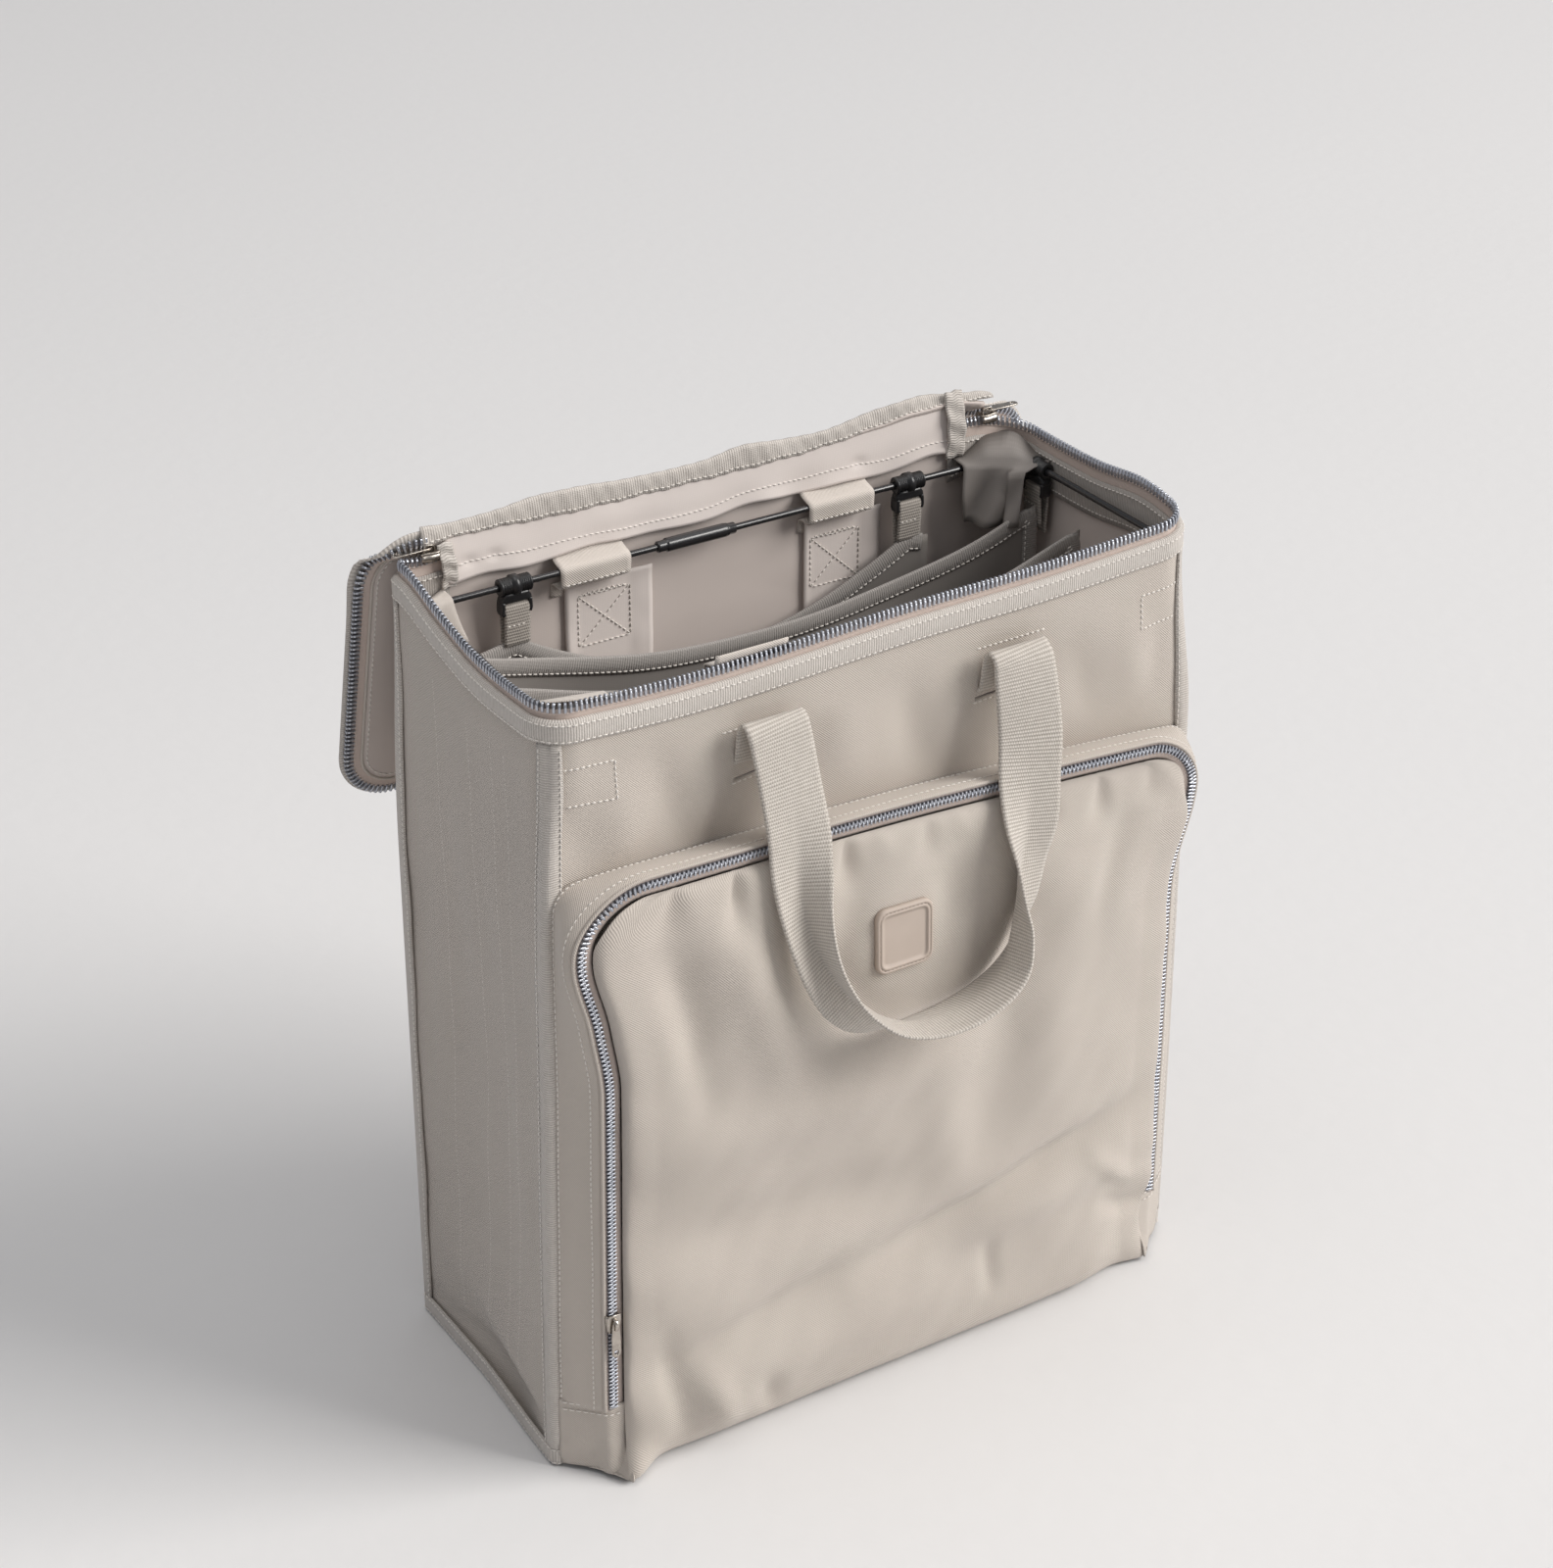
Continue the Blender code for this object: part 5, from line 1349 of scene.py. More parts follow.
def clip_parts():
    """A clip at the origin with the wire along X."""
    clip = Cloth()
    half, rib, groove = CLIP_LONG / 2, CLIP_OUT - 0.0004, CLIP_OUT - 0.0009
    steps = [(-half, CLIP_OUT - 0.0012), (-half + 0.0006, rib)]
    for k in range(5):
        x = -half + 0.0014 + k * 0.0012
        steps += [(x, rib), (x + 0.0003, groove), (x + 0.0007, groove), (x + 0.0010, rib)]
    steps += [(-0.0022, rib), (-0.0019, CLIP_OUT + 0.0006)]
    turned(clip, steps + [(-x, r) for x, r in steps[::-1]], (0, 0, 0), bore=WIRE + 0.0002)
    saddle = []
    for z, wide, deep in SADDLE:
        saddle.append([(x, y, z) for x, y in oval(half * wide, deep, 24, 0.35, 0.5)])
    add_skin(clip, np.array(saddle), np.arange(len(SADDLE)) * 0.002)
    section = oval(0.0038, 0.0013, 16, 0.6, 0.6)
    for sign in (-1, 1):
        run = np.array([(sign * (half - inset), 0, z) for inset, z in PRONG])
        sweep(clip, evenly(run, 0.001), (sign, 0, 0), section)
    bar = np.array([(-half + 0.002, 0, -CLIP_BAR_DROP), (half - 0.002, 0, -CLIP_BAR_DROP)])
    sweep(clip, evenly(bar, 0.004), UP, oval(CLIP_BAR, CLIP_BAR, 12))
    return clip


def strap_parts():
    """A strap at the origin, folded over the clip's bar, with a row of stitching through both legs."""
    strap = Cloth()
    reach = CLIP_BAR + 0.0003 + STRAP_THICK / 2
    run = [(reach * 0.7, -STRAP_FRONT), (reach, -CLIP_BAR_DROP - 0.010)]
    for angle in np.radians(np.linspace(0, 180, 9)):
        run.append((reach * math.cos(angle), -CLIP_BAR_DROP + reach * math.sin(angle)))
    run += [(-reach, -CLIP_BAR_DROP - 0.008), (-reach * 0.65, -STRAP_BACK)]
    run = evenly(np.array(run), 0.0018)
    across = spaced(-STRAP_WIDE / 2, STRAP_WIDE / 2, 0.0016)
    x, s = np.meshgrid(across, np.arange(len(run)))
    y, z = run[:, 0][s], run[:, 1][s]
    crown = 0.0003 * (1 - (x / (STRAP_WIDE / 2)) ** 2)
    lengths = (np.arange(len(run)) * 0.0018, across - across[0])
    lay_sheet(strap, np.stack([x, y + np.sign(y) * crown, z], -1), STRAP_THICK, lengths)
    front, drop = 0.0002 - reach - STRAP_THICK / 2, -CLIP_BAR_DROP - 0.011
    line = [(side * (STRAP_WIDE / 2 - 0.001), front, drop) for side in (-1, 1)]
    sew(strap, line, (0, -1, 0), finish=1, pitch=0.003, long=0.0024)
    return strap


def hang_clips():
    for spot, (x, y, turn) in CLIP_SPOTS.items():
        cosine, sine = math.cos(math.radians(turn)), math.sin(math.radians(turn))

        def put(points):
            along, out = points[:, 0], points[:, 1]
            placed_x = x + along * cosine - out * sine
            return np.stack([placed_x, y + along * sine + out * cosine, points[:, 2] + WIRE_Z], 1)

        body, clip, strap = f"clip_{spot}", f"hanger_clip_{spot}", f"hanger_strap_{spot}"
        made = {"stands_for": [clip], "shape": put}
        clip_parts().make(f"{clip}_moulding", body, BLACK_PLASTIC, slot="black_plastic", **made)
        made = {"stands_for": [strap], "shape": put}
        strap_parts().make(f"{strap}_webbing", body, NARROW_WEB, STITCHES, slot="grosgrain", **made)


hang_clips()


# The hanging insert. Three sheets of coated cloth rise from one floor and part the bag into bays. Each
# top edge is bound in grosgrain, and the rear sheet hangs from two of the clips.
INSERT_FLOOR = 0.1305
SHEET_THICK = 0.0010
SHEET_LEFT, SHEET_RIGHT = -0.190, 0.1979
REAR_LEFT, REAR_RIGHT = -0.172, 0.136
REAR_HELD = (-0.143, 0.122)
REAR_TOP, REAR_SAG, REAR_FALL = 0.446, 0.040, 0.16
SHEET_TOP, SHEET_SAG = 0.458, 0.034
SHEET_BINDING = 0.0105
TURNED_DOWN = {"rear": 0.0, "middle": 0.075, "front": 0.090}
INSERT_LIGHT = (0.300, 0.275, 0.255)
INSERT_DARK = (0.240, 0.220, 0.205)
INSERT_RIB_LIGHT = (0.430, 0.400, 0.375)
INSERT_RIB_DARK = (0.270, 0.250, 0.235)
SHEETS = {
    "rear": (0.0727, REAR_LEFT, REAR_RIGHT, (0.308, 0.296)),
    "middle": (0.046, SHEET_LEFT, SHEET_RIGHT, (0.388, 0.308)),
    "front": (0.003, SHEET_LEFT, SHEET_RIGHT, (0.388, 0.308)),
}
SWINGS = {"rear": (0.0022, 51), "middle": (0.0045, 52), "front": (0.0050, 53)}
INSERT_CLOTH = lining_finish("insert_coated_cloth", INSERT_LIGHT, INSERT_DARK)
INSERT_RIBBED = ribbed_finish("insert_grosgrain", INSERT_RIB_LIGHT, INSERT_RIB_DARK)


def sheet_top(name, x):
    """The height of a sheet's top edge, drooping between the places that hold it."""
    if name == "rear":
        middle, half = sum(REAR_HELD) / 2, (REAR_HELD[1] - REAR_HELD[0]) / 2
        inside = REAR_TOP - REAR_SAG * (1 - ((x - middle) / half) ** 2)
        return np.where(abs(x - middle) > half, REAR_TOP - REAR_FALL * (abs(x - middle) - half), inside)
    middle, half = (SHEET_LEFT + SHEET_RIGHT) / 2, (SHEET_RIGHT - SHEET_LEFT) / 2
    return SHEET_TOP - SHEET_SAG * (1 - ((x - middle) / half) ** 2)


def sheet_waves(name, x, z):
    """How far a sheet swings forward or back, most where nothing holds it."""
    loose, seed = SWINGS[name]
    held = smooth(z, INSERT_FLOOR, INSERT_FLOOR + 0.12)
    ends = np.minimum(smooth(x, SHEET_LEFT, SHEET_LEFT + 0.03), smooth(-x, -SHEET_RIGHT, -SHEET_RIGHT + 0.03))
    swing = rumple(x, z * 0.35, 0.15, seed)
    if name == "rear":
        swing = -abs(swing)
    return loose * swing * held * ends


def bind_sheet(name, y, left, right):
    """Binds a sheet's top edge, and the side down which it turns at its right end."""
    edge = Cloth()
    half, thick = SHEET_BINDING / 2, 0.0014
    inset = half - 0.0008
    fine = spaced(left, right - inset, 0.003)
    drop = spaced(0, TURNED_DOWN[name], 0.003)[1:] if TURNED_DOWN[name] else np.zeros(0)
    x = np.concatenate([fine, drop * 0 + fine[-1]])
    z = np.concatenate([sheet_top(name, fine), sheet_top(name, fine[-1]) - drop]) - inset
    run = np.stack([x, y + sheet_waves(name, x, z + inset), z], -1)
    along = directions(run)
    outward = np.stack([-along[:, 2], along[:, 1] * 0, along[:, 0]], -1)
    profile = [(-thick, -half), (-thick * 1.1, 0), (-thick, half * 0.8), (-thick * 0.5, half)]
    sweep(edge, run, outward, profile + [(-a, b) for a, b in profile[::-1]])
    sew(edge, run - outward * (half - EDGE_STITCH) - (0, thick + 0.0001, 0), (0, -1, 0), finish=1)
    looks = {"slot": "grosgrain", "stands_for": [f"insert_binding_{name}"]}
    return edge.make(f"insert_{name}_edge", "bag", INSERT_RIBBED, STITCHES, **looks)


def hang_insert():
    looks = {"slot": "coated_lining", "stands_for": ["insert_pocket"]}
    for name, (y, left, right, flat) in SHEETS.items():
        across, share = spaced(left, right, 0.005), spaced(0, 1, 1 / 56)
        x, s = np.meshgrid(across, share)
        z = INSERT_FLOOR + s * (sheet_top(name, x) - INSERT_FLOOR)
        grid = np.stack([x, y + sheet_waves(name, x, z), z], -1)
        cloth = Cloth()
        lay_sheet(cloth, grid, SHEET_THICK, (share * flat[1], across - left))
        piece = cloth.make(f"insert_{name}_sheet", "bag", INSERT_CLOTH, **looks)
        binding = bind_sheet(name, y, left, right)
    floor = Cloth()
    rear, front = SHEETS["rear"][0], SHEETS["front"][0]
    x, y, lengths = flat_grid(spaced(SHEET_LEFT, SHEET_RIGHT, 0.006), spaced(front, rear, 0.005))
    sag = 0.0012 * np.sin((y - front) / (rear - front) * math.pi * 2) ** 2
    lay_sheet(floor, np.stack([x, y, x * 0 + INSERT_FLOOR - sag], -1), SHEET_THICK, lengths)
    floor.make("insert_floor_cloth", "bag", INSERT_CLOTH, **looks)


hang_insert()


# The front pocket. A gusset of twill stands out from the front panel and carries a metal zipper round
# three sides. The face is sewn to the zipper's inner tape, and its spare cloth bellies out in folds.
POCKET_HALF = 0.2115
POCKET_TOP = 0.378
POCKET_CORNER = 0.014
POCKET_REAR = -0.0868
POCKET_FRONT = -0.1086
POCKET_FOOT = 0.0030
FACE_HALF = 0.199
FACE_TOP = 0.383
FACE_CORNER = 0.036
FACE_TAPE = 0.0112
FACE_SEAM = FACE_HALF - FACE_TAPE
FACE_BULGE = 0.0125
FACE_CLOTH = 0.0012
FACE_OVERHANG = (0.0045, 0.0105)
ZIP_FOOT = 0.047
ZIP_TEETH = 0.0043
ZIP_Y = -0.1090
ROUND_EDGE = 0.50
BADGE = 0.038
BADGE_X, BADGE_Z = -0.010, 0.308
RUBBER_LIGHT = (0.545, 0.462, 0.400)
RUBBER_DARK = (0.490, 0.410, 0.352)
BADGE_SIDES = 96
BADGE_CORNER = 0.0065
BADGE_LEVELS = (
    *((-0.0012, 0.0), (0.0016, 0.0), (0.0022, 0.0005), (0.0024, 0.0012)),
    *((0.0024, 0.0016), (0.0019, 0.0018), (0.0019, 0.0023), (0.0024, 0.0025)),
    *((0.0024, 0.0034), (0.0022, 0.0039), (0.0014, 0.0041), (0.0014, 0.0060)),
)
BADGE_GROOVE = (5, 6)
POCKET_TOOTH = (0.00115, 0.0021, 0.0036)
POCKET_PITCH = 0.0026
GUSSET_STEP = 0.004
GUSSET_DEEP = 0.026
UNDER_REAR = -0.0885
UNDER_HALF = 0.187
LAP_CORNERS = ((0.2120, -0.0872), (0.1965, -0.1084), (0.1872, -0.1096))
LAPS = {-1: (0.0028, 83, 1.0), 1: (0.0014, 84, 0.4)}
EAR_ROOTS = (
    *((0.1865, -0.1100, 0.024), (0.1905, -0.1120, 0.012)),
    *((0.1975, -0.1060, 0.0034), (0.2040, -0.1000, 0.0030)),
)
EAR_TIPS = {-1: (-0.1905, -0.1262, 0.0024), 1: (0.1905, -0.1165, 0.0024)}
FACE_FOLDS = (
    ((-0.183, 0.392), (-0.181, 0.235), 0.009, 0.0050),
    ((-0.160, 0.392), (-0.134, 0.225), 0.013, -0.0085),
    ((-0.126, 0.355), (-0.078, 0.225), 0.015, 0.0060),
    ((-0.098, 0.345), (-0.020, 0.255), 0.013, -0.0050),
    ((-0.030, 0.392), (-0.052, 0.280), 0.015, -0.0060),
    ((0.045, 0.392), (0.012, 0.270), 0.020, -0.0055),
    ((0.078, 0.345), (0.052, 0.125), 0.024, -0.0060),
    ((0.112, 0.330), (0.092, 0.120), 0.022, 0.0040),
    ((0.152, 0.392), (0.124, 0.255), 0.011, -0.0040),
    ((-0.225, 0.210), (0.070, 0.218), 0.021, 0.0075),
    ((-0.225, 0.158), (0.035, 0.138), 0.022, -0.0085),
    ((0.016, 0.250), (0.030, 0.120), 0.018, 0.0030),
    ((0.215, 0.142), (-0.040, 0.078), 0.0120, -0.0115),
    ((0.060, 0.106), (-0.215, 0.058), 0.015, -0.0080),
    ((0.185, 0.098), (0.020, 0.082), 0.013, 0.0055),
    ((0.060, 0.060), (-0.215, 0.030), 0.018, 0.0060),
    ((0.057, 0.078), (0.062, 0.030), 0.006, -0.0030),
    ((0.128, 0.108), (0.205, 0.050), 0.007, 0.0050),
    ((0.140, 0.070), (0.205, 0.030), 0.007, -0.0055),
    ((-0.170, 0.105), (-0.148, 0.004), 0.011, -0.0065),
    ((-0.142, 0.065), (-0.118, 0.004), 0.010, 0.0040),
    ((-0.105, 0.050), (-0.088, 0.004), 0.008, -0.0035),
)
FACE_GATHERS = (
    (-0.148, 0.030, -0.0040),
    (-0.112, 0.042, -0.0065),
    (-0.092, 0.022, 0.0025),
    (-0.041, 0.034, -0.0055),
    (-0.022, 0.020, 0.0020),
    (0.012, 0.030, -0.0030),
    (0.030, 0.018, 0.0020),
    (0.092, 0.030, -0.0035),
    (0.128, 0.036, -0.0045),
    (0.162, 0.028, -0.0035),
)


def pocket_lean(points):
    """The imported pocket's own settling: its top slopes down to the right, and its sides are drawn in."""
    x, y, z = points[..., 0], points[..., 1], points[..., 2]
    forward = smooth(-y, -POCKET_REAR, -POCKET_FRONT)
    upper = smooth(z, 0.26, 0.372)
    left, right = smooth(-x, 0.12, 0.185), smooth(x, 0.12, 0.185)
    moved = settled(points)
    moved[..., 2] += (0.0045 - 0.053 * x - 0.136 * x * x) * upper
    drawn = 0.0038 * (1 - smooth(z, 0.262, 0.300)) + hump(z, 0.342, 0.032, -0.0125)
    moved[..., 0] += left * forward * drawn
    moved[..., 0] += smooth(x, 0.05, 0.19) * upper * (0.30 + 0.50 * forward) * 0.0095
    moved[..., 0] -= right * forward * 0.0050 * (1 - smooth(z, 0.27, 0.345))
    moved[..., 1] += right * forward * 0.0035 * (1 - smooth(z, 0.27, 0.345))
    return moved


def arch_run(half, foot, top, radius, step=0.003):
    """An upside-down U: up the left, across the top and down the right, as pairs of X and Z."""
    return rounded_run([(-half, foot), (-half, top), (half, top), (half, foot)], radius, step)


def stood(pairs, depth):
    """Pairs of X and Z as places at one depth."""
    return np.stack([pairs[:, 0], pairs[:, 0] * 0 + depth, pairs[:, 1]], 1)


def zip_arch(inset, foot, depth):
    """The zipper's path round the face, this far inside the pocket's outline."""
    return stood(arch_run(FACE_HALF - inset, foot, FACE_TOP - inset, FACE_CORNER - inset), depth)


def wedge(x, z, start_x, long, height):
    """A gather: a fold that starts narrow at the seam under the zipper and spreads as it dies away."""
    down = np.clip((FACE_TOP - FACE_TAPE - z) / long, 0, 1)
    spread = 0.0022 + 0.0085 * down
    lean = start_x + 0.10 * (FACE_TOP - z) * math.copysign(1, height)
    return height * np.sin(math.pi * down**0.55) * np.exp(-(((x - lean) / spread) ** 2))


def face_bulge(x, z):
    """How far the pocket's face stands out in front of its zipper, folds and all."""
    top = FACE_TOP - FACE_TAPE
    across = np.clip(1 - (abs(x) / FACE_SEAM) ** 7, 0, 1)
    up = np.clip((top - z) / 0.115, 0, 1)
    foot = np.clip((z - POCKET_FOOT) / 0.026, 0, 1)
    rise = (1 - (1 - up) ** 3) * (1 - (1 - foot) ** 2.2)
    corner = smooth(x, 0.135, 0.185) * (1 - smooth(z, 0.03, 0.09))
    edge = np.clip(across, 0, 1) ** ROUND_EDGE * np.clip(rise, 0, 1) ** ROUND_EDGE
    puff = FACE_BULGE * edge * (1 - 0.55 * corner)
    folds = sum(crease(x, z, *fold) for fold in FACE_FOLDS)
    folds = folds + 0.0012 * rumple(x, z, 0.075, 71) + 0.0005 * rumple(x, z, 0.032, 72)
    near_badge = np.exp(-((np.hypot(x - BADGE_X, z - BADGE_Z) / 0.030) ** 4))
    folds = folds * (1 - 0.85 * near_badge)
    gathers = sum(wedge(x, z, *gather) for gather in FACE_GATHERS)
    sides = smooth(abs(x), 0.160, 0.186) * 0.0011 * rumple(z, z * 0, 0.036, 75)
    return puff + folds * edge**1.2 + (gathers + sides) * np.clip(edge * 1.6, 0, 1)


def face_grid():
    """The face as a grid from its foot up. Near its sides it turns back over the zipper like a pillow."""
    top = FACE_TOP - FACE_TAPE - 0.0003
    radius = FACE_CORNER - FACE_TAPE
    lower = POCKET_FOOT + 0.030 * (1 - np.cos(spaced(0, math.pi / 2, 0.12)))
    upper = top - 0.030 * (1 - np.sin(spaced(0, math.pi / 2, 0.10)))
    levels = np.unique(np.concatenate([lower, spaced(0.034, top - 0.03, 0.0032), upper]).round(6))
    shares = np.sin(spaced(-math.pi / 2, math.pi / 2, math.pi / 170))
    rows = []
    for z in levels:
        side = FACE_SEAM - 0.0003
        if z > top - radius:
            side = side - radius * (1 - math.sqrt(max(1 - ((z - top + radius) / radius) ** 2, 0)))
        rows.append(np.stack([side * shares, shares * 0 + z], -1))
    pairs = np.array(rows)
    x, z = pairs[..., 0], pairs[..., 1]
    bulge = face_bulge(x, z)
    beside = np.sin(math.pi * np.clip((1 - abs(shares)) / 0.09, 0, 1)) * np.ones_like(x)
    reach = np.where(x < 0, *FACE_OVERHANG) * smooth(z, 0.015, 0.06) * (1 - smooth(z, 0.325, 0.365))
    over = np.sin(math.pi * np.clip((top - z) / 0.014, 0, 1)) * 0.0016
    ear = np.exp(-((np.hypot(abs(x) - 0.184, (z - 0.004) * 0.7) / 0.011) ** 2))
    moved_x = x + np.sign(x) * (beside * reach + ear * 0.0045)
    y = ZIP_Y - 0.0006 - bulge - ear * np.where(x < 0, 0.0125, 0.0045)
    return np.stack([moved_x, y, z + over - ear * 0.0005], -1)


def lap_grid(sign):
    """The plain piece below each end of the zipper, from the front panel round to the face's seam."""
    path = rounded_run(LAP_CORNERS, 0.004, 0.0016)
    depth, seed, reach = LAPS[sign]
    levels = spaced(POCKET_FOOT, 0.0495, 0.0024)
    grid = np.zeros((len(levels), len(path), 3))
    share = np.linspace(0, 1, len(path))
    for i, z in enumerate(levels):
        low = 1 - smooth(z, POCKET_FOOT, 0.030)
        crush = depth * low * rumple(share * 0.03, share * 0 + z, 0.019, seed)
        poke = low * 0.0065 * np.clip(share - 0.45, 0, 1) * reach
        grid[i, :, 0] = sign * (path[:, 0] + crush * 0.7 + poke * 0.5)
        grid[i, :, 1] = path[:, 1] - abs(crush) * 0.7 - poke * 1.6
        grid[i, :, 2] = z
    return grid, (levels, np.arange(len(path)) * 0.0016)


def ear_grid(sign):
    """A folded corner of spare cloth that pokes out at the foot beside the face."""
    tip = np.array(EAR_TIPS[sign])
    roots = evenly(np.array(EAR_ROOTS) * (sign, 1, 1), 0.0022)
    rows = []
    for share in spaced(0, 1, 1 / 9):
        bend = 0.0014 * math.sin(math.pi * share)
        rows.append(roots * (1 - share * 0.94) + tip * share * 0.94 + (0, -bend, bend))
    return np.array(rows), (np.arange(len(rows)) * 0.002, np.arange(len(roots)) * 0.0022)


def sew_gusset():
    gusset = Cloth()
    rear = arch_run(POCKET_HALF, ZIP_FOOT - 0.0005, POCKET_TOP, POCKET_CORNER, GUSSET_STEP)
    front = arch_run(FACE_HALF, ZIP_FOOT - 0.0005, FACE_TOP, FACE_CORNER, GUSSET_STEP)
    front = resampled(front, np.linspace(0, len(front) - 1, len(rear)))
    shares = spaced(0, 1, 1 / 10)
    length = np.arange(len(rear)) * GUSSET_STEP
    along = directions(np.stack([rear[:, 0], rear[:, 1], rear[:, 0] * 0], 1))
    out = np.stack([-along[:, 1], along[:, 0]], 1)
    rows = []
    for share in shares:
        puff = 0.0012 + 0.0013 * rumple(length, length * 0 + share * 0.02, 0.07, 81)
        puff = math.sin(math.pi * share) * puff
        pair = rear * (1 - share) + front * share + out * puff[:, None]
        rows.append(stood(pair, POCKET_REAR + (POCKET_FRONT - POCKET_REAR) * share))
    grid = np.stack(rows, 1)
    lay_sheet(gusset, grid, FACE_CLOTH, (length, shares * GUSSET_DEEP))
    across = spaced(-UNDER_HALF, UNDER_HALF, 0.006)
    x, share = np.meshgrid(across, spaced(0, 1, 1 / 6))
    y = UNDER_REAR + (POCKET_FRONT - 0.002 - UNDER_REAR) * share
    under = np.stack([x, y, x * 0 + POCKET_FOOT + 0.0006], -1)
    lay_sheet(gusset, under, FACE_CLOTH, (np.arange(7) * 0.003, across))
    for sign in (-1, 1):
        lap, lengths = lap_grid(sign)
        lay_sheet(gusset, lap, FACE_CLOTH, lengths, lift=0.0006 * -sign)
        for level in (-1, -3):
            line = lap[level][1:] - (sign * -0.0009, 0.0012, 0) + (sign * 0.0004, -0.0002, -0.0012)
            sew(gusset, line, (sign * 0.8, -0.6, 0), finish=1)
        ear, lengths = ear_grid(sign)
        lay_sheet(gusset, ear, FACE_CLOTH, lengths)
    sweep(gusset, stood(front, POCKET_FRONT - 0.0006), (0, -1, 0), oval(0.0011, 0.0011, 8))
    side = stood(out, 0.0)
    for j in (1, 8):
        sew(gusset, grid[:, j] + side * (FACE_CLOTH / 2 + 0.0002), side, finish=1)
    looks = {"slot": "twill", "stands_for": ["pocket_gusset"], "shape": pocket_lean}
    gusset.make("pocket_gusset_cloth", "bag", TWILL, STITCHES, **looks)


def sew_pocket_zip():
    tape = Cloth()
    run = zip_arch(FACE_TAPE / 2, ZIP_FOOT - 0.001, ZIP_Y)
    sweep(tape, run, (0, -1, 0), strip_profile(FACE_TAPE, 0.0008))
    # A near-black band along the tape under the teeth: the edge cords, with painted shade between the teeth.
    run = zip_arch(ZIP_TEETH, ZIP_FOOT, ZIP_Y - 0.0004)
    sweep(tape, run, (0, -1, 0), strip_profile(0.0050, 0.0010), finish=1)
    looks = {"slot": "zipper_tape", "stands_for": ["pocket_zipper_tape"], "shape": pocket_lean}
    tape.make("pocket_tape_cloth", "bag", PINK_TAPE, CORDS_AND_TEETH_SHADE, **looks)
    teeth = Cloth()
    shape = tooth_shape(*POCKET_TOOTH)
    for sign, first in ((-1, 0.0), (1, 0.5)):
        run = zip_arch(ZIP_TEETH - sign * 0.0026, ZIP_FOOT + 0.001, ZIP_Y - 0.0015)
        set_teeth(teeth, run, (0, -sign, 0), shape, pitch=POCKET_PITCH, first=first)
    looks = {"slot": "zipper_teeth", "shape": pocket_lean, "smoothed": False}
    teeth.make("pocket_teeth", "bag", PLATED, stands_for=["pocket_zipper_teeth"], **looks)


def sew_face():
    face = Cloth()
    grid = face_grid()
    lay_sheet(face, grid, FACE_CLOTH, true_lengths(grid))
    looks = {"slot": "twill", "stands_for": ["pocket_panel"], "shape": pocket_lean}
    face.make("pocket_face_cloth", "bag", TWILL, **looks)


def rubber_finish():
    rubber = Finish("soft_moulded_badge", Roughness=0.55, Specular_IOR_Level=0.4)
    cloudy = rubber.noise(rubber.in_space(), 60.0, 3.0)
    grain = rubber.noise(rubber.in_space(), 1800.0, 2.0)
    rubber.colour(rubber.between(cloudy, RUBBER_DARK, RUBBER_LIGHT))
    rubber.relief(grain, 0.00006, 0.4)
    return rubber.material


def press_badge():
    """The badge: a rounded square with a raised border, a moulded stitch line in it, and a bare field."""
    badge = Cloth()
    rise = BADGE / 2
    reach = [float(face_bulge(np.array(BADGE_X), np.array(BADGE_Z + step))) for step in (-rise, 0.0, rise)]
    beside = [float(face_bulge(np.array(BADGE_X + step), np.array(BADGE_Z))) for step in (-rise, rise)]
    slope = (reach[0] - reach[2]) / BADGE
    swing = (beside[0] - beside[1]) / BADGE
    seat = ZIP_Y - 0.0006 - reach[1] - FACE_CLOTH / 2 - 0.0004
    rings = []
    for thick, inset in BADGE_LEVELS:
        half = BADGE / 2 - inset
        corners = [(-half, -half), (half, -half), (half, half), (-half, half)]
        run = rounded_run(corners, BADGE_CORNER - inset * 0.8, 0.0012, closed=True)
        u, v = resampled(run, np.linspace(0, len(run) - 1, BADGE_SIDES + 1)[:-1]).T
        rings.append(np.stack([BADGE_X + u, seat - thick + slope * v + swing * u, BADGE_Z + v], 1))
    add_skin(badge, np.array(rings), np.arange(len(rings)) * 0.001)
    line = (rings[BADGE_GROOVE[0]] + rings[BADGE_GROOVE[1]]) / 2
    line = np.concatenate([line, line[:1]]) - (0, 0.0001, 0)
    sew(badge, line, (0, -1, 0), pitch=0.0026, long=0.0019, thread=0.00026)
    looks = {"slot": "moulded_rubber", "stands_for": ["pocket_badge"], "shape": pocket_lean}
    badge.make("bare_badge", "bag", rubber_finish(), **looks)


sew_gusset()
sew_pocket_zip()
sew_face()
press_badge()


# The lid. A twill panel, lined inside, with the other half of the rim's zipper round three sides and
# a grosgrain binding behind it. It is thrown back and hangs behind the bag from the bound seam.
LID_HALF = 0.2165
LID_THICK = 0.0020
LID_NECK = 0.0075
LID_RAMP = 0.0125
LID_DIP = 0.008
LID_RADIUS = 0.022
LID_TAPE = 0.0062
LID_OPEN = 257.0
LID_FAR = 0.1712
LID_BINDING = 0.0137
LID_STITCH = 0.0030
LID_UNDER = -0.0030
LID_SHOULDER = 0.0012
LID_SHOULDER_RADIUS = 0.020
LID_NEAR = (0.0078, 0.0200)
LID_SEAM = (0.190, 0.184)


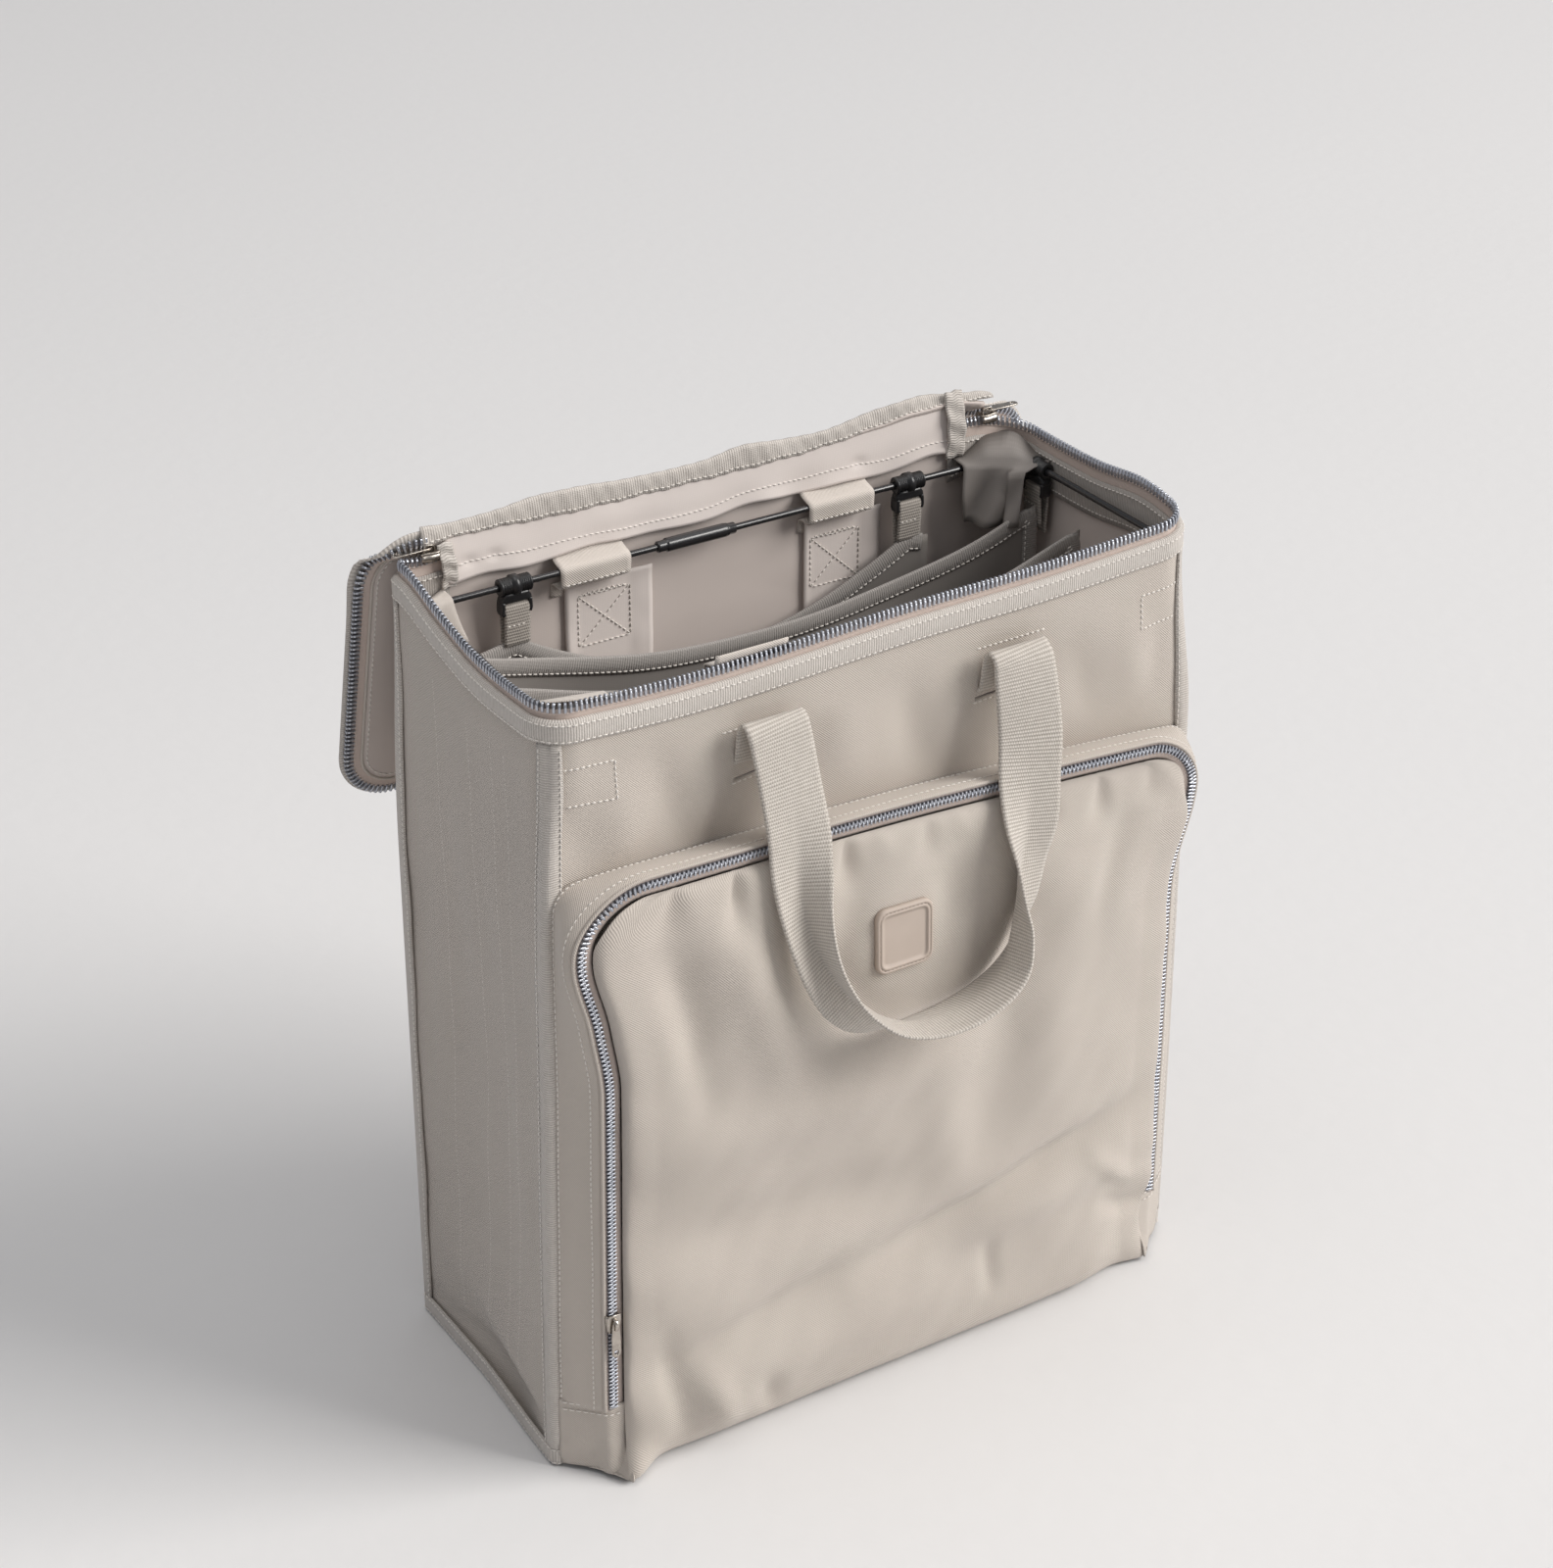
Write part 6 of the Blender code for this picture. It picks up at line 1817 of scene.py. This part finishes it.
def thrown_back(points):
    """Turns places drawn on the closed lid (X, reach from the hinge, height) to where it hangs open."""
    turn = math.radians(-LID_OPEN)
    y, z = -points[..., 1], points[..., 2]
    turned_y = HINGE_Y + y * math.cos(turn) - z * math.sin(turn)
    turned_z = HINGE_Z + y * math.sin(turn) + z * math.cos(turn)
    return np.stack([points[..., 0], turned_y, turned_z], -1)


def lid_level(x, out):
    """The lid's own shape: it dips from the seam, and sways a little as loose cloth does."""
    dip = 0.0022 * (1 - smooth(out, 0, 0.008)) - LID_DIP * smooth(out, LID_NECK * 0.4, LID_RAMP)
    inner = np.clip(1 - (abs(x) / LID_HALF) ** 6, 0, 1) * smooth(out, 0.012, 0.05)
    inner = inner * (1 - smooth(out, 0.15, LID_FAR))
    return dip + 0.0022 * rumple(x, out, 0.17, 91) * inner


def lid_place(x, out, level=0.0):
    """Places on the closed lid. Near the hinge it follows the seam's height."""
    rise = (seam_level(x) - SEAM_Z) * (1 - smooth(out, 0, 0.04)) * (1 - smooth(x, 0.165, 0.200))
    return np.stack([x, out - rise, lid_level(x, out) + level], -1)


def beside_lid(offset, level, spread=0.0):
    """A path this far outside the lid's edge, from seam end to seam end. It spreads at the shoulders."""
    half = LID_HALF
    left = rounded_run([(STRIP_LEFT, LID_NEAR[0]), (-half, LID_NEAR[0]), (-half, 0.08)], LID_SHOULDER_RADIUS)
    right = rounded_run([(half, 0.08), (half, LID_NEAR[1]), (STRIP_RIGHT, LID_NEAR[1])], LID_SHOULDER_RADIUS)
    middle = rounded_run([(-half, 0.08), (-half, LID_FAR), (half, LID_FAR), (half, 0.08)], LID_RADIUS)
    edge = evenly(np.concatenate([left, middle[1:], right[1:]]), 0.003)
    along = directions(edge)
    wide = offset + spread * (1 - smooth(edge[:, 1], 0.010, 0.055)) * (edge[:, 0] < 0)
    return lid_place(edge[:, 0] - along[:, 1] * wide, edge[:, 1] + along[:, 0] * wide, level)


def lid_plan():
    """Places over the closed lid, row by row out from the hinge, and its lengths of cloth."""
    rounded = LID_FAR - LID_RADIUS * (1 - np.sin(spaced(0, math.pi / 2, 0.12)))
    outs = np.unique(np.concatenate([spaced(0.0, LID_FAR, 0.004), rounded, spaced(0.0, 0.028, 0.0016)]))
    shares = spaced(-1, 1, 0.02)
    rows = []
    for out in outs:
        foot = min(max((out - LID_FAR + LID_RADIUS) / LID_RADIUS, 0), 1)
        cut = LID_RADIUS * (1 - math.sqrt(1 - foot**2))
        ends = []
        for near, seam in zip(LID_NEAR, LID_SEAM):
            over = min(max((out - near) / LID_SHOULDER_RADIUS, 0), 1)
            rounding = LID_SHOULDER_RADIUS * (1 - math.sqrt(1 - (1 - over) ** 2))
            shoulder = rounding if over > 0 else LID_HALF - seam
            ends.append(LID_HALF - max(cut, shoulder))
        rows.append(np.stack([-ends[0] + sum(ends) * (shares + 1) / 2, shares * 0 + out], -1))
    pairs = np.array(rows)
    return pairs[..., 0], pairs[..., 1], (outs, (shares + 1) * LID_HALF)


def sew_lid():
    lid = Cloth()
    x, out, lengths = lid_plan()
    lay_sheet(lid, lid_place(x, out), LID_THICK, lengths, sides=(1, 0))
    sew(lid, beside_lid(-LID_STITCH, LID_THICK / 2 + 0.0001), (0, 0, 1), finish=2)
    looks = {"slot": "twill", "stands_for": ["lid_panel"], "shape": thrown_back}
    lid.make("lid_cloth", "lid", TWILL, LINING, STITCHES, **looks)


def sew_lid_zip():
    tape = Cloth()
    sweep(tape, beside_lid(LID_TAPE / 2, 0.0), UP, strip_profile(LID_TAPE + 0.0012, TAPE_CLOTH))
    sweep(tape, beside_lid(0.0004, LID_THICK / 2), UP, oval(0.0009, 0.0009, 10), finish=1)
    looks = {"slot": "zipper_tape", "stands_for": ["lid_zipper_tape"], "shape": thrown_back}
    tape.make("lid_tape_cloth", "lid", PINK_TAPE, TWILL, **looks)
    teeth = Cloth()
    set_teeth(teeth, beside_lid(LID_TAPE - 0.0006, 0.0)[3:-3], (0, 0, -1), tooth_shape(*RIM_TOOTH))
    looks = {"slot": "zipper_teeth", "shape": thrown_back, "smoothed": False}
    teeth.make("lid_teeth", "lid", PLATED, stands_for=["lid_zipper_teeth"], **looks)


def bind_lid():
    binding = Cloth()
    shares = spaced(0, 1, 1 / 6)
    rows = [beside_lid(LID_BINDING * share - 0.0010, LID_UNDER, LID_SHOULDER * share) for share in shares]
    grid = np.stack(rows, 1)
    lay_sheet(binding, grid, TAPE_THICK, (np.arange(len(grid)) * 0.003, shares * LID_BINDING))
    for offset, spread in ((0.0006, 0.0), (LID_BINDING - 0.0022, LID_SHOULDER)):
        sew(binding, beside_lid(offset, LID_UNDER - TAPE_THICK / 2 - 0.0002, spread), (0, 0, -1), finish=1)
    looks = {"slot": "grosgrain", "stands_for": ["lid_binding"], "shape": thrown_back}
    binding.make("lid_binding_tape", "lid", RIBBED, STITCHES, **looks)


sew_lid()
sew_lid_zip()
bind_lid()


# The sliders. Each zipper slider is a plated die-cast body with a bridge on its back, and a stamped
# pull, pierced at both ends, swings from the bridge.
SLIDER_LONG = 0.0115
SLIDER_PLATE = 0.0014
PULL_LONG = 0.022
PULL_WIDE = 0.0056
PULL_THICK = 0.0014
PULL_LIFT = 0.0016
BRIDGE = (
    *((-0.0038, 0, -PULL_LIFT), (-0.0034, 0, 0.0006), (-0.0018, 0, 0.0017)),
    *((0.0006, 0, 0.0019), (0.0026, 0, 0.0012), (0.0036, 0, -PULL_LIFT)),
)
BRONZE_LIGHT = (0.640, 0.590, 0.530)
BRONZE_DARK = (0.360, 0.325, 0.290)


def plated_finish():
    plated = Finish("plated_die_cast_slider", Metallic=1.0)
    cloudy = plated.noise(plated.in_space(), 220.0, 3.0)
    plated.colour(plated.between(cloudy, BRONZE_DARK, BRONZE_LIGHT))
    plated.roughness(0.20 + cloudy * 0.18)
    plated.relief(cloudy, 0.00005, 0.3)
    return plated.material


NICKEL = plated_finish()


def add_plate(cloth, outlines, thick, bevel, level=0.0):
    """Adds a flat plate with softened edges, cut from closed outlines: its edge first, then its holes."""
    curve = bpy.data.curves.new("plate", "CURVE")
    curve.dimensions = "2D"
    curve.fill_mode = "BOTH"
    curve.extrude = thick / 2 - bevel
    curve.bevel_depth = bevel
    curve.bevel_resolution = 2
    curve.offset = -bevel
    for outline in outlines:
        line = curve.splines.new("POLY")
        line.points.add(len(outline) - 1)
        for point, (u, v) in zip(line.points, outline):
            point.co = (u, v, 0, 1)
        line.use_cyclic_u = True
    holder = bpy.data.objects.new("plate", curve)
    bpy.context.scene.collection.objects.link(holder)
    made = bpy.data.meshes.new_from_object(holder.evaluated_get(bpy.context.evaluated_depsgraph_get()))
    mesh = bmesh.new()
    mesh.from_mesh(made)
    bmesh.ops.remove_doubles(mesh, verts=mesh.verts, dist=0.000001)
    points = np.array([vert.co[:] for vert in mesh.verts])
    faces = [[vert.index for vert in face.verts] for face in mesh.faces]
    mesh.free()
    bpy.data.objects.remove(holder, do_unlink=True)
    bpy.data.curves.remove(curve)
    bpy.data.meshes.remove(made)
    cloth.add(points + (0, 0, level), faces, [[(0, 0)] * len(face) for face in faces])


def slider_casting(teeth_half, deep):
    """A slider's body, with the bridge on its back. The pull's hinge is at the origin."""
    casting = Cloth()
    long, half = SLIDER_LONG, teeth_half + 0.0019
    neck = half * 0.80
    edge = [(-long / 2, half * 0.92), (-long * 0.42, half), (-long * 0.1, half)]
    edge += [(long * 0.25, neck), (long * 0.46, neck), (long / 2, neck * 0.8)]
    edge += [(u, -v) for u, v in edge[::-1]]
    add_plate(casting, [edge], SLIDER_PLATE, 0.00035, -PULL_LIFT - SLIDER_PLATE / 2)
    section = [(-0.0005, -deep / 2), (0.0005, -deep / 2), (0.0005, deep / 2), (-0.0005, deep / 2)]
    for side in (-1, 1):
        wide, narrow = side * (half - 0.0007), side * (neck - 0.0004)
        wall = [(-long * 0.46, wide, 0), (0, wide, 0), (long * 0.24, narrow, 0)]
        wall += [(long * 0.46, side * (neck - 0.0005), 0)]
        run = evenly(np.array(wall, float), 0.001) + (0, 0, -PULL_LIFT - SLIDER_PLATE - deep / 2)
        sweep(casting, run, UP, section)
    run = evenly(np.array(BRIDGE, float), 0.0007)
    side = directions(run)
    sweep(casting, run, np.stack([-side[:, 2], side[:, 0] * 0, side[:, 0]], 1), oval(0.0012, 0.00045, 12))
    return casting


def pull_plate():
    """A pull, hung at the origin and pierced at both ends."""
    pull = Cloth()
    wide = PULL_WIDE / 2
    edge = [(-0.0016, wide * 0.62), (0.0016, wide * 0.80), (0.0050, wide * 0.86), (0.0080, wide)]
    edge += [(PULL_LONG - 0.0040, wide)]
    edge += [(PULL_LONG - wide * (1 - math.sin(a)), wide * math.cos(a)) for a in (0.5, 0.9, 1.3)]
    edge = [(-0.0026, 0.0)] + edge + [(u, -v) for u, v in edge[::-1]]
    head = [(0.0012 + u, v) for u, v in oval(0.0017, wide * 0.42, 20, 0.7, 0.7)]
    foot = [(PULL_LONG - 0.0036 + u, v) for u, v in oval(0.0016, 0.0015, 20)]
    add_plate(pull, [edge, head, foot], PULL_THICK * 0.75, 0.00028)
    return pull


def fit_slider(name, slider, pull, pin, ways, teeth_half, deep):
    """A slider and its pull, from where the pull's hinge is. ways are along, across and outwards."""
    pin, ways = np.array(pin, float), np.array(ways, float)

    def put(points):
        return pin + points[:, :1] * ways[0] + points[:, 1:2] * ways[1] + points[:, 2:] * ways[2]

    looks = {"slot": "nickel", "shape": put}
    casting = slider_casting(teeth_half, deep)
    casting.make(f"{name}_slider_casting", slider, NICKEL, stands_for=[slider], **looks)
    pull_plate().make(f"{name}_pull_plate", pull, NICKEL, stands_for=[pull], **looks)


def fit_sliders():
    tooth_top = TAPE_TOP + 0.0035
    for side, sign, x in (("left", -1, -0.1895), ("right", 1, 0.186)):
        rim = settled(np.array((x, INNER_DEEP, RIM_Z)))
        pin = (x, INNER_DEEP - 0.0007, tooth_top + 0.0005 + SLIDER_PLATE + PULL_LIFT + rim[2] - RIM_Z)
        ways = ((sign, 0, 0), (0, 1, 0), (0, 0, 1))
        fit_slider(f"lid_{side}", f"lid_slider_{side}", f"lid_pull_{side}", pin, ways, 0.0022, 0.0040)
    x = -(FACE_HALF - ZIP_TEETH)
    y = ZIP_Y - 0.0003 - 0.0008 - 0.0018 - 0.0005 - SLIDER_PLATE - PULL_LIFT + 0.0004
    ways = ((0, 0, -1), (1, 0, 0), (0, -1, 0))
    fit_slider("pocket", "pocket_slider", "pocket_pull", (x + 0.0004, y, 0.110), ways, 0.0025, 0.0022)


fit_sliders()


# The handles. Each is one length of 38 mm webbing. The front one comes up out of two slits, folds over
# and hangs; on its way round the loop it turns on edge and buckles lengthwise. The back one lies flat.
WEBBING = 0.0016
WEBBING_WIDE = 0.038
HANDLE_X = 0.0795
HANDLE_NECK = 0.010
BACK_HANDLE_TOP = 0.450
BACK_HANDLE_DROP = 0.206
WEB_FOLD_STEPS = 17
WIDE_WEB = webbing_finish("handle_webbing", WEB_ROW, WEB_BRICK, WEB_LIGHT, WEB_DARK)
SLIT_AND_FOLD = (
    *((-0.0790, 0.4275), (-0.0868, 0.4276), (-0.0893, 0.4310)),
    *((-0.0908, 0.4400), (-0.0925, 0.4500), (-0.0962, 0.4548)),
)
FRONT_HANDLE = (
    *(((-0.0805, y, z), 0, 0, 0) for y, z in SLIT_AND_FOLD),
    ((-0.0800, -0.1003, 0.4520), 0, 0, 0),
    ((-0.0790, -0.1032, 0.4440), 0, 0, 0),
    ((-0.0770, -0.1100, 0.4160), 0, 0, 0),
    ((-0.0765, -0.1165, 0.3930), 4, 0, 8),
    ((-0.0780, -0.1215, 0.3720), 12, 0, 22),
    ((-0.0785, -0.1265, 0.3520), 20, 8, 40),
    ((-0.0760, -0.1320, 0.3310), 28, 12, 50),
    ((-0.0700, -0.1370, 0.3110), 38, 14, 52),
    ((-0.0580, -0.1405, 0.2900), 50, 14, 46),
    ((-0.0410, -0.1430, 0.2740), 62, 12, 34),
    ((-0.0220, -0.1440, 0.2655), 74, 12, 20),
    ((-0.0010, -0.1440, 0.2620), 84, 11, 10),
    ((0.0210, -0.1435, 0.2635), 90, 10, 6),
    ((0.0400, -0.1415, 0.2700), 94, 10, 12),
    ((0.0535, -0.1380, 0.2800), 100, 10, 22),
    ((0.0618, -0.1340, 0.2965), 116, 8, 30),
    ((0.0665, -0.1310, 0.3130), 136, 6, 30),
    ((0.0695, -0.1275, 0.3360), 154, 4, 26),
    ((0.0732, -0.1240, 0.3580), 178, 0, 14),
    ((0.0765, -0.1175, 0.3825), 190, 0, 4),
    ((0.0800, -0.1120, 0.4080), 194, 0, 0),
    ((0.0805, -0.1040, 0.4430), 187, 0, 0),
    ((0.0800, -0.1003, 0.4520), 180, 0, 0),
    *(((0.0795, y, z), 180, 0, 0) for y, z in SLIT_AND_FOLD[::-1]),
)


def eased(stations, step):
    """A smooth path through stations: each is a place, two turns and how far the webbing buckles."""
    knots = np.array([(*place, *rest) for place, *rest in stations], float)
    padded = np.concatenate([2 * knots[:1] - knots[1:2], knots, 2 * knots[-1:] - knots[-2:-1]])
    path = []
    for a, b, c, d in zip(padded, padded[1:], padded[2:], padded[3:]):
        for t in np.linspace(0, 1, 12, endpoint=False):
            square, cube = (2 * a - 5 * b + 4 * c - d) * t**2, (3 * b - a - 3 * c + d) * t**3
            path.append(0.5 * (2 * b + (c - a) * t + square + cube))
    path = np.array(path + [knots[-1]])
    far = far_along(path[:, :3])
    wanted = spaced(0, far[-1], step)
    return resampled(path, wanted, far), wanted


def webbing_grid(path):
    """The webbing as a grid, from its middle line, its turns about Z and off level, and its buckle."""
    run = path[:, :3]
    turn, tip, buckle = (np.radians(path[:, k]) for k in (3, 4, 5))
    wide = np.stack([np.cos(turn) * np.cos(tip), -np.sin(turn) * np.cos(tip), np.sin(tip)], 1)
    along = directions(run)
    wide = square_to(wide, along)
    facing = np.cross(along, wide)
    shares = np.linspace(-1, 1, WEB_FOLD_STEPS)
    bent = np.sqrt(shares**2 + 0.012) - math.sqrt(0.012)
    half = WEBBING_WIDE / 2
    across = half * shares[None, :] * np.cos(buckle)[:, None]
    lifted = half * (bent[None, :] - 0.42) * np.sin(buckle)[:, None]
    grid = run[:, None] + wide[:, None] * across[..., None] + facing[:, None] * lifted[..., None]
    return grid, shares * half


def hanging_flat():
    """The back handle's stations: down from its fold, round its foot and up to its other fold."""
    stations = []
    cheek = HANDLE_X - HANDLE_NECK
    leg = BACK_HANDLE_DROP - cheek
    for share in np.linspace(0, 1, 33):
        side = -1 if share <= 0.5 else 1
        part = 2 * min(share, 1 - share)
        turned = math.radians(90) * max(part * 2 - 1, 0)
        if part <= 0.5:
            x, z = HANDLE_X - HANDLE_NECK * math.sin(math.pi / 2 * part * 2), BACK_HANDLE_TOP - leg * part * 2
        else:
            x, z = cheek * math.cos(turned), BACK_HANDLE_TOP - leg - cheek * math.sin(turned)
        place = (side * x, HALF_DEEP + 0.0022 + 0.026 * math.sin(turned), z)
        stations.append((place, -math.degrees(turned) if side < 0 else math.degrees(turned) - 180, 0, 0))
    return stations


def weave(name, body, hides, stations, step):
    """A handle of webbing along a path through stations."""
    path, length = eased(stations, step)
    grid, across = webbing_grid(path)
    handle = Cloth()
    lay_sheet(handle, grid, WEBBING, (length, across))
    return handle.make(name, body, WIDE_WEB, slot="webbing", stands_for=hides)


def weave_handles():
    hides = ["front_handle", "front_handle_end_left", "front_handle_end_right"]
    made = weave("front_handle_webbing", None, hides, FRONT_HANDLE, 0.0026)
    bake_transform(made)
    weave("back_handle_webbing", "back_handle", ["back_handle"], hanging_flat(), 0.003)


weave_handles()
